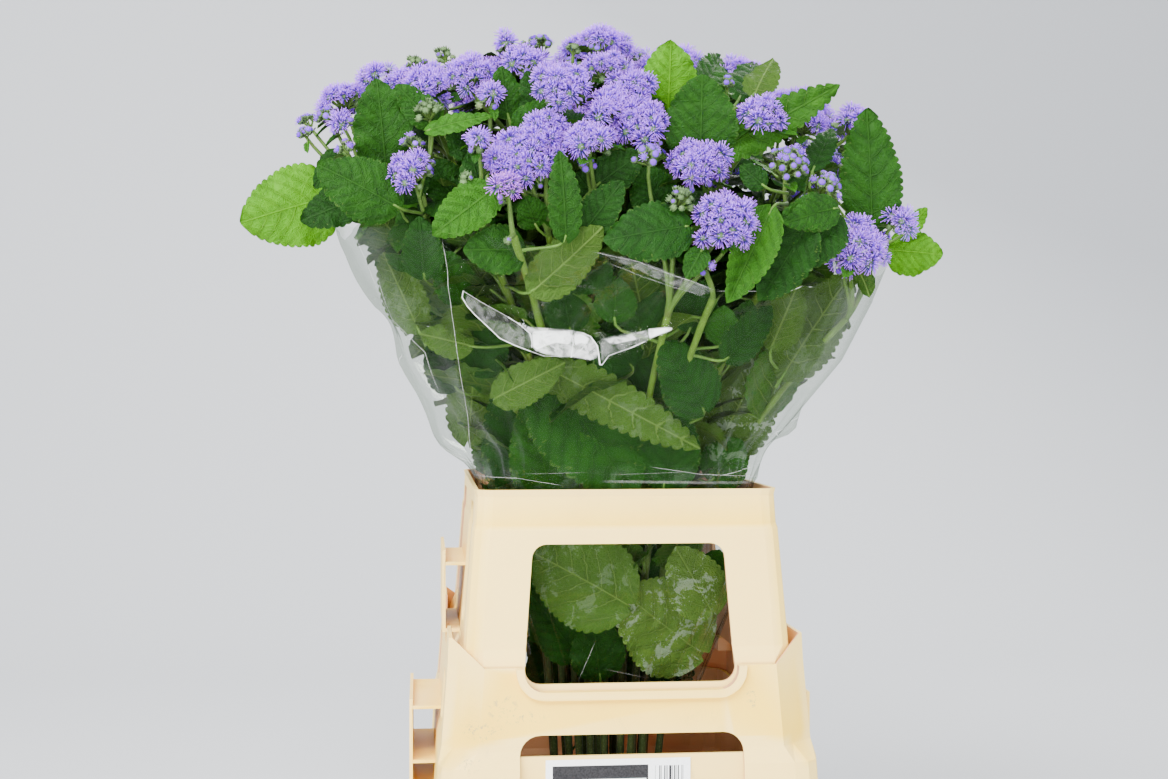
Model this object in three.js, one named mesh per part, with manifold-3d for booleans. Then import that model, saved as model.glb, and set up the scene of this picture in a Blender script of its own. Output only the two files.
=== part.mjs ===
// Ageratum: a bunch of cut stems in a clear sleeve, standing in a rectangular flower bucket
// with two collars stacked on it. Millimetres, +Z up, the front short side looks along -Y,
// the origin is the middle of the underside of the bucket.
import * as THREE from "three";
import { mergeVertices } from "three/addons/utils/BufferGeometryUtils.js";
import Module from "manifold-3d";

// ---------------------------------------------------------------- sizes of the holder
const WALL = 3; // wall of the bucket and of both collars
const GAP = 0.3; // clearance between pieces that stand on or in each other
const CORNER_STEPS = 3; // facets in each rounded corner
const BUCKET_TOP = 212;

// [z, half width x, half width y, corner radius, 0 round .. 1 straight chamfer]
const BUCKET_OUTER = [
  [0, 116, 166, 28, 0],
  [133, 128.4, 178.4, 28, 0],
  [138, 131, 181, 28, 0],
  [BUCKET_TOP, 134, 184, 28, 0],
];

const BUCKET_FLOOR = 4;
const BUCKET_LEDGE = [133, 138, 146, 196, 24]; // z0, z1, half x, half y, corner radius

const LOWER_COLLAR = [
  [138.3, 144, 194, 22, 0],
  [196, 141, 191, 21, 0],
  [205, 140.4, 190.4, 21, 0],
  [217, 137.8, 187.8, 26, 1],
  [225, 137.2, 187.2, 26, 1],
  [276, 133.2, 183.2, 26, 1],
  [295, 132.4, 182.4, 26, 1],
];

const LOWER_COLLAR_FLAT = 276; // top edge between the raised corners
const LOWER_COLLAR_NOTCH = { half: 78.5, bottom: 259, radius: 15, lip: 6 };
const LOWER_COLLAR_EAR = { front: 107, side: 96, rise: 20, run: 24 }; // the raised corners
const LOWER_WINDOW = { half0: 82, z0: 151, z1: 228, radius: 15 };
const LOWER_SLOT = { y: 100, half0: 22, z0: 222, z1: 262, radius: 8 };
const CARRIER = { z0: 236, z1: 247.7, reach: 14 }; // lugs that carry the upper collar

const UPPER_COLLAR = [
  [248.2, 128, 178, 20, 1],
  [277, 126.6, 176.6, 19, 1],
  [288, 121.8, 171.8, 14, 0],
  [322, 119, 169, 13, 0],
  [374, 115, 165, 13, 0],
  [378, 113.8, 163.8, 13, 0],
  [399, 112.6, 162.6, 13, 0],
  [404, 113.6, 163.6, 13, 0],
];

const UPPER_WINDOW = { half0: 77.6, half1: 71.8, z0: 263, z1: 364, radius: 11 };
const UPPER_SLOT = { y: 96, half0: 30, z0: 297, z1: 392, radius: 12 };

// grips on the long sides: z0, z1, outer x, half y, shelves
const UPPER_GRIP = { z0: 285, z1: 350, x: 136, half: 60, shelves: [285, 338] };

const LOWER_GRIP = { z0: 160, z1: 232, x: 162, half: 60, shelves: [160, 181, 224] };
const GRIP_PLATE = 2.6;
const SHELF = 2.6;
const LABEL = { x: -10, half: 53, z0: 154, z1: 209.5, thick: 0.8 };

// ---------------------------------------------------------------- sizes of the sleeve
// Levels of the film sleeve: [z, half width x, half width y, squareness].
const SLEEVE = [
  [216, 69, 88, 3],
  [262, 84, 114, 3.4],
  [330, 103, 148, 5],
  [404, 107.5, 157.5, 6],
  [430, 119, 164, 5],
  [456, 142, 176, 4.6],
  [500, 178, 204, 4.2],
  [545, 201, 226, 3.9],
  [592, 217, 240, 3.7],
  [645, 226, 248, 3.7],
];

// Height of the open top edge, by angle round the sleeve in degrees from +X.
const SLEEVE_EDGE = [
  [-180, 606],
  [-140, 587],
  [-110, 574],
  [-90, 552],
  [-75, 546],
  [-58, 558],
  [-40, 562],
  [0, 590],
  [40, 628],
  [90, 612],
  [140, 640],
  [180, 606],
];

const SLEEVE_SIDES = 28; // facets round the sleeve
const SLEEVE_THICK = 0.8;
const SLEEVE_ROWS = [216, 262, 330, 404, 430, 456, 500, 545, null]; // null is the top edge

// ---------------------------------------------------------------- sizes and places of the plants
const STEM_FOOT = 4.4; // the cut ends stand on the floor of the bucket
const STEM_SIDES = 5; // facets round a stem
const STEM_STATIONS = [0, 0.3, 0.5, 0.64, 0.76, 0.87, 1]; // parts of the height with a ring
const STEM_TAPER = 0.18; // how much thinner a stem is at its top

// Outline of a leaf blade: [part of the length, part of the width].
const LEAF_SECTIONS = [
  [0, 0.1],
  [0.26, 0.97],
  [0.64, 0.8],
];

const LEAF_THICK = 1.7; // over the midrib; the margins run out to nothing
const STALK = 1.25; // half thickness of a leaf stalk
const DOME_SIDES = 7; // facets round a flower cluster
const BRANCH_RADII = [2.3, 1.7, 1.3]; // from the stem to the cluster
const BRANCH_GAP = 0.7; // between the top of a stem and its flower head

// Stems: [foot x, foot y, top x, top y, top z, radius at the foot].
const STEMS = [
  [-33.6, -14, -181.7, -61.5, 611.7, 3.29],
  [-25, -21.8, -128.8, -101.4, 653.6, 3.05],
  [-17.1, -27.2, -83.2, -116.6, 663.1, 3.07],
  [-0.4, -22.8, -55, -147.7, 641.5, 3.39],
  [-7.3, -12.6, -26.4, -87.4, 679.5, 3.48],
  [11.6, -14.7, 2.8, -120.1, 646.8, 3.32],
  [-8.1, -30.8, -10, -173.9, 609.1, 3.19],
  [-5, -50.1, -24.5, -185.8, 593.2, 3.06],
  [-10.9, -41.3, -60.9, -189.2, 588, 3.14],
  [-13.2, -48.5, -88.5, -229.5, 583.3, 3.23],
  [-25.5, -35.6, -139.9, -166, 578.9, 3.23],
  [-20.2, -45.1, -101.3, -193.4, 573.1, 3.2],
  [-38.2, -34.1, -141.9, -149.1, 627, 3.1],
  [6.9, -33.5, 26.4, -179.3, 581.1, 3.1],
  [4.5, -42.7, 24.4, -193.7, 529.8, 3.12],
  [16.9, -32.5, 69.2, -155.5, 627.1, 3.1],
  [19.8, -42.1, 110.5, -187.3, 574.8, 3.36],
  [29.9, -36.5, 163.3, -166.9, 530.3, 3.16],
  [12.2, -49.8, 54.2, -211, 542, 3.05],
  [-26.5, -0.1, -121.7, -9.3, 659.2, 3.16],
  [-2.9, -3.2, -19.9, -11.4, 697.6, 3.14],
  [7.4, -3.5, 37, -15.6, 699.6, 3.01],
  [26.1, -4.5, 142.9, -24.8, 642.7, 3.43],
  [-23.3, 19.3, -128.2, 91.5, 643.2, 3.23],
  [-7.9, 24.1, -43.7, 108.4, 622.7, 3.25],
  [8.6, 27.3, 44.3, 121.2, 622.1, 3.42],
  [28.2, 21.1, 157.5, 94.9, 619.8, 3.21],
];

// Flower clusters of each stem, low domes: [centre x, y, z, up x, y, z, radius, height].
const HEADS = [
  [
    [-217.3, -47, 709.3, -0.479, -0.133, 0.868, 20, 23],
    [-189.1, -63.9, 724.2, -0.41, -0.159, 0.898, 15.8, 19.4],
    [-244.1, -48.3, 691.1, -0.614, -0.052, 0.788, 9.6, 13.9],
    [-209.1, -138.3, 657.6, -0.46, -0.548, 0.698, 7.4, 11.3],
  ],
  [
    [-149.9, -154.1, 702.6, -0.189, -0.565, 0.803, 16.2, 19.8],
    [-158.3, -93.8, 732.2, -0.412, -0.233, 0.881, 8.5, 12.6],
    [-134.6, -114.3, 734.7, -0.114, -0.428, 0.896, 8.4, 12.5],
  ],
  [
    [-116.8, -155.5, 710.3, -0.105, -0.595, 0.797, 19.9, 23],
    [-89.8, -132.2, 739.4, -0.276, -0.392, 0.878, 9.1, 13.7],
  ],
  [
    [-76.6, -163.2, 719.1, -0.04, -0.509, 0.86, 15.5, 19.1],
    [-54.2, -203.8, 694.3, 0.004, -0.725, 0.689, 20.7, 23.6],
  ],
  [
    [-16.3, -120.1, 745.1, 0.083, -0.289, 0.954, 15.3, 19],
    [-37.4, -131.2, 736.2, 0.122, -0.347, 0.93, 7.6, 11.5],
  ],
  [
    [-16.9, -152.7, 718, -0.048, -0.44, 0.897, 17.2, 20.6],
    [2.5, -165.4, 701.1, 0.05, -0.589, 0.807, 17.8, 21.1],
  ],
  [
    [4.8, -192.5, 669.3, -0.194, -0.707, 0.681, 21.7, 24.4],
    [-25.5, -203.5, 674.9, -0.071, -0.67, 0.739, 11.4, 15.7],
  ],
  [
    [-34.8, -223.8, 653.1, -0.066, -0.711, 0.7, 16.8, 20.3],
    [-33.4, -203.5, 637.6, 0.048, -0.804, 0.592, 8.6, 12.7],
  ],
  [
    [-80.1, -217.5, 642.8, -0.097, -0.794, 0.601, 25.3, 27.5],
    [-63.9, -209, 663.4, -0.073, -0.733, 0.676, 15.6, 19.3],
  ],
  [
    [-93.8, -237.3, 615.6, -0.2, -0.787, 0.584, 13.1, 17.1],
    [-93.6, -247.5, 580.2, 0.013, -0.912, 0.41, 4.8, 8],
  ],
  [
    [-159.2, -195.5, 632.7, -0.239, -0.667, 0.706, 19.2, 22.3],
    [-160, -183.4, 655.2, -0.343, -0.578, 0.741, 7.9, 11.9],
  ],
  [
    [-113.6, -232.7, 650.5, -0.138, -0.803, 0.58, 9, 13.6],
    [-103.5, -189, 689.7, -0.101, -0.656, 0.748, 10.8, 15.2],
    [-121.6, -224.9, 625.1, -0.09, -0.717, 0.691, 7.7, 11.6],
  ],
  [
    [-147.8, -175.5, 680.5, -0.179, -0.592, 0.786, 13, 18.3],
  ],
  [
    [44.8, -202.9, 639.5, 0.001, -0.802, 0.598, 20.9, 23.7],
  ],
  [
    [59.4, -233.4, 596.9, 0.001, -0.847, 0.532, 23.2, 25.7],
    [27.7, -232.2, 610.7, 0.092, -0.813, 0.576, 13.3, 18.6],
    [7.9, -222.2, 642, 0.024, -0.784, 0.62, 12.7, 17.9],
  ],
  [
    [96.4, -194.1, 677.8, 0.089, -0.55, 0.831, 17.5, 20.9],
    [73.8, -169.1, 703.9, 0.011, -0.518, 0.855, 7.4, 11.3],
  ],
  [
    [110.7, -212.4, 639.1, 0.157, -0.713, 0.683, 18.7, 25.3],
    [137.9, -209.1, 624.8, 0.364, -0.702, 0.612, 14.4, 20],
  ],
  [
    [161.9, -207.4, 582.6, 0.321, -0.786, 0.528, 22.4, 25.1],
    [202.6, -173.3, 604.7, 0.405, -0.789, 0.462, 12.7, 16.8],
  ],
  [
    [46.5, -234.1, 565.2, -0.036, -0.949, 0.315, 7.7, 11.6],
  ],
  [
    [-151.5, -31.8, 726.7, -0.097, 0.031, 0.995, 27.3, 29.2],
    [-185.8, 26.7, 717.3, -0.349, 0.231, 0.908, 21.2, 24],
    [-113, 17.7, 746.5, -0.183, -0.087, 0.979, 23.8, 26.2],
    [-163.2, -71.9, 717.9, -0.29, -0.195, 0.937, 21.4, 24.2],
  ],
  [
    [-58.4, -50.8, 754.8, -0.136, -0.174, 0.975, 14.5, 20.2],
    [-22, 1.7, 746.1, 0.005, -0.088, 0.996, 27.3, 29.2],
    [-77.4, 20.4, 762, -0.072, 0.248, 0.966, 13.8, 19.2],
    [-12.6, -74.7, 747.9, -0.064, -0.284, 0.957, 28.2, 30],
  ],
  [
    [51.2, -61.3, 736.1, 0.03, -0.098, 0.995, 29.7, 31.3],
    [81.8, -3.4, 741, 0.069, 0.04, 0.997, 17.3, 20.7],
    [30.3, 29, 757.6, 0.2, -0.033, 0.979, 23.6, 26],
    [101.5, -69.3, 728.4, 0.101, -0.233, 0.967, 27.4, 29.3],
  ],
  [
    [162.4, -45, 698.9, 0.187, -0.226, 0.956, 21.5, 24.3],
    [205.4, 10.1, 697.2, 0.439, 0.022, 0.898, 16.2, 21.1],
    [140.9, 11.2, 718.8, 0.144, -0.004, 0.99, 26.4, 28.4],
    [190.1, -101.2, 688.2, 0.494, -0.373, 0.786, 19.8, 24.2],
  ],
  [
    [-192.5, 97, 692.4, -0.364, 0.397, 0.842, 15.2, 21],
    [-150.4, 147.9, 692.9, -0.165, 0.467, 0.869, 25.7, 27.8],
    [-119.4, 84.8, 744, -0.126, 0.239, 0.963, 23.3, 25.8],
  ],
  [
    [-72.5, 122.4, 732.6, -0.041, 0.372, 0.927, 16.8, 23],
    [-39.5, 184, 679.1, -0.082, 0.634, 0.769, 21.6, 24.4],
    [-94.9, 188.4, 667.4, -0.219, 0.677, 0.703, 26.4, 28.5],
    [-20, 90.9, 751.5, -0.022, 0.21, 0.977, 28.8, 30.5],
  ],
  [
    [72.5, 97.8, 749.4, 0.132, 0.086, 0.988, 19.5, 22.6],
    [39.6, 146.7, 711.8, 0.09, 0.462, 0.882, 21.7, 24.5],
    [102.1, 165.5, 692, 0.021, 0.572, 0.82, 22.1, 24.8],
    [20.9, 207.3, 666.8, -0.043, 0.675, 0.736, 24, 26.4],
  ],
  [
    [169.9, 88.4, 723.2, 0.158, 0.277, 0.948, 24.5, 26.8],
    [196.9, 137.6, 671.2, 0.453, 0.508, 0.733, 29.2, 30.8],
    [140, 150.3, 687.3, 0.256, 0.57, 0.781, 26.7, 28.7],
    [223.9, 71.6, 673.4, 0.564, 0.231, 0.793, 28.5, 30.2],
  ],
];

// Leaves: [stem, 0 on the stem or 1 on its flower head, stalk start x, y, z, blade start x, y, z,
// blade direction x, y, z, upper face direction x, y, z, length, width, bend, fold].
const LEAVES = [
  [0, 1, -204.7, -57.8, 641.9, -224.8, -54.3, 628.5, -0.9125, -0.2461, -0.3268, 0.265, -0.9642, -0.0136, 74.1, 60, 0.25, 0.06],
  [16, 1, 111.2, -199.4, 613, 107.6, -216.7, 602.4, -0.6916, -0.4031, -0.5993, -0.2325, -0.6613, 0.7131, 65.9, 40, 0.35, 0.576],
  [14, 1, 26.5, -218.9, 589.7, 27.5, -238.2, 591.2, -0.9319, -0.305, -0.1963, 0.298, -0.9524, 0.0647, 55.7, 38.8, 0.45, 0.12],
  [17, 1, 188, -167.1, 578, 182.5, -171.3, 599.4, 0.2607, 0.6605, 0.7042, 0.1745, -0.7496, 0.6385, 167.8, 45.6, 0.2, 0.1],
  [16, 1, 111.5, -194.5, 598.4, 63.8, -188.8, 653.2, 0.6528, 0.5372, 0.5341, 0.0533, -0.7358, 0.6751, 168.5, 31.8, 0.3, 0.368],
  [15, 1, 71.4, -158.9, 646.6, 51.7, -186.5, 654.1, 0.0616, 0.4813, 0.8744, -0.1659, -0.8589, 0.4845, 78.9, 49.6, 0.35, 0.143],
  [15, 1, 72.4, -160.4, 656.1, 31.1, -152.1, 691.4, 0.171, 0.724, 0.6682, -0.0727, -0.6671, 0.7414, 93.9, 41.3, 0.15, 0.176],
  [10, 1, -154.8, -177.6, 634.9, -184, -164.9, 639.4, -0.0398, 0.645, 0.7631, -0.2228, -0.7502, 0.6225, 110.4, 42.2, 0.3, 0.25],
  [10, 1, -150.6, -178.1, 604.9, -173, -204.9, 609.4, -0.6808, 0.6025, 0.4165, -0.5595, -0.7948, 0.2352, 81.8, 39.1, 0.4, 0.1],
  [11, 0, -92.3, -177, 553.7, -71.8, -214.2, 543.7, 0.7082, 0.0686, 0.7026, -0.0394, 0.9976, -0.0577, 56.8, 34.8, 0.3, 0.128],
  [9, 0, -84.8, -220.7, 574.8, -52.1, -228.3, 585.8, 0.0125, 0.2992, 0.9541, 0.413, -0.8706, 0.2675, 68.6, 25.4, 0.2, 0.1],
  [11, 0, -95.3, -182.4, 560.3, -93.3, -215, 571.3, -0.9114, -0.184, 0.3682, 0.2125, -0.9764, 0.0382, 30.5, 32.8, 0.4, 0.104],
  [11, 1, -110.3, -215, 622.4, -111.9, -224.3, 612.1, -0.7126, -0.2796, -0.6434, 0.1242, -0.9529, 0.2765, 38.7, 31.3, 0.4, 0.1],
  [16, 1, 123.5, -195.9, 599.9, 140.2, -217.3, 596.6, -0.6494, -0.5443, -0.5311, 0.3495, -0.8338, 0.4273, 55.4, 31.9, 0.4, 0.2],
  [22, 1, 159.4, -49.9, 664, 228.9, -57.4, 592.4, 0.8846, -0.4594, -0.0807, -0.4402, -0.8795, 0.1808, 43.6, 40.8, 0.2, 0.1],
  [15, 1, 73.6, -164.6, 683.3, 89, -137.9, 700.9, 0.3481, 0.6728, 0.6529, 0.1177, -0.7223, 0.6815, 70.1, 35.1, 0.3, 0.1],
  [5, 1, -2, -128, 664.4, 95.7, -160.7, 698.7, 0.377, 0.6139, 0.6935, 0.0223, 0.7426, -0.6694, 55.9, 27.2, -0.2, 0.349],
  [15, 1, 73.4, -161.9, 665.5, 60.7, -132.5, 704.7, 0.3474, 0.7301, 0.5885, 0.441, -0.681, 0.5846, 80, 28.9, 0.2, 0.215],
  [12, 0, -132.2, -138.4, 609.3, -202.1, -156.2, 620.3, -0.8065, 0.5529, -0.2093, -0.5213, -0.8321, -0.1893, 55.3, 25.6, 0.4, 0.199],
  [0, 1, -202.1, -116, 645.7, -213.1, -115.7, 657.8, -0.6172, 0.0861, -0.7821, -0.0748, -0.9959, -0.0506, 34.7, 19.7, 0.3, 0.15],
  [8, 0, -59.1, -183.8, 581.6, -30, -218.4, 592.6, 0.5201, 0.0739, 0.8509, -0.0987, -0.9844, 0.1459, 37, 25.5, 0.3, 0.15],
  [16, 1, 129.6, -200.4, 610.5, 139.9, -220.4, 607.3, -0.7047, -0.6709, -0.231, 0.6261, -0.7411, 0.2425, 49.3, 22.4, 0.5, 0.1],
  [16, 1, 126.5, -198.2, 605.2, 135.5, -181.9, 641.7, 0.4292, 0.5825, 0.6902, 0.0512, -0.7787, 0.6253, 57.4, 19.3, 0.2, 0.102],
  [16, 1, 110.7, -201.9, 620, 90.9, -216.4, 623.3, -0.7535, -0.0251, 0.657, -0.0084, -0.9988, -0.0478, 22.8, 17.8, 0.2, 0.1],
  [12, 1, -145.1, -157.5, 646.6, -145.1, -165, 672, 0.1148, 0.5383, 0.8349, 0.1338, -0.8412, 0.524, 33.1, 15.5, 0.3, 0.211],
  [10, 1, -154.1, -184.6, 616.4, -148.9, -168.1, 673.7, -0.6541, 0.5827, 0.4823, -0.4663, -0.8126, 0.3495, 36.7, 14.4, 0.3, 0.222],
  [12, 1, -146.5, -166.3, 664.5, -147.8, -184.6, 664.5, 0.9131, -0.3102, 0.2646, -0.3903, -0.8526, 0.3473, 48.4, 17.2, 0.3, 0.2],
  [14, 1, 51.1, -218.2, 578.8, 42.8, -236, 576.1, -0.4668, -0.4078, -0.7848, 0.0018, -0.8878, 0.4602, 25.5, 17.4, 0.3, 0.1],
  [22, 1, 165.9, -12.7, 666.3, 238.3, -66.6, 603.4, 0.6163, -0.1623, 0.7706, -0.3432, -0.9361, 0.0773, 30, 16.3, 0.2, 0.102],
  [18, 0, 31.9, -125.5, 429, 84.4, -128.6, 440, 0.3407, -0.4615, 0.8191, 0.3954, 0.8608, 0.3205, 99.4, 56.1, 0.1, 0.238],
  [9, 0, -54.3, -147.3, 484.9, -57.3, -185, 488.9, 0.8622, 0.2809, -0.4215, -0.2467, 0.9597, 0.1348, 119.6, 36.4, 0.1, 0.081],
  [7, 0, -15.8, -125.2, 495.4, -57.5, -176.4, 485.4, 0.5403, 0.2709, -0.7967, 0.0727, -0.9583, -0.2765, 81.2, 48.4, 0.2, 0.065],
  [15, 0, 41.2, -89.5, 494.3, 116.7, -158.6, 498.3, 0.5865, -0.1119, 0.8022, 0.2228, 0.9745, -0.0269, 81.8, 37, 0.1, 0.069],
  [11, 0, -48, -95.9, 407, -83.4, -106.1, 418, -0.4091, -0.4625, 0.7866, 0.1829, -0.8861, -0.4259, 73.1, 38.4, 0.15, 0.12],
  [9, 0, -40.6, -114.3, 423.1, -65.5, -141.5, 413.1, -0.1444, -0.5154, 0.8447, 0.0137, -0.8546, -0.5191, 65, 37.1, 0.15, 0.08],
  [1, 0, -56.6, -46, 444.5, -128.7, -99.1, 455.5, 0.2748, -0.7773, 0.566, 0.2722, 0.6275, 0.7295, 96.7, 34, 0.1, 0.152],
  [11, 0, -77.5, -149.9, 516.6, -157.5, -153.8, 527.6, -0.4117, -0.1801, 0.8934, -0.0335, 0.9826, 0.1826, 55.4, 28.9, 0.1, 0.071],
  [11, 0, -75.8, -146.7, 511.8, -118.9, -185.7, 508.8, -0.936, 0.1395, 0.3232, 0.1414, 0.9898, -0.0176, 34.4, 21.6, -0.2, 0.051],
  [18, 0, 44.9, -175.4, 503.4, 70.4, -183.2, 500.4, 0.5469, -0.4599, 0.6995, -0.394, -0.8787, -0.2696, 51.7, 27.7, 0.2, 0.1],
  [10, 0, -125.1, -149.1, 555.7, -150.7, -182.3, 559.7, -0.0485, -0.3231, 0.9451, 0.0118, -0.9463, -0.323, 43.4, 30.1, 0.2, 0.1],
  [18, 0, 34.3, -134.7, 445.5, 28.9, -143, 470.5, 0.2541, -0.6089, 0.7514, -0.3734, -0.7784, -0.5046, 62.6, 43.9, 0.2, 0.136],
  [18, 0, 45.9, -179, 507.6, 67.5, -180.1, 511.6, -0.0757, -0.5865, 0.8064, -0.1796, -0.7875, -0.5896, 31.7, 26, 0.2, 0.1],
  [14, 0, 22.2, -176.9, 511.8, -11.7, -190.1, 529.8, -0.0589, -0.4893, 0.8701, -0.104, -0.8639, -0.4928, 32.3, 30.2, 0.2, 0.1],
  [7, 0, -22.5, -171.7, 574.4, -29.6, -208.4, 564.4, -0.5679, -0.0436, -0.822, -0.0129, -0.998, 0.0618, 27.7, 24.2, 0.2, 0.1],
  [14, 0, 13.9, -113.9, 420, 12.4, -136.2, 417, -0.6064, -0.4388, 0.6631, 0.2384, -0.8959, -0.3748, 44.2, 37.6, 0.2, 0.1],
  [16, 0, 52.4, -94.4, 415.5, 57.7, -137.5, 412.5, 0.6871, -0.297, 0.6631, -0.3268, -0.9414, -0.0831, 38.9, 34.7, 0.2, 0.101],
  [10, 0, -94, -113.7, 495.8, -96.2, -176.8, 485.8, 0.8579, -0.4361, 0.2717, -0.4185, -0.8999, -0.1231, 35.6, 24.6, 0.2, 0.1],
  [17, 0, 52.4, -58.5, 283, 53, -100.4, 274.5, -0.7883, -0.2894, 0.543, -0.2469, 0.9571, 0.1518, 77.9, 63.5, 0.1, 0.064],
  [7, 0, -8.2, -72.2, 311, -6.4, -122.9, 317.2, -0.8674, -0.1889, 0.4603, 0.196, -0.98, -0.0328, 68.9, 57.2, 0.1, 0.066],
  [17, 0, 59.3, -65.2, 318, 67.8, -109.6, 306.4, -0.3685, -0.4872, 0.7918, -0.0864, 0.8659, 0.4926, 62.8, 43.1, -0.1, 0.08],
  [9, 0, -23.2, -72.5, 276, -27.9, -94.5, 275, -0.6825, -0.3936, 0.6158, 0.3335, -0.9175, -0.2169, 60.3, 35.6, 0.1, 0.1],
  [24, 0, -41.8, 103.9, 612.9, -52.7, 112.1, 615.9, -0.7769, 0.5857, 0.231, 0.0293, -0.3328, 0.9426, 69.9, 47.6, 0.544, 0.059],
  [24, 0, -40.8, 101.5, 607.2, -35.8, 114.1, 612.9, 0.3254, 0.8247, 0.4625, -0.2141, -0.4122, 0.8856, 87, 62.4, 0.71, 0.163],
  [21, 0, 34.6, -14.6, 682.1, 59.8, -26.9, 696.2, 0.7545, -0.369, 0.5427, -0.5211, 0.1658, 0.8372, 70.8, 51.6, 0.663, 0.13],
  [25, 1, 67.2, 135.5, 648.3, 56.5, 132.6, 657.4, -0.6165, -0.1681, 0.7692, 0.7247, 0.2609, 0.6378, 76.8, 55.9, 0.236, 0.193],
  [26, 1, 167, 103.9, 632.3, 175.9, 118.2, 635.8, 0.5162, 0.8314, 0.2056, 0.0246, -0.2544, 0.9668, 81.2, 60.4, 0.337, 0.135],
  [1, 1, -143.3, -98.3, 692.7, -119.6, -89.8, 699.1, 0.9081, 0.3267, 0.262, -0.2267, -0.1425, 0.9635, 94.4, 73.2, 0.764, 0.109],
  [25, 1, 65.1, 105.9, 713.2, 65.7, 133.7, 722.9, 0.0203, 0.9238, 0.3823, 0.2391, -0.3758, 0.8953, 68.3, 46.3, 0.38, 0.04],
  [26, 1, 165.3, 92.2, 656.2, 154.5, 86.3, 659.4, -0.8449, -0.4575, 0.2773, 0.274, 0.075, 0.9588, 80.2, 60, 0.507, 0.105],
  [26, 0, 134, 81.5, 584.1, 116.7, 99.8, 605.1, -0.4309, 0.458, 0.7776, 0.3095, -0.7344, 0.6041, 64.6, 50.1, 0.572, 0.103],
  [26, 1, 167.7, 91.2, 668.1, 179.5, 94.4, 676.7, 0.6922, 0.1871, 0.6971, -0.5999, -0.3879, 0.6998, 63.1, 42.7, 0.404, 0.16],
  [25, 0, 41.2, 113.1, 605.9, 40.1, 102.9, 613.9, -0.0747, -0.6574, 0.7499, -0.1653, 0.7497, 0.6408, 75.5, 50.8, 0.487, 0.147],
  [19, 0, -90.7, -6.3, 585.8, -112.2, 4.2, 597.2, -0.7694, 0.3777, 0.5151, 0.5126, -0.1159, 0.8507, 63.1, 47.4, 0.765, 0.163],
  [19, 1, -137.8, -2.1, 673.4, -145.2, 6.7, 680.1, -0.5122, 0.605, 0.6096, 0.2158, -0.5963, 0.7732, 84, 60.8, 0.734, 0.172],
  [25, 0, 35.4, 97.7, 571, 28.3, 111.2, 580.1, -0.3602, 0.6889, 0.629, 0.0786, -0.6495, 0.7563, 84.7, 56.8, 0.554, 0.045],
  [14, 0, 22.6, -180.2, 515.4, 46.8, -164.3, 530.2, 0.6977, 0.459, 0.55, -0.4015, -0.3853, 0.8309, 91.1, 69, 0.301, 0.14],
  [2, 1, -92.2, -124.8, 674.9, -98.1, -113.9, 677.8, -0.4582, 0.8571, 0.2354, 0.2966, -0.1022, 0.9495, 64.6, 46, 0.502, 0.135],
  [20, 1, -33.7, -24.9, 721.5, -46.1, -20.3, 724.3, -0.9172, 0.34, 0.2075, 0.2798, 0.1795, 0.9431, 70, 46.4, 0.284, 0.072],
  [14, 1, 42.8, -209.5, 564.8, 47, -197.9, 568.7, 0.322, 0.8844, 0.3378, -0.1939, -0.2877, 0.9379, 75.1, 51.2, 0.606, 0.128],
  [21, 0, 34, -14.4, 678.3, 24.7, -32.3, 684.7, -0.4335, -0.8332, 0.3434, 0.2734, 0.2415, 0.9311, 84.2, 55.9, 0.255, 0.093],
  [15, 0, 61.2, -136.8, 597.3, 76.1, -140.5, 600.9, 0.9416, -0.2339, 0.2421, -0.228, 0.0859, 0.9699, 74.2, 57.3, 0.328, 0.165],
  [23, 0, -113.9, 81.7, 616, -108.8, 57.4, 629.4, 0.1685, -0.7997, 0.5763, 0.2036, 0.6003, 0.7734, 70.5, 55.6, 0.217, 0.107],
  [23, 1, -122.8, 85.6, 713.6, -104.7, 101.1, 732.4, 0.5006, 0.4287, 0.752, -0.409, -0.6485, 0.642, 79.6, 55.5, 0.388, 0.18],
  [0, 0, -140.7, -48.3, 555.3, -149.6, -60.6, 566.1, -0.417, -0.571, 0.7071, 0.1734, 0.7137, 0.6786, 89.6, 59.8, 0.369, 0.085],
  [5, 0, 5.6, -86.4, 576.3, 18.8, -69.5, 585.7, 0.541, 0.6917, 0.4785, -0.0316, -0.5518, 0.8334, 85.2, 67, 0.278, 0.197],
  [24, 1, -61.9, 134.2, 640.7, -55.9, 122, 652, 0.2774, -0.5665, 0.776, -0.5176, 0.5924, 0.6174, 63.5, 46.3, 0.405, 0.131],
  [0, 0, -175.9, -59.6, 604.6, -181.1, -32.5, 616.7, -0.1643, 0.8617, 0.4801, -0.0678, -0.4954, 0.866, 94.3, 69.9, 0.278, 0.188],
  [0, 0, -132.7, -45.8, 542.2, -122, -43.6, 549.5, 0.7222, 0.144, 0.6765, -0.6778, -0.0475, 0.7337, 81.2, 54.2, 0.44, 0.055],
  [22, 0, 108.8, -18.9, 579.8, 105, -6.6, 582.6, -0.2885, 0.9305, 0.2258, 0.0063, -0.234, 0.9722, 64, 42.9, 0.321, 0.197],
  [26, 1, 203.6, 76.3, 655.5, 200, 61.2, 660.4, -0.2188, -0.9161, 0.3359, 0.1132, 0.3181, 0.9413, 69.7, 48.2, 0.409, 0.075],
  [26, 0, 122.1, 74.7, 563.5, 113.5, 93.4, 577.8, -0.3015, 0.6483, 0.6992, 0.4761, -0.533, 0.6995, 63.5, 47.6, 0.466, 0.166],
  [5, 0, 4.4, -100.6, 608.7, 20.3, -76.7, 624.3, 0.4513, 0.6788, 0.5792, -0.4858, -0.3576, 0.7976, 65.3, 43.2, 0.737, 0.079],
  [20, 1, -18.6, -56, 729.9, -32.3, -54.5, 733.6, -0.9533, 0.1045, 0.2835, 0.2445, -0.2842, 0.9271, 89, 61.4, 0.46, 0.113],
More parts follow.
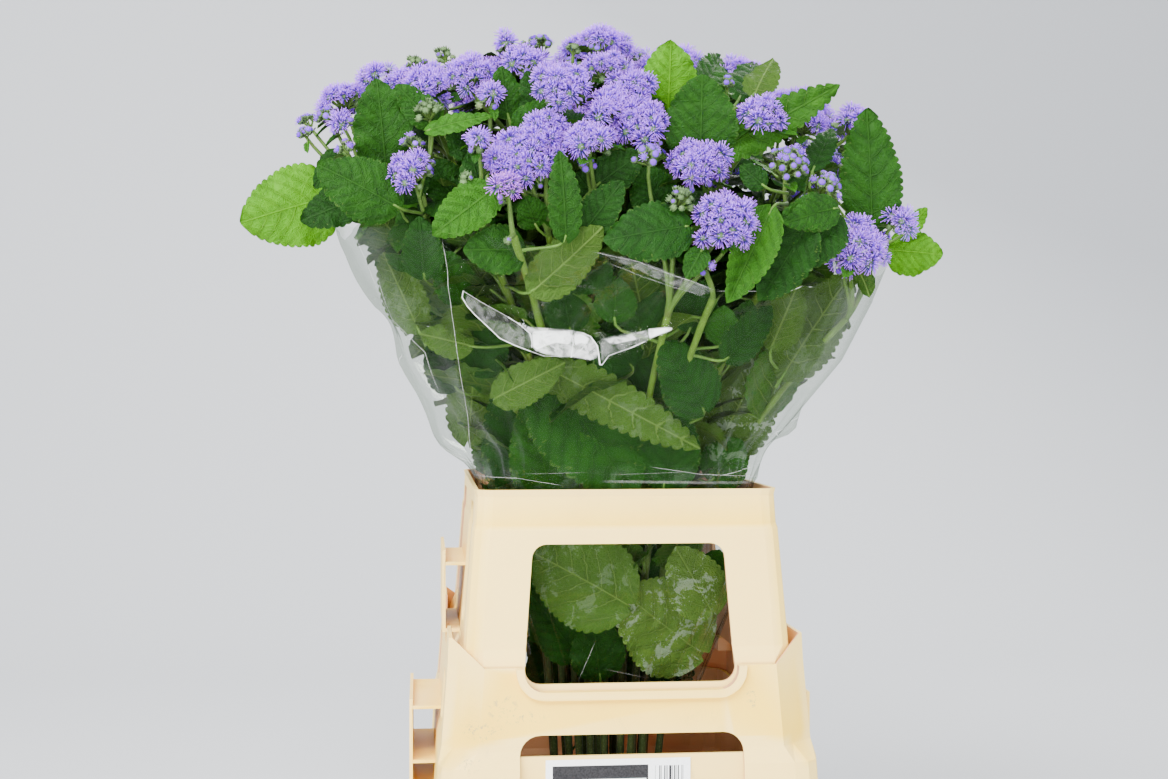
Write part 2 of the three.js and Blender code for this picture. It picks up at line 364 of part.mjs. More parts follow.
  [24, 1, -30.4, 98.5, 698.9, -48.9, 103.5, 706.6, -0.8657, 0.2325, 0.4433, 0.4588, 0.0144, 0.8884, 64.8, 50.2, 0.384, 0.069],
  [15, 1, 76.5, -164.6, 639.5, 75.3, -150.5, 648.4, -0.0663, 0.7578, 0.6492, 0.0566, -0.6467, 0.7607, 95.7, 74.7, 0.408, 0.111],
  [8, 1, -62.9, -194.9, 616.7, -82.5, -175.1, 624.9, -0.6687, 0.6739, 0.3141, 0.0236, -0.4031, 0.9149, 83.9, 59.2, 0.546, 0.163],
  [26, 1, 147.5, 124.9, 659.2, 129.8, 124.8, 666.3, -0.8994, -0.001, 0.4371, 0.4321, -0.1537, 0.8886, 67.8, 50.3, 0.785, 0.088],
  [19, 0, -98.5, -7.1, 606.7, -96.5, -29.3, 624.7, 0.0579, -0.6426, 0.764, 0.1189, 0.7643, 0.6339, 89.4, 61.7, 0.644, 0.106],
  [20, 0, -16.1, -9.6, 647.5, -16.3, 3.8, 653.2, -0.0129, 0.8831, 0.4691, -0.0245, -0.4693, 0.8827, 80.3, 61.1, 0.666, 0.183],
  [25, 0, 40, 110, 599.3, 42, 121.9, 604, 0.15, 0.8917, 0.427, -0.0746, -0.4204, 0.9043, 94.7, 71.2, 0.386, 0.1],
  [24, 1, -38.9, 105.2, 653.8, -26.8, 91.3, 663.5, 0.5427, -0.6211, 0.5654, -0.4939, 0.3085, 0.813, 86.5, 66.4, 0.709, 0.146],
  [15, 0, 66.9, -150.1, 619, 55.8, -134.1, 625.9, -0.5263, 0.7561, 0.3889, 0.5925, -0.0019, 0.8055, 71.7, 50, 0.295, 0.178],
  [26, 0, 148.9, 90, 607.4, 129.3, 84.7, 614.4, -0.8936, -0.241, 0.3788, 0.3549, 0.1376, 0.9247, 64.6, 44.8, 0.361, 0.044],
  [21, 0, 30.3, -12.9, 648.2, 49, 2.2, 662.1, 0.6173, 0.4959, 0.6108, -0.1002, -0.7205, 0.6862, 81.3, 61.5, 0.461, 0.137],
  [22, 0, 116.4, -20.2, 595.5, 108.8, -1.2, 602.2, -0.3477, 0.8668, 0.3575, 0.0094, -0.3781, 0.9257, 95.1, 65.7, 0.62, 0.117],
  [1, 0, -97.1, -77.1, 586.1, -106.3, -69.8, 594.2, -0.5645, 0.4472, 0.6938, 0.3972, -0.5897, 0.7032, 70.6, 46.8, 0.34, 0.107],
  [25, 0, 36, 99.4, 575, 21.9, 87.3, 589.5, -0.5038, -0.432, 0.748, 0.7149, 0.2775, 0.6418, 87.6, 66.6, 0.273, 0.177],
  [0, 1, -195.5, -56.4, 647, -189.3, -45.2, 656.5, 0.3305, 0.6029, 0.7262, -0.4059, -0.6038, 0.686, 92.6, 65, 0.35, 0.048],
  [5, 0, 4.1, -104, 615.8, 5.2, -83.1, 627.9, 0.0381, 0.7914, 0.6101, -0.3343, -0.5653, 0.7541, 74.8, 57.1, 0.352, 0.09],
  [23, 1, -127.8, 90, 667.3, -140.4, 77.5, 672.9, -0.6669, -0.66, 0.3458, 0.4381, 0.0281, 0.8985, 68.1, 49.3, 0.393, 0.191],
  [22, 0, 114.9, -19.9, 592.3, 130.1, -43.3, 605.3, 0.4704, -0.7216, 0.5079, -0.3551, 0.3721, 0.8576, 73.4, 57.1, 0.625, 0.171],
  [4, 0, -22.3, -71.2, 632, -9.1, -85.4, 645.3, 0.4926, -0.5319, 0.6888, -0.604, 0.361, 0.7106, 70.2, 52.7, 0.572, 0.092],
  [24, 0, -36.2, 90.8, 580.9, -61.3, 103.9, 588, -0.8538, 0.4479, 0.2652, 0.1718, -0.2386, 0.9558, 77, 55.6, 0.222, 0.055],
  [20, 1, -21.5, -4.2, 723.8, -18.3, 7.1, 730.6, 0.2127, 0.7629, 0.6106, -0.009, -0.6233, 0.7819, 85.9, 63.3, 0.316, 0.067],
  [4, 0, -24.4, -79.7, 658.1, -25.6, -98.2, 661.9, -0.062, -0.9775, 0.2016, 0.1589, 0.1897, 0.9689, 68.5, 46.4, 0.447, 0.178],
  [25, 1, 61.8, 110.2, 698.5, 74, 94.6, 707.3, 0.5353, -0.6897, 0.4876, -0.5635, 0.1384, 0.8144, 86.1, 68.8, 0.335, 0.174],
  [15, 0, 54.3, -120.4, 567.2, 46.5, -130.8, 577, -0.4062, -0.5413, 0.7362, 0.0629, 0.7872, 0.6134, 62.5, 44.2, 0.667, 0.048],
  [24, 0, -38.2, 95.3, 592.5, -59.8, 73.8, 601.4, -0.6718, -0.6712, 0.3132, 0.141, 0.2993, 0.9437, 66.7, 48.2, 0.55, 0.086],
  [19, 0, -94.4, -6.7, 595.8, -78.7, -10.4, 600.7, 0.9177, -0.2212, 0.33, -0.3499, -0.0565, 0.9351, 67.5, 48.3, 0.361, 0.108],
  [1, 1, -142.9, -131.1, 682.7, -117.2, -111.9, 689.4, 0.7845, 0.5841, 0.2081, -0.2327, -0.0337, 0.972, 66.2, 45.2, 0.631, 0.043],
  [22, 1, 150.9, -30.1, 663.5, 126, -15.4, 676.1, -0.7563, 0.4465, 0.4781, 0.4412, -0.1913, 0.8768, 72.4, 57.3, 0.465, 0.085],
  [22, 1, 158.3, -16.7, 658.6, 156.3, 5.2, 667.4, -0.083, 0.8941, 0.4402, -0.0312, -0.4438, 0.8956, 74.3, 53.6, 0.394, 0.195],
  [5, 0, 5.3, -90.1, 585.1, -1.8, -111.4, 594.4, -0.2817, -0.8459, 0.4529, 0.3863, 0.3321, 0.8605, 77.5, 51.3, 0.448, 0.098],
  [23, 1, -144.4, 92.1, 655.4, -161.9, 82, 662.6, -0.7963, -0.4592, 0.3939, 0.4346, 0.0187, 0.9004, 62.1, 43.1, 0.607, 0.179],
  [19, 1, -152.1, -54.4, 699, -135.9, -46.5, 711.2, 0.6536, 0.3218, 0.6851, -0.4668, -0.5411, 0.6995, 91.2, 63.3, 0.768, 0.113],
  [24, 0, -33.2, 83.7, 561.2, -17.7, 69.4, 568.1, 0.6869, -0.6328, 0.3575, -0.2682, 0.2365, 0.9339, 71.1, 55.6, 0.741, 0.153],
  [22, 1, 187.6, 0.6, 687.9, 166.3, 19.4, 703.9, -0.6002, 0.5296, 0.5994, 0.6856, -0.0454, 0.7266, 62.7, 49.9, 0.644, 0.109],
  [12, 0, -89, -90.5, 503.3, -102.8, -95.8, 516.7, -0.5441, -0.2118, 0.8119, 0.7481, 0.3156, 0.5837, 102.3, 72.5, 0.717, 0.058],
  [17, 0, 106.8, -111.6, 448.6, 112.5, -117.6, 460.1, 0.2306, -0.2413, 0.9427, -0.4498, 0.8326, 0.3231, 78.8, 55.1, 0.454, 0.179],
  [21, 0, 18.9, -8.2, 519.8, 24.1, -27.3, 529.4, 0.2237, -0.8206, 0.5259, -0.5714, 0.3267, 0.7529, 79.3, 56.8, 0.536, 0.157],
  [25, 0, 21.7, 61.7, 452.3, 23.4, 73.3, 468, 0.054, 0.3545, 0.9335, -0.3912, -0.8526, 0.3464, 98, 71.4, 0.535, 0.113],
  [19, 0, -53.6, -2.7, 437.4, -72.9, 1, 451, -0.7029, 0.1349, 0.6984, 0.6967, -0.0668, 0.7142, 86, 66.9, 0.427, 0.064],
  [26, 0, 100.5, 62.4, 519.2, 115.6, 75, 529.4, 0.6368, 0.5339, 0.5563, -0.2611, -0.5295, 0.8071, 70.7, 50.4, 0.794, 0.194],
  [15, 0, 37.8, -81.7, 470.3, 52.7, -82.4, 479, 0.7864, -0.036, 0.6167, -0.6171, -0.0914, 0.7815, 87.9, 61.3, 0.572, 0.177],
  [25, 0, 23.3, 66.1, 471.5, 28.9, 74.6, 484.4, 0.2145, 0.3276, 0.9202, -0.5031, -0.7705, 0.3915, 88.9, 66.8, 0.399, 0.065],
  [19, 0, -52.7, -2.6, 431.7, -64, -0.5, 437, -0.8472, 0.1638, 0.5053, 0.425, -0.3615, 0.8298, 69.7, 46.9, 0.614, 0.085],
  [8, 0, -39.3, -125.4, 495.2, -45.3, -141.1, 510.8, -0.2013, -0.5337, 0.8214, 0.5279, 0.6472, 0.5499, 102.1, 67.8, 0.415, 0.168],
  [17, 0, 88.5, -93.8, 410.6, 103.1, -89.5, 429.5, 0.3844, 0.1129, 0.9162, -0.9071, -0.1382, 0.3976, 81.3, 59.6, 0.738, 0.193],
  [26, 0, 109.7, 67.6, 539.3, 120.3, 72.7, 545.5, 0.7444, 0.3581, 0.5636, -0.5512, -0.1468, 0.8214, 100.9, 75.2, 0.376, 0.189],
  [26, 0, 82, 51.8, 471, 84.3, 69.1, 479, 0.1133, 0.8579, 0.5012, -0.048, -0.4991, 0.8652, 68.6, 50.1, 0.753, 0.18],
  [22, 0, 69.5, -12, 469.6, 84.6, -15.3, 481.3, 0.6631, -0.1444, 0.7345, -0.7428, -0.0051, 0.6695, 93.5, 74.4, 0.777, 0.186],
  [13, 0, 19.3, -126.4, 507.4, 16.2, -141.2, 522.7, -0.1084, -0.5079, 0.8546, 0.0419, 0.8566, 0.5143, 81, 62.3, 0.606, 0.183],
  [25, 0, 19.7, 56.6, 426.8, 21.7, 78, 436.7, 0.0774, 0.86, 0.5045, -0.1996, -0.4824, 0.8529, 72.7, 48.2, 0.543, 0.042],
  [4, 0, -17.4, -52.3, 559.6, -20.9, -63, 569.3, -0.1883, -0.5819, 0.7912, -0.0661, 0.8113, 0.5809, 94.1, 63.9, 0.537, 0.091],
  [23, 0, -64.6, 47.7, 479.5, -81.8, 51.1, 487.4, -0.8533, 0.1679, 0.4936, 0.5084, 0.0584, 0.8591, 79.8, 60.7, 0.425, 0.165],
  [22, 0, 94, -16.3, 545.2, 98.7, -33.2, 557, 0.1941, -0.7042, 0.6829, -0.2899, 0.6239, 0.7257, 98.8, 74.8, 0.41, 0.144],
  [1, 0, -79.4, -63.5, 536.1, -84.5, -73.9, 548.7, -0.2154, -0.433, 0.8753, 0.2496, 0.8421, 0.478, 94.8, 74.9, 0.64, 0.051],
  [24, 0, -19.7, 51.8, 435.6, -30, 65.2, 443, -0.5346, 0.695, 0.4808, 0.4149, -0.2797, 0.8658, 101, 72.3, 0.727, 0.093],
  [26, 0, 96.6, 60.2, 510.2, 96.7, 75.9, 519.6, 0.0028, 0.7807, 0.6249, -0.122, -0.6199, 0.7751, 66.5, 47.2, 0.284, 0.195],
  [2, 0, -39.6, -57.6, 469.3, -45, -69.6, 480, -0.2659, -0.5878, 0.764, 0.3587, 0.6753, 0.6444, 88.3, 63.4, 0.712, 0.126],
  [20, 0, -11, -7.1, 555.5, -20, -2.2, 564, -0.5573, 0.3045, 0.7724, 0.7873, -0.1016, 0.6081, 68.5, 49.7, 0.303, 0.142],
  [21, 0, 19.5, -8.4, 528, 30, -11.8, 539.6, 0.4772, -0.1537, 0.8652, -0.8535, 0.1535, 0.498, 97.4, 73.4, 0.733, 0.08],
  [6, 0, -9.4, -126, 538.9, -13.2, -137.5, 551.7, -0.1582, -0.476, 0.8651, 0.1962, 0.8435, 0.5, 67.2, 48.8, 0.3, 0.138],
  [6, 0, -9.2, -111.3, 511.4, -26, -116.8, 523.5, -0.6879, -0.225, 0.6901, 0.6867, 0.1061, 0.7191, 80.7, 62.3, 0.41, 0.068],
  [12, 0, -100.9, -103.7, 538.6, -111, -110.1, 547.8, -0.5639, -0.3567, 0.7448, 0.7212, 0.2266, 0.6546, 74.4, 49.6, 0.651, 0.185],
  [24, 0, -23.6, 61.1, 482.1, -32.6, 64.7, 494.2, -0.368, 0.1454, 0.9184, 0.7913, -0.4697, 0.3914, 75.5, 58.2, 0.296, 0.141],
  [7, 0, -11.3, -93.9, 412.2, -11, -102.4, 421, 0.0173, -0.5106, 0.8596, -0.0762, 0.8566, 0.5104, 75.6, 53.9, 0.774, 0.17],
  [23, 0, -74.4, 54.5, 515.2, -79.9, 64.4, 526.3, -0.264, 0.4776, 0.838, 0.3872, -0.7432, 0.5456, 71.2, 48.4, 0.243, 0.129],
  [13, 0, 14.8, -92.6, 437.7, 14.7, -103.9, 452.2, -0.0045, -0.3836, 0.9235, -0.2842, 0.8859, 0.3666, 95.9, 72.8, 0.548, 0.077],
  [22, 0, 79.3, -13.7, 503.5, 84.8, -3.8, 515, 0.2517, 0.4555, 0.8539, -0.3777, -0.7661, 0.52, 98.5, 72.8, 0.699, 0.16],
  [25, 0, 18.1, 52.2, 401.3, 29.2, 60, 407.7, 0.7017, 0.4941, 0.5133, -0.3032, -0.445, 0.8427, 75.4, 56.6, 0.792, 0.159],
  [26, 0, 48.8, 32.9, 321.3, 56, 51.2, 331.4, 0.3071, 0.7764, 0.5503, 0.0992, -0.6012, 0.7929, 77.9, 55.5, 0.736, 0.095],
  [24, 0, -13.4, 37.1, 318.1, -17.3, 47.2, 325.4, -0.26, 0.683, 0.6826, 0.0066, -0.7056, 0.7085, 90.9, 64, 0.517, 0.138],
  [15, 0, 29.6, -62.3, 390.4, 43.5, -60.9, 399.6, 0.7404, 0.0741, 0.668, -0.6616, -0.0947, 0.7438, 72, 51.4, 0.443, 0.098],
  [24, 0, -12.1, 34, 276.1, -21.3, 41.4, 281.7, -0.6687, 0.5392, 0.512, 0.2816, -0.4537, 0.8455, 68.4, 45.7, 0.289, 0.138],
  [24, 0, -12, 33.8, 271.8, -12.9, 53.8, 285.1, -0.0345, 0.7365, 0.6755, -0.3437, -0.6434, 0.684, 81.6, 62.3, 0.48, 0.112],
  [25, 0, 14.3, 42.3, 323.2, 18.5, 55.8, 335, 0.1853, 0.5988, 0.7792, -0.3621, -0.6955, 0.6206, 103.8, 82.5, 0.683, 0.119],
  [24, 0, -15.8, 42.7, 373.1, -17.7, 58, 386.9, -0.0737, 0.5888, 0.8049, 0.0029, -0.807, 0.5906, 74.3, 49.4, 0.487, 0.185],
  [23, 0, -37.4, 29, 306.1, -37.3, 47.1, 314.8, 0.0027, 0.8548, 0.5189, 0.0767, -0.5175, 0.8522, 97.5, 71.9, 0.787, 0.093],
  [10, 0, -45.4, -58.3, 313.1, -54.6, -65, 326.4, -0.3503, -0.2559, 0.901, 0.5597, 0.7142, 0.4204, 71.3, 52, 0.731, 0.098],
  [5, 0, 10, -33.3, 351.6, 11.8, -46.8, 368.9, 0.0513, -0.3862, 0.921, -0.4955, 0.7908, 0.3593, 66.2, 46.4, 0.283, 0.164],
  [19, 0, -36.7, -1.1, 277.2, -50.4, 10.8, 292.6, -0.4678, 0.4088, 0.7836, 0.6046, -0.4987, 0.6211, 85.4, 65.9, 0.409, 0.088],
  [22, 0, 41.4, -7.2, 302, 49.1, -10.6, 312.5, 0.3593, -0.1612, 0.9192, -0.8989, 0.2048, 0.3873, 70, 46.4, 0.372, 0.091],
  [19, 0, -41.3, -1.5, 338.2, -55.3, 10.1, 351.3, -0.5366, 0.4492, 0.7144, 0.6708, -0.2865, 0.684, 66.1, 44.1, 0.294, 0.189],
  [24, 0, -14.2, 38.9, 338.2, -15.3, 54.1, 354.5, -0.0369, 0.4867, 0.8728, -0.3392, -0.8276, 0.4471, 66.3, 43.9, 0.77, 0.109],
  [0, 0, -59.9, -22.4, 333.4, -66.7, -27.6, 344.5, -0.3022, -0.23, 0.9251, 0.6664, 0.6429, 0.3775, 70, 53.2, 0.662, 0.121],
  [23, 0, -40.5, 31.2, 338.4, -44.7, 45.4, 350.2, -0.1824, 0.6287, 0.756, 0.0965, -0.7537, 0.6501, 77.7, 52.1, 0.686, 0.115],
  [12, 0, -50.4, -47.7, 278.3, -57.9, -55.3, 290.1, -0.3305, -0.3361, 0.8819, 0.6958, 0.5445, 0.4683, 73.1, 54.2, 0.388, 0.049],
  [26, 0, 52.1, 34.8, 344.4, 58.5, 51.9, 360.1, 0.215, 0.5732, 0.7907, -0.6341, -0.5339, 0.5594, 96.1, 64.4, 0.531, 0.186],
  [25, 0, 12.8, 38.3, 274.7, 14.9, 47.7, 282.7, 0.1421, 0.6134, 0.7769, -0.4443, -0.6618, 0.6038, 87.1, 58.3, 0.43, 0.049],
  [9, 0, -29.3, -87.1, 344.9, -31.1, -101.2, 354.3, -0.1009, -0.5023, 0.8588, 0.1695, 0.8419, 0.5124, 68.1, 49.9, 0.6, 0.084],
  [25, 0, 15.9, 46.4, 360.3, 21.9, 64.7, 374.3, 0.2173, 0.6612, 0.718, -0.0117, -0.7338, 0.6793, 82.6, 63, 0.659, 0.188],
  [26, 0, 55.3, 36.6, 363.7, 72.2, 40.6, 382, 0.4827, 0.1143, 0.8683, -0.8688, -0.0624, 0.4912, 70.6, 54.6, 0.278, 0.197],
];

// ---------------------------------------------------------------- solids
const wasm = await Module();
wasm.setup();

// A closed three.js geometry as a solid that can be joined and cut.
function solid(geometry) {
  const bare = geometry.clone();
  for (const name of Object.keys(bare.attributes)) if (name !== "position") bare.deleteAttribute(name);
  const merged = mergeVertices(bare, 1e-4);
  return new wasm.Manifold(
    new wasm.Mesh({
      numProp: 3,
      vertProperties: merged.attributes.position.array,
      triVerts: new Uint32Array(merged.index.array),
    }),
  );
}

const join = (parts) => parts.reduce((all, part) => all.add(part));

// Faces over points, turned outwards if they look in.
function skin(points, faces) {
  let volume = 0;
  for (const [a, b, c] of faces) volume += points[a].clone().cross(points[b]).dot(points[c]);
  const geometry = new THREE.BufferGeometry().setFromPoints(points);
  geometry.setIndex(faces.flatMap(([a, b, c]) => (volume < 0 ? [a, c, b] : [a, b, c])));
  return geometry;
}

// Skin through rings of points. A ring of one point closes that end to a tip.
function loft(rings) {
  const start = [];
  let n = 0;
  for (const ring of rings) {
    start.push(n);
    n += ring.length;
  }
  const faces = [];
  for (let i = 0; i + 1 < rings.length; i++) {
    const [a, b] = [rings[i].length, rings[i + 1].length];
    const k = Math.max(a, b);
    for (let j = 0; j < k; j++) {
      const m = (j + 1) % k;
      if (a > 1) faces.push([start[i] + j, start[i] + m, start[i + 1] + (b > 1 ? m : 0)]);
      if (b > 1) faces.push([start[i] + (a > 1 ? j : 0), start[i + 1] + m, start[i + 1] + j]);
    }
  }
  const cap = (s, count, flip) => {
    for (let j = 1; j + 1 < count; j++)
      faces.push(flip ? [s, s + j + 1, s + j] : [s, s + j, s + j + 1]);
  };
  cap(start[0], rings[0].length, true);
  cap(start[rings.length - 1], rings[rings.length - 1].length, false);
  return skin(rings.flat(), faces);
}

const V = (x, y, z) => new THREE.Vector3(x, y, z);
const step = (p, dir, k) => p.clone().addScaledVector(dir, k);

// ---------------------------------------------------------------- plants
// How far a stem has leaned out at part s of its height: mostly upright low down.
const stemLean = (s) => 0.2 * s + 0.8 * s ** 4;

// A stem row is [foot x, foot y, top x, top y, top z, radius at the foot].
function stemAt([fx, fy, tx, ty, tz], z) {
  const g = stemLean(Math.min(1.04, Math.max(0, (z - STEM_FOOT) / (tz - STEM_FOOT))));
  return V(fx + (tx - fx) * g, fy + (ty - fy) * g, z);
}

const stemPath = (stem) =>
  STEM_STATIONS.map((s) => stemAt(stem, STEM_FOOT + (stem[4] - STEM_FOOT) * s));

function stemEnd(stem) {
  const path = stemPath(stem);
  return path[path.length - 1].clone().sub(path[path.length - 2]).normalize();
}

// A rod through points, square to its path at each, or at first to a given direction.
function rod(path, radii, sides, first = null) {
  let side = null;
  return loft(
    path.map((p, i) => {
      const along =
        !i && first
          ? first
          : path[Math.min(path.length - 1, i + 1)].clone().sub(path[Math.max(0, i - 1)]).normalize();
      const near = side || (Math.abs(along.z) < 0.9 ? V(0, 0, 1) : V(1, 0, 0));
      side = step(near, along, -near.dot(along)).normalize();
      const other = along.clone().cross(side);
      return Array.from({ length: sides }, (_, k) => {
        const a = (k / sides) * 2 * Math.PI;
        return step(step(p, side, radii[i] * Math.cos(a)), other, radii[i] * Math.sin(a));
      });
    }),
  );
}

const stemSolid = (stem, grow = 0) =>
  solid(
    rod(
      stemPath(stem),
      STEM_STATIONS.map((s) => stem[5] * (1 - STEM_TAPER * s) + grow),
      STEM_SIDES,
    ),
  );

// The middle of a leaf blade at part u of its length, its upper side and its left side.
// The blade arches over by its bend and its halves fold up by its fold, both in radians.
function leafFrame(row, u) {
  const [t, n] = [V(...row.slice(6, 9)), V(...row.slice(9, 12))];
  const [length, , bend] = row.slice(12);
  const a = bend * u;
  const r = Math.abs(bend) < 1e-3 ? 0 : length / bend;
  const centre = V(...row.slice(3, 6));
  centre.addScaledVector(t, r ? r * Math.sin(a) : length * u);
  centre.addScaledVector(n, r ? -r * (1 - Math.cos(a)) : 0);
  return {
    centre,
    up: n.clone().multiplyScalar(Math.cos(a)).addScaledVector(t, Math.sin(a)),
    side: n.clone().cross(t),
  };
}

function leafPoint(row, u, v) {
  const { centre, up, side } = leafFrame(row, u);
  const half = (Math.abs(v) * row[13]) / 2;
  centre.addScaledVector(side, Math.sign(v) * half * Math.cos(row[15]));
  return centre.addScaledVector(up, half * Math.sin(row[15]));
}

function leafSolid(row, thick = LEAF_THICK, grow = 1, stalk = STALK) {
  const [a, b] = [V(...row.slice(0, 3)), V(...row.slice(3, 6))];
  const { up, side } = leafFrame(row, 0);
  const reach = b.clone().sub(a).normalize();
  let s = step(side, reach, -side.dot(reach)).normalize();
  let n = reach.clone().cross(s);
  if (n.dot(up) < 0) n = n.negate();
  const rings = [[step(a, s, -stalk), step(a, n, stalk), step(a, s, stalk), step(a, n, -stalk)]];
  for (const [u, w] of LEAF_SECTIONS) {
    const at = leafFrame(row, u);
    const half = u ? thick / 2 : stalk * 0.9;
    rings.push([
      leafPoint(row, u, -w * grow),
      step(at.centre, at.up, half),
      leafPoint(row, u, w * grow),
      step(at.centre, at.up, -half),
    ]);
  }
  rings.push([leafPoint(row, grow, 0)]);
  return solid(loft(rings));
}

// A flower cluster: a low dome on its branch.
function domeSolid(row, grow = 0) {
  const [c, n] = [V(...row.slice(0, 3)), V(...row.slice(3, 6))];
  const [radius, height] = [row[6] + grow, row[7] + grow * 0.7];
  const u = n.clone().cross(Math.abs(n.z) < 0.9 ? V(0, 0, 1) : V(0, 1, 0)).normalize();
  const w = n.clone().cross(u);
  const ring = (r, h) =>
    Array.from({ length: DOME_SIDES }, (_, k) => {
      const a = (k / DOME_SIDES) * 2 * Math.PI;
      return step(step(step(c, u, r * Math.cos(a)), w, r * Math.sin(a)), n, h);
    });
  return solid(
    loft([
      [step(c, n, -height * 0.55)],
      ring(radius * 0.98, -height * 0.08),
      ring(radius * 0.66, height * 0.36),
      [step(c, n, height * 0.5)],
    ]),
  );
}

// A branch runs from just above the top of the stem to the underside of a cluster.
function branchCurve(stem, cluster) {
  const lean = stemEnd(stem);
  const a = step(stemAt(stem, stem[4]), lean, BRANCH_GAP);
  const n = V(...cluster.slice(3, 6));
  const b = step(V(...cluster.slice(0, 3)), n, -cluster[7] * 0.3);
  const reach = a.distanceTo(b);
  return new THREE.CubicBezierCurve3(a, step(a, lean, reach * 0.35), step(b, n, -reach * 0.3), b);
}

const branchPath = (stem, cluster) =>
  branchCurve(stem, cluster).getPoints(BRANCH_RADII.length - 1);

const branchSolid = (stem, cluster, grow = 0) =>
  solid(rod(branchPath(stem, cluster), BRANCH_RADII.map((r) => r + grow), 4, stemEnd(stem)));

const headSolid = (stem, clusters, grow = 0) =>
  join([
    ...clusters.map((c) => domeSolid(c, grow)),
    ...clusters.map((c) => branchSolid(stem, c, grow)),
  ]);

// ---------------------------------------------------------------- sleeve
function sleeveLevel(z) {
  let i = 1;
  while (i < SLEEVE.length - 1 && z > SLEEVE[i][0]) i++;
  const [lo, hi] = [SLEEVE[i - 1], SLEEVE[i]];
  const t = Math.min(1, Math.max(0, (z - lo[0]) / (hi[0] - lo[0])));
  return [1, 2, 3].map((k) => lo[k] + (hi[k] - lo[k]) * t);
}

function sleevePoint(angle, z, inset = 0) {
  const [hx, hy, n] = sleeveLevel(z);
  const [c, s] = [Math.cos(angle), Math.sin(angle)];
  return V(
    Math.sign(c) * Math.abs(c) ** (2 / n) * (hx - inset),
    Math.sign(s) * Math.abs(s) ** (2 / n) * (hy - inset),
    z,
  );
}

function sleeveEdge(angle) {
  const d = THREE.MathUtils.euclideanModulo(THREE.MathUtils.radToDeg(angle) + 180, 360) - 180;
  let i = 1;
  while (i < SLEEVE_EDGE.length - 1 && d > SLEEVE_EDGE[i][0]) i++;
  const [lo, hi] = [SLEEVE_EDGE[i - 1], SLEEVE_EDGE[i]];
  return lo[1] + (hi[1] - lo[1]) * THREE.MathUtils.smoothstep(d, lo[0], hi[0]);
}

function sleeveSolid() {
  const n = SLEEVE_SIDES;
  const ring = (z, inset) =>
    Array.from({ length: n }, (_, k) => {
      const a = -Math.PI + ((k + 0.5) / n) * 2 * Math.PI;
      const edge = sleeveEdge(a);
      return sleevePoint(a, z === null ? edge : Math.min(z, edge - (z >= 545 ? 12 : 30)), inset);
    });
  const rings = [
    ...SLEEVE_ROWS.map((z) => ring(z, 0)),
    ...SLEEVE_ROWS.map((z) => ring(z, SLEEVE_THICK)).reverse(),
  ];
  const faces = [];
  rings.forEach((_, i) => {
    for (let j = 0; j < n; j++) {
      const [a, b, m] = [i * n, ((i + 1) % rings.length) * n, (j + 1) % n];
      faces.push([a + j, a + m, b + m], [a + j, b + m, b + j]);
    }
  });
  return solid(skin(rings.flat(), faces));
}

// ---------------------------------------------------------------- holder
const block = (lo, hi) =>
  solid(
    new THREE.BoxGeometry(hi[0] - lo[0], hi[1] - lo[1], hi[2] - lo[2]).translate(
      (lo[0] + hi[0]) / 2,
      (lo[1] + hi[1]) / 2,
      (lo[2] + hi[2]) / 2,
    ),
  );

// One level of a tapered wall: a rectangle with round or chamfered corners.
const rect = (hx, hy, r, z, straight) =>
  [
    [1, 1, 0],
    [-1, 1, 90],
    [-1, -1, 180],
    [1, -1, 270],
  ].flatMap(([sx, sy, start]) =>
    Array.from({ length: CORNER_STEPS + 1 }, (_, i) => {
      const t = i / CORNER_STEPS;
      const a0 = THREE.MathUtils.degToRad(start);
      const a = a0 + (t * Math.PI) / 2;
      const arc = [Math.cos(a), Math.sin(a)];
      const cut = [Math.cos(a0) * (1 - t) - Math.sin(a0) * t, Math.sin(a0) * (1 - t) + Math.cos(a0) * t];
      return V(
        sx * (hx - r) + r * THREE.MathUtils.lerp(arc[0], cut[0], straight),
        sy * (hy - r) + r * THREE.MathUtils.lerp(arc[1], cut[1], straight),
        z,
      );
    }),
  );
const body = (levels, inset = 0, z0 = levels[0][0], z1 = levels[levels.length - 1][0]) =>
  solid(
    loft(
      levels.map(([z, hx, hy, r, s], i) =>
        rect(
          hx - inset,
          hy - inset,
          Math.max(3, r - inset),
          i === 0 ? z0 : i === levels.length - 1 ? z1 : z,
          s,
        ),
      ),
    ),
  );
const tube = (levels) =>
  body(levels).subtract(body(levels, WALL, levels[0][0] - 1, levels[levels.length - 1][0] + 1));
const widthAt = (levels, z) => {
  let i = 1;
  while (i < levels.length - 1 && z > levels[i][0]) i++;
  const t = (z - levels[i - 1][0]) / (levels[i][0] - levels[i - 1][0]);
  return THREE.MathUtils.lerp(levels[i - 1][1], levels[i][1], t);
};

// A rounded opening, half0 wide at its foot and half1 at its head, cut along Y or X.
const roundShape = ({ half0, half1 = half0, z0, z1, radius }) => {
  const shape = new THREE.Shape();
  [
    [half1, z1, 1, -1, 0],
    [-half1, z1, -1, -1, 90],
    [-half0, z0, -1, 1, 180],
    [half0, z0, 1, 1, 270],
  ].forEach(([x, z, sx, sz, start], i) => {
    const a = THREE.MathUtils.degToRad(start);
    const [cx, cz] = [x - sx * radius, z + sz * radius];
    if (i === 0) shape.moveTo(cx + radius * Math.cos(a), cz + radius * Math.sin(a));
    shape.absarc(cx, cz, radius, a, a + Math.PI / 2, false);
  });
  return shape;
};
const prism = (shape, depth) =>
  new THREE.ExtrudeGeometry(shape, { depth, bevelEnabled: false, curveSegments: 3 }).translate(0, 0, -depth / 2);
const alongY = (w, y0 = -260, y1 = 260) =>
  solid(prism(roundShape(w), y1 - y0).rotateX(Math.PI / 2).translate(0, (y0 + y1) / 2, 0));
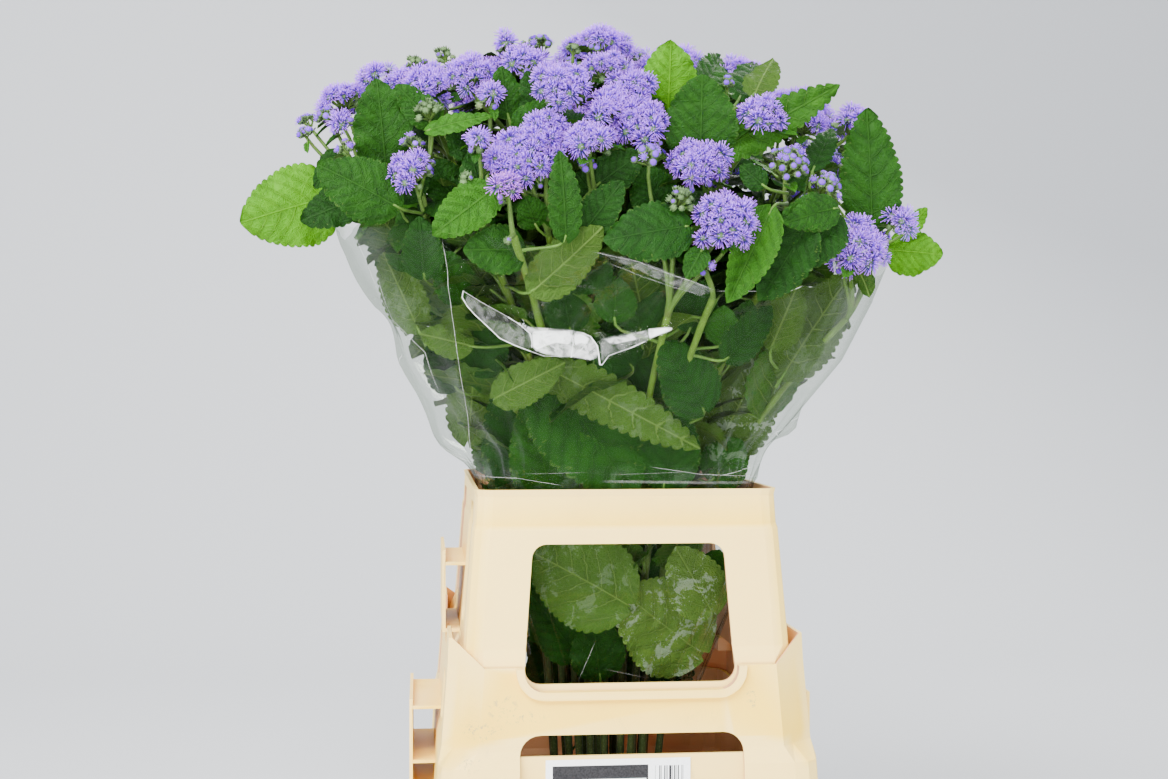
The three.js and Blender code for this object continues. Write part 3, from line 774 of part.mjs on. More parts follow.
const alongX = (w, y) =>
  solid(prism(roundShape(w), 520).rotateX(Math.PI / 2).rotateZ(Math.PI / 2).translate(0, y, 0));

function bucket() {
  const [z0, z1, hx, hy, r] = BUCKET_LEDGE;
  const ledge = solid(loft([rect(hx, hy, r, z0, 0), rect(hx, hy, r, z1, 0)]));
  return body(BUCKET_OUTER).add(ledge).subtract(body(BUCKET_OUTER, WALL, BUCKET_FLOOR, BUCKET_TOP + 2));
}

// A ladder of shelves behind an outer plate, on one long side.
function grip({ z0, z1, x, half, shelves }, side, levels) {
  const span = (a, b) => [Math.min(side * a, side * b), Math.max(side * a, side * b)];
  const [p0, p1] = span(x - GRIP_PLATE, x);
  return join([
    block([p0, -half, z0], [p1, half, z1]),
    ...shelves.map((z) => {
      const [s0, s1] = span(widthAt(levels, z) - WALL / 2, x - GRIP_PLATE / 2);
      return block([s0, -half, z], [s1, half, z + SHELF]);
    }),
  ]);
}

function lowerCollar() {
  // the top edge drops between the raised corners, on slopes
  const { front, side, rise, run } = LOWER_COLLAR_EAR;
  const [lo, hi] = [LOWER_COLLAR_FLAT, LOWER_COLLAR_FLAT + rise];
  const dip = (half) => {
    const shape = new THREE.Shape();
    shape.moveTo(-half, lo);
    shape.lineTo(half, lo);
    shape.lineTo(half + run, hi);
    shape.lineTo(-half - run, hi);
    shape.closePath();
    return prism(shape, 520).rotateX(Math.PI / 2);
  };
  const { half, bottom, radius, lip } = LOWER_COLLAR_NOTCH;
  const notch = (grow, y0, y1) =>
    alongY({ half0: half + grow, z0: bottom - grow, z1: hi + 30 + grow, radius: radius + grow }, y0, y1);
  let c = tube(LOWER_COLLAR)
    .subtract(solid(dip(front)))
    .subtract(solid(dip(side - run).rotateZ(Math.PI / 2)))
    .subtract(notch(0))
    .subtract(alongY(LOWER_WINDOW));
  for (const s of [-1, 1]) c = c.subtract(alongX(LOWER_SLOT, s * LOWER_SLOT.y));
  // rolled lips round the notches, front and back
  const lips = [-1, 1].map((s) => {
    const [y0, y1] = s < 0 ? [-188.6, -182.4] : [182.4, 188.6];
    return notch(lip, y0, y1)
      .subtract(notch(0))
      .intersect(block([-100, -260, 240], [100, 260, LOWER_COLLAR_FLAT]));
  });
  // carriers in the corners
  const { z0, z1, reach } = CARRIER;
  const x1 = widthAt(LOWER_COLLAR, z0) - WALL / 2;
  const carriers = [-1, 1].flatMap((sx) =>
    [-1, 1].map((sy) =>
      block(
        [Math.min(sx * (x1 - reach), sx * x1), Math.min(sy * 128, sy * 148), z0],
        [Math.max(sx * (x1 - reach), sx * x1), Math.max(sy * 128, sy * 148), z1],
      ),
    ),
  );
  return join([c, ...lips, ...carriers, grip(LOWER_GRIP, 1, LOWER_COLLAR), grip(LOWER_GRIP, -1, LOWER_COLLAR)]);
}

function upperCollar() {
  let c = tube(UPPER_COLLAR).subtract(alongY(UPPER_WINDOW));
  for (const s of [-1, 1]) c = c.subtract(alongX(UPPER_SLOT, s * UPPER_SLOT.y));
  return join([c, grip(UPPER_GRIP, 1, UPPER_COLLAR), grip(UPPER_GRIP, -1, UPPER_COLLAR)]);
}

function labelCard() {
  const { x, half, z0, z1, thick } = LABEL;
  const wall = (z) => -(181 + ((z - 138) / 74) * 3) - GAP;
  const ring = (at) => [
    V(at, wall(z0), z0),
    V(at, wall(z1), z1),
    V(at, wall(z1) - thick, z1),
    V(at, wall(z0) - thick, z0),
  ];
  return solid(loft([ring(x - half), ring(x + half)]));
}

// ---------------------------------------------------------------- assembly
const crate = { color: 0xecdcc0, roughness: 0.55, metalness: 0 }; // cream polypropylene
const film = { color: 0xe8ecee, roughness: 0.12, metalness: 0, transparent: true, opacity: 0.25 };
const card = { color: 0xf2f3f2, roughness: 0.7, metalness: 0 };
const green = { color: 0x3f7a2c, roughness: 0.6, metalness: 0 };
const bloom = { color: 0x9c86e6, roughness: 0.9, metalness: 0 };

// A solid as a mesh of its own, in a group whose origin is at a given place.
function give(group, name, look, made) {
  const { vertProperties, triVerts, numProp } = made.getMesh();
  const position = new Float32Array((vertProperties.length / numProp) * 3);
  for (let i = 0; i < position.length / 3; i++)
    position.set(vertProperties.subarray(i * numProp, i * numProp + 3), i * 3);
  const geometry = new THREE.BufferGeometry();
  geometry.setAttribute("position", new THREE.BufferAttribute(position, 3));
  geometry.setIndex(new THREE.BufferAttribute(new Uint32Array(triVerts), 1));
  geometry.translate(-group.position.x, -group.position.y, -group.position.z);
  geometry.computeVertexNormals();
  const mesh = new THREE.Mesh(geometry, new THREE.MeshStandardMaterial(look));
  mesh.name = name;
  group.add(mesh);
}

const ageratum = new THREE.Group();
const holder = new THREE.Group();
give(holder, "bucket", crate, bucket());
give(holder, "lower_collar", crate, lowerCollar());
give(holder, "upper_collar", crate, upperCollar());
give(holder, "label_card", card, labelCard());
const bunch = new THREE.Group();
give(bunch, "sleeve", film, sleeveSolid());
STEMS.forEach((stem, i) => {
  const plant = new THREE.Group();
  plant.position.set(stem[0], stem[1], STEM_FOOT);
  const id = String(i + 1).padStart(2, "0");
  const leaves = (on) => LEAVES.filter((l) => l[0] === i && l[1] === on).map((l) => leafSolid(l.slice(2)));
  give(plant, "stem_" + id, green, join([stemSolid(stem), ...leaves(0)]));
  give(plant, "flower_head_" + id, bloom, join([headSolid(stem, HEADS[i]), ...leaves(1)]));
  bunch.add(plant);
});
ageratum.add(holder, bunch);

export default ageratum;
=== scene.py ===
# A bunch of ageratum in a clear sleeve, in a rectangular flower bucket with two stacked collars.
import math

import bpy
import numpy as np
from mathutils import Matrix, Vector


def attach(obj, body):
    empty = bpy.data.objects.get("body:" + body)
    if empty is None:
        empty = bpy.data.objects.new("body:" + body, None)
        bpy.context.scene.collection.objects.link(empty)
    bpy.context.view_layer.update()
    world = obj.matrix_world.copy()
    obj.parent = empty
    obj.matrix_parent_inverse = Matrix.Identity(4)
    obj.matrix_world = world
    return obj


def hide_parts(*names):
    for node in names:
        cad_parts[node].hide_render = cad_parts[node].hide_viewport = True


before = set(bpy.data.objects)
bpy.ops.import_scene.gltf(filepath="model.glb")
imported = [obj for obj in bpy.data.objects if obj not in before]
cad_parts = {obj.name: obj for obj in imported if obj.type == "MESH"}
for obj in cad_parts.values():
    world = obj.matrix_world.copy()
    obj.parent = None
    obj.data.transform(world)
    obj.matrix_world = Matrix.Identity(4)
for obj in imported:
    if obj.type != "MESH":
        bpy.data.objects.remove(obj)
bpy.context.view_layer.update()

# ---------------------------------------------------------------- places, in millimetres
# Stems: foot x, foot y, top x, top y, top z, radius at the foot.
STEMS = [
    [-33.6, -14, -181.7, -61.5, 611.7, 3.29],
    [-25, -21.8, -128.8, -101.4, 653.6, 3.05],
    [-17.1, -27.2, -83.2, -116.6, 663.1, 3.07],
    [-0.4, -22.8, -55, -147.7, 641.5, 3.39],
    [-7.3, -12.6, -26.4, -87.4, 679.5, 3.48],
    [11.6, -14.7, 2.8, -120.1, 646.8, 3.32],
    [-8.1, -30.8, -10, -173.9, 609.1, 3.19],
    [-5, -50.1, -24.5, -185.8, 593.2, 3.06],
    [-10.9, -41.3, -60.9, -189.2, 588, 3.14],
    [-13.2, -48.5, -88.5, -229.5, 583.3, 3.23],
    [-25.5, -35.6, -139.9, -166, 578.9, 3.23],
    [-20.2, -45.1, -101.3, -193.4, 573.1, 3.2],
    [-38.2, -34.1, -141.9, -149.1, 627, 3.1],
    [6.9, -33.5, 26.4, -179.3, 581.1, 3.1],
    [4.5, -42.7, 24.4, -193.7, 529.8, 3.12],
    [16.9, -32.5, 69.2, -155.5, 627.1, 3.1],
    [19.8, -42.1, 110.5, -187.3, 574.8, 3.36],
    [29.9, -36.5, 163.3, -166.9, 530.3, 3.16],
    [12.2, -49.8, 54.2, -211, 542, 3.05],
    [-26.5, -0.1, -121.7, -9.3, 659.2, 3.16],
    [-2.9, -3.2, -19.9, -11.4, 697.6, 3.14],
    [7.4, -3.5, 37, -15.6, 699.6, 3.01],
    [26.1, -4.5, 142.9, -24.8, 642.7, 3.43],
    [-23.3, 19.3, -128.2, 91.5, 643.2, 3.23],
    [-7.9, 24.1, -43.7, 108.4, 622.7, 3.25],
    [8.6, 27.3, 44.3, 121.2, 622.1, 3.42],
    [28.2, 21.1, 157.5, 94.9, 619.8, 3.21],
]
# Flower clusters of each stem: centre, up, radius, height, and open, mixed, purple or green.
HEADS = [
    [
        [-217.3, -47, 709.3, -0.479, -0.133, 0.868, 20, 23, "o"],
        [-189.1, -63.9, 724.2, -0.41, -0.159, 0.898, 15.8, 19.4, "o"],
        [-244.1, -48.3, 691.1, -0.614, -0.052, 0.788, 9.6, 13.9, "p"],
        [-209.1, -138.3, 657.6, -0.46, -0.548, 0.698, 7.4, 11.3, "p"],
    ],
    [
        [-149.9, -154.1, 702.6, -0.189, -0.565, 0.803, 16.2, 19.8, "o"],
        [-158.3, -93.8, 732.2, -0.412, -0.233, 0.881, 8.5, 12.6, "g"],
        [-134.6, -114.3, 734.7, -0.114, -0.428, 0.896, 8.4, 12.5, "g"],
    ],
    [
        [-116.8, -155.5, 710.3, -0.105, -0.595, 0.797, 19.9, 23, "o"],
        [-89.8, -132.2, 739.4, -0.276, -0.392, 0.878, 9.1, 13.7, "m"],
    ],
    [
        [-76.6, -163.2, 719.1, -0.04, -0.509, 0.86, 15.5, 19.1, "o"],
        [-54.2, -203.8, 694.3, 0.004, -0.725, 0.689, 20.7, 23.6, "o"],
    ],
    [
        [-16.3, -120.1, 745.1, 0.083, -0.289, 0.954, 15.3, 19, "o"],
        [-37.4, -131.2, 736.2, 0.122, -0.347, 0.93, 7.6, 11.5, "g"],
    ],
    [
        [-16.9, -152.7, 718, -0.048, -0.44, 0.897, 17.2, 20.6, "o"],
        [2.5, -165.4, 701.1, 0.05, -0.589, 0.807, 17.8, 21.1, "o"],
    ],
    [
        [4.8, -192.5, 669.3, -0.194, -0.707, 0.681, 21.7, 24.4, "o"],
        [-25.5, -203.5, 674.9, -0.071, -0.67, 0.739, 11.4, 15.7, "o"],
    ],
    [
        [-34.8, -223.8, 653.1, -0.066, -0.711, 0.7, 16.8, 20.3, "o"],
        [-33.4, -203.5, 637.6, 0.048, -0.804, 0.592, 8.6, 12.7, "p"],
    ],
    [
        [-80.1, -217.5, 642.8, -0.097, -0.794, 0.601, 25.3, 27.5, "o"],
        [-63.9, -209, 663.4, -0.073, -0.733, 0.676, 15.6, 19.3, "o"],
    ],
    [
        [-93.8, -237.3, 615.6, -0.2, -0.787, 0.584, 13.1, 17.1, "m"],
        [-93.6, -247.5, 580.2, 0.013, -0.912, 0.41, 4.8, 8, "g"],
    ],
    [
        [-159.2, -195.5, 632.7, -0.239, -0.667, 0.706, 19.2, 22.3, "m"],
        [-160, -183.4, 655.2, -0.343, -0.578, 0.741, 7.9, 11.9, "p"],
    ],
    [
        [-113.6, -232.7, 650.5, -0.138, -0.803, 0.58, 9, 13.6, "m"],
        [-103.5, -189, 689.7, -0.101, -0.656, 0.748, 10.8, 15.2, "m"],
        [-121.6, -224.9, 625.1, -0.09, -0.717, 0.691, 7.7, 11.6, "g"],
    ],
    [
        [-147.8, -175.5, 680.5, -0.179, -0.592, 0.786, 13, 18.3, "g"],
    ],
    [
        [44.8, -202.9, 639.5, 0.001, -0.802, 0.598, 20.9, 23.7, "o"],
    ],
    [
        [59.4, -233.4, 596.9, 0.001, -0.847, 0.532, 23.2, 25.7, "o"],
        [27.7, -232.2, 610.7, 0.092, -0.813, 0.576, 13.3, 18.6, "g"],
        [7.9, -222.2, 642, 0.024, -0.784, 0.62, 12.7, 17.9, "p"],
    ],
    [
        [96.4, -194.1, 677.8, 0.089, -0.55, 0.831, 17.5, 20.9, "o"],
        [73.8, -169.1, 703.9, 0.011, -0.518, 0.855, 7.4, 11.3, "p"],
    ],
    [
        [110.7, -212.4, 639.1, 0.157, -0.713, 0.683, 18.7, 25.3, "p"],
        [137.9, -209.1, 624.8, 0.364, -0.702, 0.612, 14.4, 20, "p"],
    ],
    [
        [161.9, -207.4, 582.6, 0.321, -0.786, 0.528, 22.4, 25.1, "o"],
        [202.6, -173.3, 604.7, 0.405, -0.789, 0.462, 12.7, 16.8, "m"],
    ],
    [
        [46.5, -234.1, 565.2, -0.036, -0.949, 0.315, 7.7, 11.6, "p"],
    ],
    [
        [-151.5, -31.8, 726.7, -0.097, 0.031, 0.995, 27.3, 29.2, "o"],
        [-185.8, 26.7, 717.3, -0.349, 0.231, 0.908, 21.2, 24, "m"],
        [-113, 17.7, 746.5, -0.183, -0.087, 0.979, 23.8, 26.2, "o"],
        [-163.2, -71.9, 717.9, -0.29, -0.195, 0.937, 21.4, 24.2, "o"],
    ],
    [
        [-58.4, -50.8, 754.8, -0.136, -0.174, 0.975, 14.5, 20.2, "p"],
        [-22, 1.7, 746.1, 0.005, -0.088, 0.996, 27.3, 29.2, "o"],
        [-77.4, 20.4, 762, -0.072, 0.248, 0.966, 13.8, 19.2, "p"],
        [-12.6, -74.7, 747.9, -0.064, -0.284, 0.957, 28.2, 30, "o"],
    ],
    [
        [51.2, -61.3, 736.1, 0.03, -0.098, 0.995, 29.7, 31.3, "o"],
        [81.8, -3.4, 741, 0.069, 0.04, 0.997, 17.3, 20.7, "m"],
        [30.3, 29, 757.6, 0.2, -0.033, 0.979, 23.6, 26, "o"],
        [101.5, -69.3, 728.4, 0.101, -0.233, 0.967, 27.4, 29.3, "o"],
    ],
    [
        [162.4, -45, 698.9, 0.187, -0.226, 0.956, 21.5, 24.3, "o"],
        [205.4, 10.1, 697.2, 0.439, 0.022, 0.898, 16.2, 21.1, "o"],
        [140.9, 11.2, 718.8, 0.144, -0.004, 0.99, 26.4, 28.4, "o"],
        [190.1, -101.2, 688.2, 0.494, -0.373, 0.786, 19.8, 24.2, "o"],
    ],
    [
        [-192.5, 97, 692.4, -0.364, 0.397, 0.842, 15.2, 21, "p"],
        [-150.4, 147.9, 692.9, -0.165, 0.467, 0.869, 25.7, 27.8, "o"],
        [-119.4, 84.8, 744, -0.126, 0.239, 0.963, 23.3, 25.8, "o"],
    ],
    [
        [-72.5, 122.4, 732.6, -0.041, 0.372, 0.927, 16.8, 23, "p"],
        [-39.5, 184, 679.1, -0.082, 0.634, 0.769, 21.6, 24.4, "o"],
        [-94.9, 188.4, 667.4, -0.219, 0.677, 0.703, 26.4, 28.5, "o"],
        [-20, 90.9, 751.5, -0.022, 0.21, 0.977, 28.8, 30.5, "o"],
    ],
    [
        [72.5, 97.8, 749.4, 0.132, 0.086, 0.988, 19.5, 22.6, "m"],
        [39.6, 146.7, 711.8, 0.09, 0.462, 0.882, 21.7, 24.5, "o"],
        [102.1, 165.5, 692, 0.021, 0.572, 0.82, 22.1, 24.8, "o"],
        [20.9, 207.3, 666.8, -0.043, 0.675, 0.736, 24, 26.4, "o"],
    ],
    [
        [169.9, 88.4, 723.2, 0.158, 0.277, 0.948, 24.5, 26.8, "o"],
        [196.9, 137.6, 671.2, 0.453, 0.508, 0.733, 29.2, 30.8, "o"],
        [140, 150.3, 687.3, 0.256, 0.57, 0.781, 26.7, 28.7, "o"],
        [223.9, 71.6, 673.4, 0.564, 0.231, 0.793, 28.5, 30.2, "o"],
    ],
]
# Leaves: stem, seen from the front or not, tone, stalk start, blade start, blade direction, upper face, length, width, bend, fold.
LEAVES = [
    [22, 1, "bright", 159.4, -49.9, 664, 228.9, -57.4, 592.4, 0.8846, -0.4594, -0.0807, -0.4402, -0.8795, 0.1808, 43.6, 40.8, 0.2, 0.1],
    [15, 1, "dark", 73.6, -164.6, 683.3, 89, -137.9, 700.9, 0.3481, 0.6728, 0.6529, 0.1177, -0.7223, 0.6815, 70.1, 35.1, 0.3, 0.1],
    [5, 1, "under", -2, -128, 664.4, 95.7, -160.7, 698.7, 0.377, 0.6139, 0.6935, 0.0223, 0.7426, -0.6694, 55.9, 27.2, -0.2, 0.349],
    [15, 1, "mid", 73.4, -161.9, 665.5, 60.7, -132.5, 704.7, 0.3474, 0.7301, 0.5885, 0.441, -0.681, 0.5846, 80, 28.9, 0.2, 0.215],
    [0, 1, "dark", -202.1, -116, 645.7, -213.1, -115.7, 657.8, -0.6172, 0.0861, -0.7821, -0.0748, -0.9959, -0.0506, 34.7, 19.7, 0.3, 0.15],
    [16, 1, "mid", 129.6, -200.4, 610.5, 139.9, -220.4, 607.3, -0.7047, -0.6709, -0.231, 0.6261, -0.7411, 0.2425, 49.3, 22.4, 0.5, 0.1],
    [16, 1, "dark", 126.5, -198.2, 605.2, 135.5, -181.9, 641.7, 0.4292, 0.5825, 0.6902, 0.0512, -0.7787, 0.6253, 57.4, 19.3, 0.2, 0.102],
    [16, 1, "dark", 110.7, -201.9, 620, 90.9, -216.4, 623.3, -0.7535, -0.0251, 0.657, -0.0084, -0.9988, -0.0478, 22.8, 17.8, 0.2, 0.1],
    [12, 1, "light", -145.1, -157.5, 646.6, -145.1, -165, 672, 0.1148, 0.5383, 0.8349, 0.1338, -0.8412, 0.524, 33.1, 15.5, 0.3, 0.211],
    [10, 1, "light", -154.1, -184.6, 616.4, -148.9, -168.1, 673.7, -0.6541, 0.5827, 0.4823, -0.4663, -0.8126, 0.3495, 36.7, 14.4, 0.3, 0.222],
    [12, 1, "light", -146.5, -166.3, 664.5, -147.8, -184.6, 664.5, 0.9131, -0.3102, 0.2646, -0.3903, -0.8526, 0.3473, 48.4, 17.2, 0.3, 0.2],
    [14, 1, "mid", 51.1, -218.2, 578.8, 42.8, -236, 576.1, -0.4668, -0.4078, -0.7848, 0.0018, -0.8878, 0.4602, 25.5, 17.4, 0.3, 0.1],
    [22, 1, "bright", 165.9, -12.7, 666.3, 238.3, -66.6, 603.4, 0.6163, -0.1623, 0.7706, -0.3432, -0.9361, 0.0773, 30, 16.3, 0.2, 0.102],
    [18, 1, "dark", 44.9, -175.4, 503.4, 70.4, -183.2, 500.4, 0.5469, -0.4599, 0.6995, -0.394, -0.8787, -0.2696, 51.7, 27.7, 0.2, 0.1],
    [10, 1, "dark", -125.1, -149.1, 555.7, -150.7, -182.3, 559.7, -0.0485, -0.3231, 0.9451, 0.0118, -0.9463, -0.323, 43.4, 30.1, 0.2, 0.1],
    [18, 1, "mid", 45.9, -179, 507.6, 67.5, -180.1, 511.6, -0.0757, -0.5865, 0.8064, -0.1796, -0.7875, -0.5896, 31.7, 26, 0.2, 0.1],
    [24, 0, "mid", -41.8, 103.9, 612.9, -52.7, 112.1, 615.9, -0.7769, 0.5857, 0.231, 0.0293, -0.3328, 0.9426, 69.9, 47.6, 0.544, 0.059],
    [24, 0, "light", -40.8, 101.5, 607.2, -35.8, 114.1, 612.9, 0.3254, 0.8247, 0.4625, -0.2141, -0.4122, 0.8856, 87, 62.4, 0.71, 0.163],
    [21, 0, "light", 34.6, -14.6, 682.1, 59.8, -26.9, 696.2, 0.7545, -0.369, 0.5427, -0.5211, 0.1658, 0.8372, 70.8, 51.6, 0.663, 0.13],
    [25, 0, "light", 67.2, 135.5, 648.3, 56.5, 132.6, 657.4, -0.6165, -0.1681, 0.7692, 0.7247, 0.2609, 0.6378, 76.8, 55.9, 0.236, 0.193],
    [26, 0, "mid", 167, 103.9, 632.3, 175.9, 118.2, 635.8, 0.5162, 0.8314, 0.2056, 0.0246, -0.2544, 0.9668, 81.2, 60.4, 0.337, 0.135],
    [1, 0, "dark", -143.3, -98.3, 692.7, -119.6, -89.8, 699.1, 0.9081, 0.3267, 0.262, -0.2267, -0.1425, 0.9635, 94.4, 73.2, 0.764, 0.109],
    [25, 0, "dark", 65.1, 105.9, 713.2, 65.7, 133.7, 722.9, 0.0203, 0.9238, 0.3823, 0.2391, -0.3758, 0.8953, 68.3, 46.3, 0.38, 0.04],
    [26, 0, "mid", 165.3, 92.2, 656.2, 154.5, 86.3, 659.4, -0.8449, -0.4575, 0.2773, 0.274, 0.075, 0.9588, 80.2, 60, 0.507, 0.105],
    [26, 0, "mid", 134, 81.5, 584.1, 116.7, 99.8, 605.1, -0.4309, 0.458, 0.7776, 0.3095, -0.7344, 0.6041, 64.6, 50.1, 0.572, 0.103],
    [26, 0, "dark", 167.7, 91.2, 668.1, 179.5, 94.4, 676.7, 0.6922, 0.1871, 0.6971, -0.5999, -0.3879, 0.6998, 63.1, 42.7, 0.404, 0.16],
    [25, 0, "mid", 41.2, 113.1, 605.9, 40.1, 102.9, 613.9, -0.0747, -0.6574, 0.7499, -0.1653, 0.7497, 0.6408, 75.5, 50.8, 0.487, 0.147],
    [19, 0, "light", -90.7, -6.3, 585.8, -112.2, 4.2, 597.2, -0.7694, 0.3777, 0.5151, 0.5126, -0.1159, 0.8507, 63.1, 47.4, 0.765, 0.163],
    [19, 0, "mid", -137.8, -2.1, 673.4, -145.2, 6.7, 680.1, -0.5122, 0.605, 0.6096, 0.2158, -0.5963, 0.7732, 84, 60.8, 0.734, 0.172],
    [25, 0, "mid", 35.4, 97.7, 571, 28.3, 111.2, 580.1, -0.3602, 0.6889, 0.629, 0.0786, -0.6495, 0.7563, 84.7, 56.8, 0.554, 0.045],
    [14, 0, "dark", 22.6, -180.2, 515.4, 46.8, -164.3, 530.2, 0.6977, 0.459, 0.55, -0.4015, -0.3853, 0.8309, 91.1, 69, 0.301, 0.14],
    [2, 0, "mid", -92.2, -124.8, 674.9, -98.1, -113.9, 677.8, -0.4582, 0.8571, 0.2354, 0.2966, -0.1022, 0.9495, 64.6, 46, 0.502, 0.135],
    [20, 0, "mid", -33.7, -24.9, 721.5, -46.1, -20.3, 724.3, -0.9172, 0.34, 0.2075, 0.2798, 0.1795, 0.9431, 70, 46.4, 0.284, 0.072],
    [14, 0, "dark", 42.8, -209.5, 564.8, 47, -197.9, 568.7, 0.322, 0.8844, 0.3378, -0.1939, -0.2877, 0.9379, 75.1, 51.2, 0.606, 0.128],
    [21, 0, "mid", 34, -14.4, 678.3, 24.7, -32.3, 684.7, -0.4335, -0.8332, 0.3434, 0.2734, 0.2415, 0.9311, 84.2, 55.9, 0.255, 0.093],
    [15, 0, "mid", 61.2, -136.8, 597.3, 76.1, -140.5, 600.9, 0.9416, -0.2339, 0.2421, -0.228, 0.0859, 0.9699, 74.2, 57.3, 0.328, 0.165],
    [23, 0, "light", -113.9, 81.7, 616, -108.8, 57.4, 629.4, 0.1685, -0.7997, 0.5763, 0.2036, 0.6003, 0.7734, 70.5, 55.6, 0.217, 0.107],
    [23, 0, "mid", -122.8, 85.6, 713.6, -104.7, 101.1, 732.4, 0.5006, 0.4287, 0.752, -0.409, -0.6485, 0.642, 79.6, 55.5, 0.388, 0.18],
    [0, 0, "mid", -140.7, -48.3, 555.3, -149.6, -60.6, 566.1, -0.417, -0.571, 0.7071, 0.1734, 0.7137, 0.6786, 89.6, 59.8, 0.369, 0.085],
    [5, 0, "light", 5.6, -86.4, 576.3, 18.8, -69.5, 585.7, 0.541, 0.6917, 0.4785, -0.0316, -0.5518, 0.8334, 85.2, 67, 0.278, 0.197],
    [24, 0, "mid", -61.9, 134.2, 640.7, -55.9, 122, 652, 0.2774, -0.5665, 0.776, -0.5176, 0.5924, 0.6174, 63.5, 46.3, 0.405, 0.131],
    [0, 0, "mid", -175.9, -59.6, 604.6, -181.1, -32.5, 616.7, -0.1643, 0.8617, 0.4801, -0.0678, -0.4954, 0.866, 94.3, 69.9, 0.278, 0.188],
    [0, 0, "dark", -132.7, -45.8, 542.2, -122, -43.6, 549.5, 0.7222, 0.144, 0.6765, -0.6778, -0.0475, 0.7337, 81.2, 54.2, 0.44, 0.055],
    [22, 0, "mid", 108.8, -18.9, 579.8, 105, -6.6, 582.6, -0.2885, 0.9305, 0.2258, 0.0063, -0.234, 0.9722, 64, 42.9, 0.321, 0.197],
    [26, 0, "light", 203.6, 76.3, 655.5, 200, 61.2, 660.4, -0.2188, -0.9161, 0.3359, 0.1132, 0.3181, 0.9413, 69.7, 48.2, 0.409, 0.075],
    [26, 0, "light", 122.1, 74.7, 563.5, 113.5, 93.4, 577.8, -0.3015, 0.6483, 0.6992, 0.4761, -0.533, 0.6995, 63.5, 47.6, 0.466, 0.166],
    [5, 0, "mid", 4.4, -100.6, 608.7, 20.3, -76.7, 624.3, 0.4513, 0.6788, 0.5792, -0.4858, -0.3576, 0.7976, 65.3, 43.2, 0.737, 0.079],
    [20, 0, "mid", -18.6, -56, 729.9, -32.3, -54.5, 733.6, -0.9533, 0.1045, 0.2835, 0.2445, -0.2842, 0.9271, 89, 61.4, 0.46, 0.113],
    [24, 0, "light", -30.4, 98.5, 698.9, -48.9, 103.5, 706.6, -0.8657, 0.2325, 0.4433, 0.4588, 0.0144, 0.8884, 64.8, 50.2, 0.384, 0.069],
    [15, 0, "dark", 76.5, -164.6, 639.5, 75.3, -150.5, 648.4, -0.0663, 0.7578, 0.6492, 0.0566, -0.6467, 0.7607, 95.7, 74.7, 0.408, 0.111],
    [8, 0, "dark", -62.9, -194.9, 616.7, -82.5, -175.1, 624.9, -0.6687, 0.6739, 0.3141, 0.0236, -0.4031, 0.9149, 83.9, 59.2, 0.546, 0.163],
    [26, 0, "dark", 147.5, 124.9, 659.2, 129.8, 124.8, 666.3, -0.8994, -0.001, 0.4371, 0.4321, -0.1537, 0.8886, 67.8, 50.3, 0.785, 0.088],
    [19, 0, "light", -98.5, -7.1, 606.7, -96.5, -29.3, 624.7, 0.0579, -0.6426, 0.764, 0.1189, 0.7643, 0.6339, 89.4, 61.7, 0.644, 0.106],
    [20, 0, "dark", -16.1, -9.6, 647.5, -16.3, 3.8, 653.2, -0.0129, 0.8831, 0.4691, -0.0245, -0.4693, 0.8827, 80.3, 61.1, 0.666, 0.183],
    [25, 0, "mid", 40, 110, 599.3, 42, 121.9, 604, 0.15, 0.8917, 0.427, -0.0746, -0.4204, 0.9043, 94.7, 71.2, 0.386, 0.1],
    [24, 0, "mid", -38.9, 105.2, 653.8, -26.8, 91.3, 663.5, 0.5427, -0.6211, 0.5654, -0.4939, 0.3085, 0.813, 86.5, 66.4, 0.709, 0.146],
    [15, 0, "mid", 66.9, -150.1, 619, 55.8, -134.1, 625.9, -0.5263, 0.7561, 0.3889, 0.5925, -0.0019, 0.8055, 71.7, 50, 0.295, 0.178],
    [26, 0, "mid", 148.9, 90, 607.4, 129.3, 84.7, 614.4, -0.8936, -0.241, 0.3788, 0.3549, 0.1376, 0.9247, 64.6, 44.8, 0.361, 0.044],
    [21, 0, "mid", 30.3, -12.9, 648.2, 49, 2.2, 662.1, 0.6173, 0.4959, 0.6108, -0.1002, -0.7205, 0.6862, 81.3, 61.5, 0.461, 0.137],
    [22, 0, "dark", 116.4, -20.2, 595.5, 108.8, -1.2, 602.2, -0.3477, 0.8668, 0.3575, 0.0094, -0.3781, 0.9257, 95.1, 65.7, 0.62, 0.117],
    [1, 0, "light", -97.1, -77.1, 586.1, -106.3, -69.8, 594.2, -0.5645, 0.4472, 0.6938, 0.3972, -0.5897, 0.7032, 70.6, 46.8, 0.34, 0.107],
    [25, 0, "mid", 36, 99.4, 575, 21.9, 87.3, 589.5, -0.5038, -0.432, 0.748, 0.7149, 0.2775, 0.6418, 87.6, 66.6, 0.273, 0.177],
    [0, 0, "mid", -195.5, -56.4, 647, -189.3, -45.2, 656.5, 0.3305, 0.6029, 0.7262, -0.4059, -0.6038, 0.686, 92.6, 65, 0.35, 0.048],
    [5, 0, "mid", 4.1, -104, 615.8, 5.2, -83.1, 627.9, 0.0381, 0.7914, 0.6101, -0.3343, -0.5653, 0.7541, 74.8, 57.1, 0.352, 0.09],
    [23, 0, "mid", -127.8, 90, 667.3, -140.4, 77.5, 672.9, -0.6669, -0.66, 0.3458, 0.4381, 0.0281, 0.8985, 68.1, 49.3, 0.393, 0.191],
    [22, 0, "mid", 114.9, -19.9, 592.3, 130.1, -43.3, 605.3, 0.4704, -0.7216, 0.5079, -0.3551, 0.3721, 0.8576, 73.4, 57.1, 0.625, 0.171],
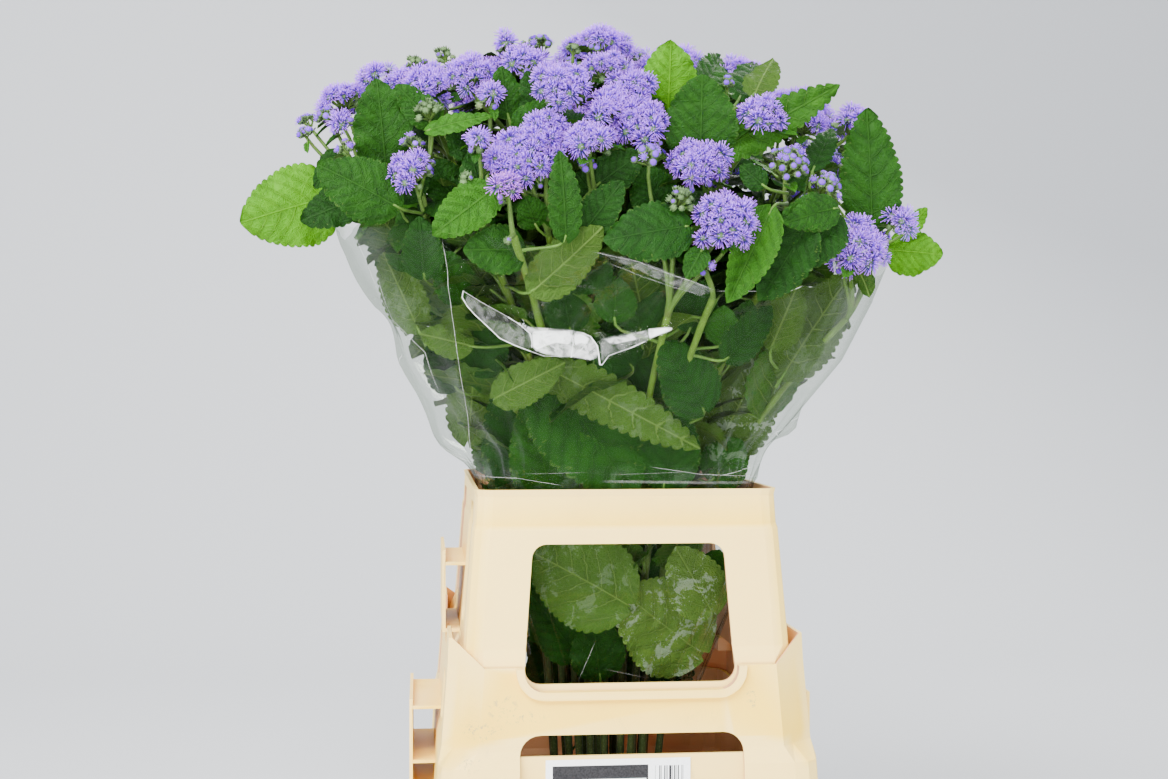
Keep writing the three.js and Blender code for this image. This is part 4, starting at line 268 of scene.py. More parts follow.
    [4, 0, "dark", -22.3, -71.2, 632, -9.1, -85.4, 645.3, 0.4926, -0.5319, 0.6888, -0.604, 0.361, 0.7106, 70.2, 52.7, 0.572, 0.092],
    [24, 0, "dark", -36.2, 90.8, 580.9, -61.3, 103.9, 588, -0.8538, 0.4479, 0.2652, 0.1718, -0.2386, 0.9558, 77, 55.6, 0.222, 0.055],
    [20, 0, "light", -21.5, -4.2, 723.8, -18.3, 7.1, 730.6, 0.2127, 0.7629, 0.6106, -0.009, -0.6233, 0.7819, 85.9, 63.3, 0.316, 0.067],
    [4, 0, "mid", -24.4, -79.7, 658.1, -25.6, -98.2, 661.9, -0.062, -0.9775, 0.2016, 0.1589, 0.1897, 0.9689, 68.5, 46.4, 0.447, 0.178],
    [25, 0, "mid", 61.8, 110.2, 698.5, 74, 94.6, 707.3, 0.5353, -0.6897, 0.4876, -0.5635, 0.1384, 0.8144, 86.1, 68.8, 0.335, 0.174],
    [15, 0, "light", 54.3, -120.4, 567.2, 46.5, -130.8, 577, -0.4062, -0.5413, 0.7362, 0.0629, 0.7872, 0.6134, 62.5, 44.2, 0.667, 0.048],
    [24, 0, "light", -38.2, 95.3, 592.5, -59.8, 73.8, 601.4, -0.6718, -0.6712, 0.3132, 0.141, 0.2993, 0.9437, 66.7, 48.2, 0.55, 0.086],
    [19, 0, "dark", -94.4, -6.7, 595.8, -78.7, -10.4, 600.7, 0.9177, -0.2212, 0.33, -0.3499, -0.0565, 0.9351, 67.5, 48.3, 0.361, 0.108],
    [1, 0, "mid", -142.9, -131.1, 682.7, -117.2, -111.9, 689.4, 0.7845, 0.5841, 0.2081, -0.2327, -0.0337, 0.972, 66.2, 45.2, 0.631, 0.043],
    [22, 0, "mid", 150.9, -30.1, 663.5, 126, -15.4, 676.1, -0.7563, 0.4465, 0.4781, 0.4412, -0.1913, 0.8768, 72.4, 57.3, 0.465, 0.085],
    [22, 0, "dark", 158.3, -16.7, 658.6, 156.3, 5.2, 667.4, -0.083, 0.8941, 0.4402, -0.0312, -0.4438, 0.8956, 74.3, 53.6, 0.394, 0.195],
    [5, 0, "mid", 5.3, -90.1, 585.1, -1.8, -111.4, 594.4, -0.2817, -0.8459, 0.4529, 0.3863, 0.3321, 0.8605, 77.5, 51.3, 0.448, 0.098],
    [23, 0, "mid", -144.4, 92.1, 655.4, -161.9, 82, 662.6, -0.7963, -0.4592, 0.3939, 0.4346, 0.0187, 0.9004, 62.1, 43.1, 0.607, 0.179],
    [19, 0, "mid", -152.1, -54.4, 699, -135.9, -46.5, 711.2, 0.6536, 0.3218, 0.6851, -0.4668, -0.5411, 0.6995, 91.2, 63.3, 0.768, 0.113],
    [24, 0, "light", -33.2, 83.7, 561.2, -17.7, 69.4, 568.1, 0.6869, -0.6328, 0.3575, -0.2682, 0.2365, 0.9339, 71.1, 55.6, 0.741, 0.153],
    [22, 0, "mid", 187.6, 0.6, 687.9, 166.3, 19.4, 703.9, -0.6002, 0.5296, 0.5994, 0.6856, -0.0454, 0.7266, 62.7, 49.9, 0.644, 0.109],
    [12, 0, "mid", -89, -90.5, 503.3, -102.8, -95.8, 516.7, -0.5441, -0.2118, 0.8119, 0.7481, 0.3156, 0.5837, 102.3, 72.5, 0.717, 0.058],
    [17, 0, "light", 106.8, -111.6, 448.6, 112.5, -117.6, 460.1, 0.2306, -0.2413, 0.9427, -0.4498, 0.8326, 0.3231, 78.8, 55.1, 0.454, 0.179],
    [21, 0, "mid", 18.9, -8.2, 519.8, 24.1, -27.3, 529.4, 0.2237, -0.8206, 0.5259, -0.5714, 0.3267, 0.7529, 79.3, 56.8, 0.536, 0.157],
    [25, 0, "mid", 21.7, 61.7, 452.3, 23.4, 73.3, 468, 0.054, 0.3545, 0.9335, -0.3912, -0.8526, 0.3464, 98, 71.4, 0.535, 0.113],
    [19, 0, "mid", -53.6, -2.7, 437.4, -72.9, 1, 451, -0.7029, 0.1349, 0.6984, 0.6967, -0.0668, 0.7142, 86, 66.9, 0.427, 0.064],
    [26, 0, "dark", 100.5, 62.4, 519.2, 115.6, 75, 529.4, 0.6368, 0.5339, 0.5563, -0.2611, -0.5295, 0.8071, 70.7, 50.4, 0.794, 0.194],
    [15, 0, "light", 37.8, -81.7, 470.3, 52.7, -82.4, 479, 0.7864, -0.036, 0.6167, -0.6171, -0.0914, 0.7815, 87.9, 61.3, 0.572, 0.177],
    [25, 0, "dark", 23.3, 66.1, 471.5, 28.9, 74.6, 484.4, 0.2145, 0.3276, 0.9202, -0.5031, -0.7705, 0.3915, 88.9, 66.8, 0.399, 0.065],
    [19, 0, "dark", -52.7, -2.6, 431.7, -64, -0.5, 437, -0.8472, 0.1638, 0.5053, 0.425, -0.3615, 0.8298, 69.7, 46.9, 0.614, 0.085],
    [8, 0, "light", -39.3, -125.4, 495.2, -45.3, -141.1, 510.8, -0.2013, -0.5337, 0.8214, 0.5279, 0.6472, 0.5499, 102.1, 67.8, 0.415, 0.168],
    [17, 0, "dark", 88.5, -93.8, 410.6, 103.1, -89.5, 429.5, 0.3844, 0.1129, 0.9162, -0.9071, -0.1382, 0.3976, 81.3, 59.6, 0.738, 0.193],
    [26, 0, "mid", 109.7, 67.6, 539.3, 120.3, 72.7, 545.5, 0.7444, 0.3581, 0.5636, -0.5512, -0.1468, 0.8214, 100.9, 75.2, 0.376, 0.189],
    [26, 0, "mid", 82, 51.8, 471, 84.3, 69.1, 479, 0.1133, 0.8579, 0.5012, -0.048, -0.4991, 0.8652, 68.6, 50.1, 0.753, 0.18],
    [22, 0, "light", 69.5, -12, 469.6, 84.6, -15.3, 481.3, 0.6631, -0.1444, 0.7345, -0.7428, -0.0051, 0.6695, 93.5, 74.4, 0.777, 0.186],
    [13, 0, "dark", 19.3, -126.4, 507.4, 16.2, -141.2, 522.7, -0.1084, -0.5079, 0.8546, 0.0419, 0.8566, 0.5143, 81, 62.3, 0.606, 0.183],
    [25, 0, "mid", 19.7, 56.6, 426.8, 21.7, 78, 436.7, 0.0774, 0.86, 0.5045, -0.1996, -0.4824, 0.8529, 72.7, 48.2, 0.543, 0.042],
    [4, 0, "mid", -17.4, -52.3, 559.6, -20.9, -63, 569.3, -0.1883, -0.5819, 0.7912, -0.0661, 0.8113, 0.5809, 94.1, 63.9, 0.537, 0.091],
    [23, 0, "dark", -64.6, 47.7, 479.5, -81.8, 51.1, 487.4, -0.8533, 0.1679, 0.4936, 0.5084, 0.0584, 0.8591, 79.8, 60.7, 0.425, 0.165],
    [22, 0, "dark", 94, -16.3, 545.2, 98.7, -33.2, 557, 0.1941, -0.7042, 0.6829, -0.2899, 0.6239, 0.7257, 98.8, 74.8, 0.41, 0.144],
    [1, 0, "dark", -79.4, -63.5, 536.1, -84.5, -73.9, 548.7, -0.2154, -0.433, 0.8753, 0.2496, 0.8421, 0.478, 94.8, 74.9, 0.64, 0.051],
    [24, 0, "mid", -19.7, 51.8, 435.6, -30, 65.2, 443, -0.5346, 0.695, 0.4808, 0.4149, -0.2797, 0.8658, 101, 72.3, 0.727, 0.093],
    [26, 0, "mid", 96.6, 60.2, 510.2, 96.7, 75.9, 519.6, 0.0028, 0.7807, 0.6249, -0.122, -0.6199, 0.7751, 66.5, 47.2, 0.284, 0.195],
    [2, 0, "dark", -39.6, -57.6, 469.3, -45, -69.6, 480, -0.2659, -0.5878, 0.764, 0.3587, 0.6753, 0.6444, 88.3, 63.4, 0.712, 0.126],
    [20, 0, "mid", -11, -7.1, 555.5, -20, -2.2, 564, -0.5573, 0.3045, 0.7724, 0.7873, -0.1016, 0.6081, 68.5, 49.7, 0.303, 0.142],
    [21, 0, "dark", 19.5, -8.4, 528, 30, -11.8, 539.6, 0.4772, -0.1537, 0.8652, -0.8535, 0.1535, 0.498, 97.4, 73.4, 0.733, 0.08],
    [6, 0, "light", -9.4, -126, 538.9, -13.2, -137.5, 551.7, -0.1582, -0.476, 0.8651, 0.1962, 0.8435, 0.5, 67.2, 48.8, 0.3, 0.138],
    [6, 0, "mid", -9.2, -111.3, 511.4, -26, -116.8, 523.5, -0.6879, -0.225, 0.6901, 0.6867, 0.1061, 0.7191, 80.7, 62.3, 0.41, 0.068],
    [12, 0, "mid", -100.9, -103.7, 538.6, -111, -110.1, 547.8, -0.5639, -0.3567, 0.7448, 0.7212, 0.2266, 0.6546, 74.4, 49.6, 0.651, 0.185],
    [24, 0, "dark", -23.6, 61.1, 482.1, -32.6, 64.7, 494.2, -0.368, 0.1454, 0.9184, 0.7913, -0.4697, 0.3914, 75.5, 58.2, 0.296, 0.141],
    [7, 0, "mid", -11.3, -93.9, 412.2, -11, -102.4, 421, 0.0173, -0.5106, 0.8596, -0.0762, 0.8566, 0.5104, 75.6, 53.9, 0.774, 0.17],
    [23, 0, "mid", -74.4, 54.5, 515.2, -79.9, 64.4, 526.3, -0.264, 0.4776, 0.838, 0.3872, -0.7432, 0.5456, 71.2, 48.4, 0.243, 0.129],
    [13, 0, "mid", 14.8, -92.6, 437.7, 14.7, -103.9, 452.2, -0.0045, -0.3836, 0.9235, -0.2842, 0.8859, 0.3666, 95.9, 72.8, 0.548, 0.077],
    [22, 0, "dark", 79.3, -13.7, 503.5, 84.8, -3.8, 515, 0.2517, 0.4555, 0.8539, -0.3777, -0.7661, 0.52, 98.5, 72.8, 0.699, 0.16],
    [25, 0, "mid", 18.1, 52.2, 401.3, 29.2, 60, 407.7, 0.7017, 0.4941, 0.5133, -0.3032, -0.445, 0.8427, 75.4, 56.6, 0.792, 0.159],
    [26, 0, "light", 48.8, 32.9, 321.3, 56, 51.2, 331.4, 0.3071, 0.7764, 0.5503, 0.0992, -0.6012, 0.7929, 77.9, 55.5, 0.736, 0.095],
    [24, 0, "dark", -13.4, 37.1, 318.1, -17.3, 47.2, 325.4, -0.26, 0.683, 0.6826, 0.0066, -0.7056, 0.7085, 90.9, 64, 0.517, 0.138],
    [15, 0, "mid", 29.6, -62.3, 390.4, 43.5, -60.9, 399.6, 0.7404, 0.0741, 0.668, -0.6616, -0.0947, 0.7438, 72, 51.4, 0.443, 0.098],
    [24, 0, "mid", -12.1, 34, 276.1, -21.3, 41.4, 281.7, -0.6687, 0.5392, 0.512, 0.2816, -0.4537, 0.8455, 68.4, 45.7, 0.289, 0.138],
    [24, 0, "light", -12, 33.8, 271.8, -12.9, 53.8, 285.1, -0.0345, 0.7365, 0.6755, -0.3437, -0.6434, 0.684, 81.6, 62.3, 0.48, 0.112],
    [25, 0, "mid", 14.3, 42.3, 323.2, 18.5, 55.8, 335, 0.1853, 0.5988, 0.7792, -0.3621, -0.6955, 0.6206, 103.8, 82.5, 0.683, 0.119],
    [24, 0, "dark", -15.8, 42.7, 373.1, -17.7, 58, 386.9, -0.0737, 0.5888, 0.8049, 0.0029, -0.807, 0.5906, 74.3, 49.4, 0.487, 0.185],
    [23, 0, "mid", -37.4, 29, 306.1, -37.3, 47.1, 314.8, 0.0027, 0.8548, 0.5189, 0.0767, -0.5175, 0.8522, 97.5, 71.9, 0.787, 0.093],
    [10, 0, "dark", -45.4, -58.3, 313.1, -54.6, -65, 326.4, -0.3503, -0.2559, 0.901, 0.5597, 0.7142, 0.4204, 71.3, 52, 0.731, 0.098],
    [5, 0, "mid", 10, -33.3, 351.6, 11.8, -46.8, 368.9, 0.0513, -0.3862, 0.921, -0.4955, 0.7908, 0.3593, 66.2, 46.4, 0.283, 0.164],
    [19, 0, "dark", -36.7, -1.1, 277.2, -50.4, 10.8, 292.6, -0.4678, 0.4088, 0.7836, 0.6046, -0.4987, 0.6211, 85.4, 65.9, 0.409, 0.088],
    [22, 0, "mid", 41.4, -7.2, 302, 49.1, -10.6, 312.5, 0.3593, -0.1612, 0.9192, -0.8989, 0.2048, 0.3873, 70, 46.4, 0.372, 0.091],
    [19, 0, "mid", -41.3, -1.5, 338.2, -55.3, 10.1, 351.3, -0.5366, 0.4492, 0.7144, 0.6708, -0.2865, 0.684, 66.1, 44.1, 0.294, 0.189],
    [24, 0, "dark", -14.2, 38.9, 338.2, -15.3, 54.1, 354.5, -0.0369, 0.4867, 0.8728, -0.3392, -0.8276, 0.4471, 66.3, 43.9, 0.77, 0.109],
    [0, 0, "mid", -59.9, -22.4, 333.4, -66.7, -27.6, 344.5, -0.3022, -0.23, 0.9251, 0.6664, 0.6429, 0.3775, 70, 53.2, 0.662, 0.121],
    [23, 0, "dark", -40.5, 31.2, 338.4, -44.7, 45.4, 350.2, -0.1824, 0.6287, 0.756, 0.0965, -0.7537, 0.6501, 77.7, 52.1, 0.686, 0.115],
    [12, 0, "dark", -50.4, -47.7, 278.3, -57.9, -55.3, 290.1, -0.3305, -0.3361, 0.8819, 0.6958, 0.5445, 0.4683, 73.1, 54.2, 0.388, 0.049],
    [26, 0, "dark", 52.1, 34.8, 344.4, 58.5, 51.9, 360.1, 0.215, 0.5732, 0.7907, -0.6341, -0.5339, 0.5594, 96.1, 64.4, 0.531, 0.186],
    [25, 0, "mid", 12.8, 38.3, 274.7, 14.9, 47.7, 282.7, 0.1421, 0.6134, 0.7769, -0.4443, -0.6618, 0.6038, 87.1, 58.3, 0.43, 0.049],
    [9, 0, "dark", -29.3, -87.1, 344.9, -31.1, -101.2, 354.3, -0.1009, -0.5023, 0.8588, 0.1695, 0.8419, 0.5124, 68.1, 49.9, 0.6, 0.084],
    [25, 0, "mid", 15.9, 46.4, 360.3, 21.9, 64.7, 374.3, 0.2173, 0.6612, 0.718, -0.0117, -0.7338, 0.6793, 82.6, 63, 0.659, 0.188],
    [26, 0, "mid", 55.3, 36.6, 363.7, 72.2, 40.6, 382, 0.4827, 0.1143, 0.8683, -0.8688, -0.0624, 0.4912, 70.6, 54.6, 0.278, 0.197],
    [11, 1, "dark", -48, -95.9, 407, -70.2, -83.8, 386.5, -0.2221, -0.2932, 0.9299, 0.1784, -0.9498, -0.2569, 97.3, 52.5, 0.25, 0.1],
    [9, 1, "mid", -40.6, -114.3, 423.1, -54.1, -130.6, 394.3, -0.2198, -0.3563, 0.9081, 0.0147, -0.932, -0.3621, 81.6, 52.6, 0.3, 0.16],
    [7, 1, "deep", -15.8, -125.2, 495.4, -54.6, -146.1, 488.1, 0.5601, -0.0622, -0.8261, 0.042, -0.9938, 0.1033, 108.8, 81.1, 0.2, 0.08],
    [14, 1, "mid", 13.9, -113.9, 420, -14.4, -143.6, 417.5, -0.7633, -0.2747, 0.5848, 0.3456, -0.9383, 0.0102, 47.6, 26.6, 0.3, 0.2],
    [9, 1, "under", -54.3, -147.3, 484.9, -62.4, -149.9, 495.5, 0.8404, -0.3029, -0.4495, 0.2751, 0.9529, -0.1278, 134.2, 35.7, -0.5, 0.12, 0.15],
    [18, 1, "under", 31.9, -125.5, 429, 73.8, -103.7, 426, 0.4621, -0.1863, 0.867, 0.3499, 0.9367, 0.0148, 106.4, 61.4, 0.2, 0.14, 1],
    [15, 1, "under", 110.9, -165.6, 480.1, 118.7, -160.9, 491.1, 0.5484, 0.1254, 0.8268, 0.0526, 0.9816, -0.1838, 93.5, 46.6, 0.2, 0.2, 0.2],
    [1, 1, "under", -56.6, -46, 444.5, -116.1, -77.2, 438.3, 0.0956, -0.3901, 0.9158, 0.195, 0.9095, 0.3671, 89.8, 40.1, 0.25, 0.14],
    [3, 1, "under", -77.2, -137.3, 465.2, -98, -163.4, 471.8, 0.8247, -0.3582, 0.4378, 0.3942, 0.919, 0.0093, 57.8, 32.3, -0.35, 0.2],
    [16, 1, "mid", 52.4, -94.4, 415.5, 71.1, -120.5, 408.2, 0.5595, -0.2068, 0.8026, -0.3044, -0.952, -0.033, 38.6, 39.2, 0.2, 0.1, 0.4],
    [18, 1, "dark", 26.1, -103.1, 380.1, 29.9, -142, 405.1, 0.1459, -0.1782, 0.9731, -0.1207, -0.9795, -0.1613, 63.1, 46.8, 0.2, 0.1],
    [13, 1, "dark", 15.5, -98.1, 451.1, 19.3, -130.9, 476.1, 0.2172, -0.3639, 0.9058, -0.3856, -0.8845, -0.2628, 50.3, 50.1, 0.3, 0.1],
    [18, 1, "dark", 34.3, -134.7, 445.5, 57, -162.3, 462.7, -0.4822, -0.3863, 0.7863, 0.2608, -0.9201, -0.2921, 63.1, 45.9, 0.3, 0.14],
    [6, 1, "dark", -2.7, -120.9, 482.5, 4.3, -151.5, 495.6, -0.6622, -0.2683, 0.6997, 0.2764, -0.9553, -0.1048, 42, 44.8, 0.3, 0.12],
    [8, 1, "mid", -37.8, -121, 486.8, -64.9, -154.7, 511.8, 0.42, -0.4882, 0.765, -0.3096, -0.8695, -0.3849, 39.5, 38.4, 0.3, 0.16],
    [10, 1, "dark", -94, -113.7, 495.8, -113.3, -137.8, 491.1, 0.3839, -0.4126, 0.8261, -0.3839, -0.885, -0.2636, 43.5, 37.3, 0.3, 0.12],
    [3, 1, "light", -69.5, -31.5, 403, -100.6, -21, 411.8, -0.0312, -0.638, 0.7694, 0.1404, -0.765, -0.6286, 68, 21.2, 0.2, 0.12, 0.2],
    [17, 1, "under", 128.8, -133.1, 485.1, 104.7, -179.6, 510.1, 0.3901, -0.1376, 0.9104, 0.3333, 0.9428, -0.0003, 51.4, 32.3, 0.2, 0.16],
    [15, 1, "mid", 65.6, -137.8, 496.9, 80.2, -167.1, 505.9, 0.165, -0.5313, 0.831, -0.2689, -0.8348, -0.4803, 42.4, 26.6, 0.3, 0.14],
    [18, 1, "mid", 76.9, -49, 416, 101.9, -26.9, 422.8, 0.221, -0.1191, 0.968, -0.3656, -0.9303, -0.031, 51.7, 25, 0.2, 0.12, 0.3],
    [11, 1, "under", -92.3, -177, 553.7, -73.4, -212.1, 548.3, 0.7583, 0.0084, 0.6518, 0.0574, 0.9952, -0.0795, 66.2, 36.6, 0.35, 0.22],
    [11, 1, "mid", -95.3, -182.4, 560.3, -82, -215.3, 576.2, -0.9184, -0.3956, -0.0034, 0.3911, -0.9093, 0.142, 43.1, 36.4, 0.35, 0.15],
    [11, 1, "light", -110.3, -215, 622.4, -103.6, -225.2, 617, -0.7606, -0.2475, -0.6002, 0.1685, -0.9681, 0.1856, 52.9, 33.3, 0.35, 0.15],
    [7, 1, "dark", -22.5, -171.7, 574.4, -20.3, -195.8, 569.8, -0.8056, -0.2339, -0.5444, 0.1225, -0.9647, 0.2332, 35.9, 31.6, 0.3, 0.12],
    [14, 1, "mid", 22.2, -176.9, 511.8, -14, -191.9, 528.2, 0.0597, -0.3391, 0.9389, -0.0547, -0.9402, -0.3361, 32.2, 31.7, 0.3, 0.14],
    [13, 1, "dark", -19.8, -153.5, 511.7, -44.4, -174.8, 521.5, -0.1589, -0.2616, 0.952, 0.0844, -0.9643, -0.2509, 46, 35, 0.3, 0.12],
    [13, 1, "dark", 18.5, -120.5, 497, 8.4, -166, 522, -0.1666, -0.2182, 0.9616, -0.1736, -0.9535, -0.2465, 46.3, 44.3, 0.3, 0.12],
    [14, 1, "dark", 20.5, -164.3, 496.9, 44.5, -173.6, 521.9, 0.123, -0.5479, 0.8275, -0.2008, -0.8303, -0.5199, 40.1, 36.6, 0.3, 0.1],
    [3, 1, "mid", -97.1, -141.9, 536.9, -122.9, -162.9, 543.7, -0.353, -0.4415, 0.8249, 0.3139, -0.8864, -0.3401, 41.1, 32.1, 0.3, 0.14],
    [2, 1, "mid", -130.8, -130.1, 561.5, -158, -149.4, 567.9, -0.285, -0.3866, 0.8771, 0.2702, -0.9103, -0.3135, 36.2, 33.9, 0.3, 0.12],
    [11, 1, "under", -75.8, -146.7, 511.8, -116.7, -152.5, 510.2, -0.9461, 0.1923, 0.2606, 0.1787, 0.981, -0.0751, 38.4, 26.6, 0.3, 0.2],
    [11, 1, "under", -149.3, -147.1, 511.1, -155.1, -143.7, 523.7, -0.429, 0.0358, 0.9026, 0.0752, 0.9972, -0.0038, 64.2, 32.6, 0.3, 0.16, 0.2],
    [3, 1, "dark", -94.7, -91.5, 471.8, -126, -102.3, 479.2, -0.4279, -0.3316, 0.8408, 0.3123, -0.9272, -0.2068, 42.7, 35.3, 0.3, 0.14],
    [14, 1, "dark", 26.5, -218.9, 589.7, 32.6, -236.8, 592.1, -0.9606, -0.237, -0.1453, 0.2097, -0.9608, 0.1812, 61.5, 43.1, 0.35, 0.12],
    [8, 1, "dark", -59.1, -183.8, 581.6, -37.8, -211.6, 589.7, 0.5215, -0.4165, 0.7447, -0.3041, -0.9062, -0.2939, 45.8, 28.2, 0.3, 0.14],
    [9, 1, "mid", -84.8, -220.7, 574.8, -52.1, -228.3, 583.7, -0.0528, -0.3522, 0.9344, 0.0406, -0.9357, -0.3504, 61.2, 23.6, 0.4, 0.2],
    [7, 1, "dark", -23.4, -178.1, 583.1, -20.8, -187.2, 608.1, -0.5755, -0.3721, 0.7283, 0.2817, -0.9262, -0.2506, 34.7, 33.2, 0.3, 0.14],
    [14, 1, "dark", 21.3, -190.7, 577.1, 19.6, -191.2, 611, -0.4686, -0.4082, 0.7834, 0.2253, -0.9127, -0.3408, 31.8, 36.1, 0.3, 0.14],
    [7, 1, "mid", -44.3, -182.1, 581.3, -71, -198.3, 594.9, -0.342, -0.5134, 0.787, 0.288, -0.8545, -0.4323, 24.1, 24.2, 0.3, 0.14],
    [8, 1, "dark", -101.2, -171.9, 605.1, -130.2, -162.2, 620, -0.4773, -0.4126, 0.7759, 0.3294, -0.9025, -0.2773, 31, 32.1, 0.3, 0.14],
    [10, 1, "mid", -150.6, -178.1, 604.9, -170.4, -202.4, 607.6, -0.8388, -0.2712, 0.4721, 0.2646, -0.9609, -0.0819, 62.4, 46.4, 0.4, 0.1],
    [10, 1, "mid", -154.8, -177.6, 634.9, -178.3, -161.4, 641.4, -0.0869, -0.2921, 0.9524, 0.1618, -0.9475, -0.2759, 63.7, 43.7, 0.3, 0.12],
    [12, 1, "dark", -188.7, -147.8, 621, -200.3, -155.2, 617, -0.8841, -0.3322, -0.3285, 0.2798, -0.9396, 0.197, 43.8, 30.7, 0.4, 0.12],
    [16, 1, "light", 111.2, -199.4, 613, 91.7, -232.6, 603, -0.3997, 0.1516, -0.904, -0.2397, -0.9692, -0.0566, 72, 43.5, -0.45, 0.72],
    [16, 1, "dark", 107.5, -182.5, 569.1, 119.3, -225.3, 594.1, -0.4843, 0.1345, -0.8645, -0.359, -0.9316, 0.0562, 65.2, 43.8, -0.5, 0.4],
    [16, 1, "mid", 123.5, -195.9, 599.9, 140.5, -227.4, 606.9, -0.9211, -0.3269, -0.2113, 0.2796, -0.9334, 0.225, 43.9, 28.3, 0.4, 0.14],
    [16, 1, "dark", 108.4, -183.9, 570.8, 143, -217.6, 602.3, -0.6234, -0.3314, -0.7083, 0.063, -0.9241, 0.3769, 49.7, 37.1, 0.4, 0.14],
    [16, 1, "light", 48.8, -187.2, 644.1, 61.1, -189.3, 651.1, 0.8822, 0.0618, 0.4668, -0.0065, -0.9897, 0.1434, 101.8, 31.9, -0.5, 0.3],
    [17, 1, "mid", 188, -167.1, 578, 183.6, -167.4, 600.6, -0.0748, -0.2051, 0.9759, -0.2597, -0.9408, -0.2177, 87.5, 46.3, 0.2, 0.16],
    [15, 1, "mid", 71.4, -158.9, 646.6, 49.8, -186.2, 648.4, -0.0071, -0.3158, 0.9488, -0.1808, -0.9328, -0.3118, 59, 53.8, 0.3, 0.1],
    [15, 1, "bright", 72.4, -160.4, 656.1, 31.7, -150.2, 686.4, 0.0031, -0.3353, 0.9421, -0.1639, -0.9295, -0.3303, 53.1, 44.9, 0.3, 0.12],
    [0, 1, "bright", -204.7, -57.8, 641.9, -221.6, -54.6, 631.7, -0.9172, -0.2883, -0.2752, 0.2557, -0.9553, 0.1486, 76.8, 66.2, 0.3, 0.08],
    [8, 1, "mid", -74.7, -187.6, 632.4, -84.7, -188.9, 664.9, 0.7566, -0.4509, 0.4735, -0.4004, -0.892, -0.2097, 34.8, 24.4, 0.3, 0.14],
    [3, 1, "mid", -53.8, -145.1, 637.5, -89.6, -171.3, 677.8, -0.1534, -0.2685, 0.951, 0.1007, -0.9616, -0.2552, 36.5, 26.2, 0.3, 0.14],
    [5, 1, "dark", -40.5, -153.7, 665.2, -64.9, -173.8, 677.8, -0.2896, -0.2623, 0.9205, 0.1209, -0.964, -0.2367, 34.6, 26.2, 0.3, 0.14],
    [4, 1, "dark", -14.9, -141.5, 665.9, -10.5, -174.2, 674.3, -0.7525, -0.2561, 0.6067, 0.2213, -0.9661, -0.1333, 27.1, 22, 0.3, 0.14],
    [2, 1, "mid", -119.2, -146.9, 662.3, -143.4, -168.9, 671.5, -0.6695, -0.2307, 0.7061, 0.2376, -0.9671, -0.0907, 39.5, 24.7, 0.3, 0.14],
    [3, 1, "dark", -87.5, -160.1, 636.9, -114.6, -177.8, 647.3, -0.5141, -0.2798, 0.8108, 0.2365, -0.9549, -0.1795, 32.2, 28.9, 0.3, 0.14],
    [8, 1, "dark", -59.7, -185.8, 584, -26.8, -202.7, 625, 0.7577, -0.3278, 0.5644, -0.3134, -0.9412, -0.1258, 38.8, 30, 0.3, 0.14],
    [3, 1, "dark", -85.5, -164.2, 603.1, -107.8, -188.6, 611.3, -0.2368, -0.2728, 0.9325, 0.1553, -0.958, -0.2409, 39.7, 28.7, 0.3, 0.14],
    [10, 1, "dark", -137.2, -162.9, 574.9, -168, -172.5, 615.4, 0.3687, -0.2866, 0.8843, -0.0461, -0.9558, -0.2905, 39, 31.8, 0.3, 0.14],
    [7, 1, "under", -8.2, -72.2, 311, 3.3, -123.3, 313.8, -0.8572, 0.0545, 0.512, 0.0087, 0.9958, -0.0913, 84.9, 73.2, 0.2, 0.1, 0.3],
    [17, 1, "pale", 52.4, -58.5, 283, 65.3, -96.8, 271.7, -0.7957, -0.1337, 0.5907, -0.133, 0.9901, 0.045, 87.7, 76.1, 0.25, 0.1, 1],
    [17, 1, "pale", 59.3, -65.2, 318, 70.9, -117, 305.8, -0.4915, -0.0357, 0.8701, -0.0557, 0.9984, 0.0095, 60.4, 47.8, 0.2, 0.12, 1],
    [9, 1, "dark", -23.2, -72.5, 276, -32.4, -94.1, 269.7, -0.5264, -0.2078, 0.8245, 0.2992, -0.9529, -0.0491, 60.3, 40.5, 0.2, 0.12],
    [7, 1, "dark", -6.8, -62.8, 229.6, -14, -98.9, 254.6, -0.1284, -0.2481, 0.9602, 0.0829, -0.9675, -0.2389, 52.2, 43.5, 0.2, 0.1],
    [8, 1, "dark", -17.8, -61.7, 284.3, 24.9, -67.1, 309.3, -0.0847, -0.2514, 0.9642, 0.0159, -0.9679, -0.251, 49.7, 44.7, 0.2, 0.1],
    [9, 1, "mid", -21.9, -69.5, 256.9, -53.9, -89.4, 281.9, -0.0978, -0.2129, 0.9722, 0.0874, -0.9749, -0.2047, 64.4, 39, 0.2, 0.1],
    [14, 1, "dark", 6.4, -57.4, 210.6, 43.3, -60.4, 235.6, 0.2001, -0.3256, 0.9241, -0.2256, -0.9331, -0.28, 65.1, 36.6, 0.2, 0.1, 0.4],
    [23, 2, "dark", -33.2, 26.1, 249.2, -63.2, 58.5, 274.2, 0.0613, -0.5323, 0.8444, -0.2115, -0.8337, -0.5102, 52, 45, 0.2, 0.1],
    [24, 2, "dark", -11.5, 32.6, 252.6, -37.4, 38.1, 277.6, 0.1356, -0.1014, 0.9856, -0.1413, -0.9866, -0.082, 43.6, 44.8, 0.2, 0.1],
    [25, 2, "dark", 12, 36.4, 245.5, -12.3, 54.2, 270.5, 0.0761, -0.4939, 0.8662, -0.1452, -0.8649, -0.4805, 50.6, 45.1, 0.2, 0.1],
    [26, 2, "dark", 41, 28.4, 248.5, 15.8, 51.8, 273.5, -0.3023, -0.4471, 0.8418, 0.0728, -0.8914, -0.4473, 52.2, 45.1, 0.2, 0.1],
    [23, 2, "dark", 10.9, 36.9, 260.6, 42.3, 44.7, 271.1, -0.0714, -0.4911, 0.8682, 0.0046, -0.8705, -0.4921, 50.4, 45, 0.2, 0.1],
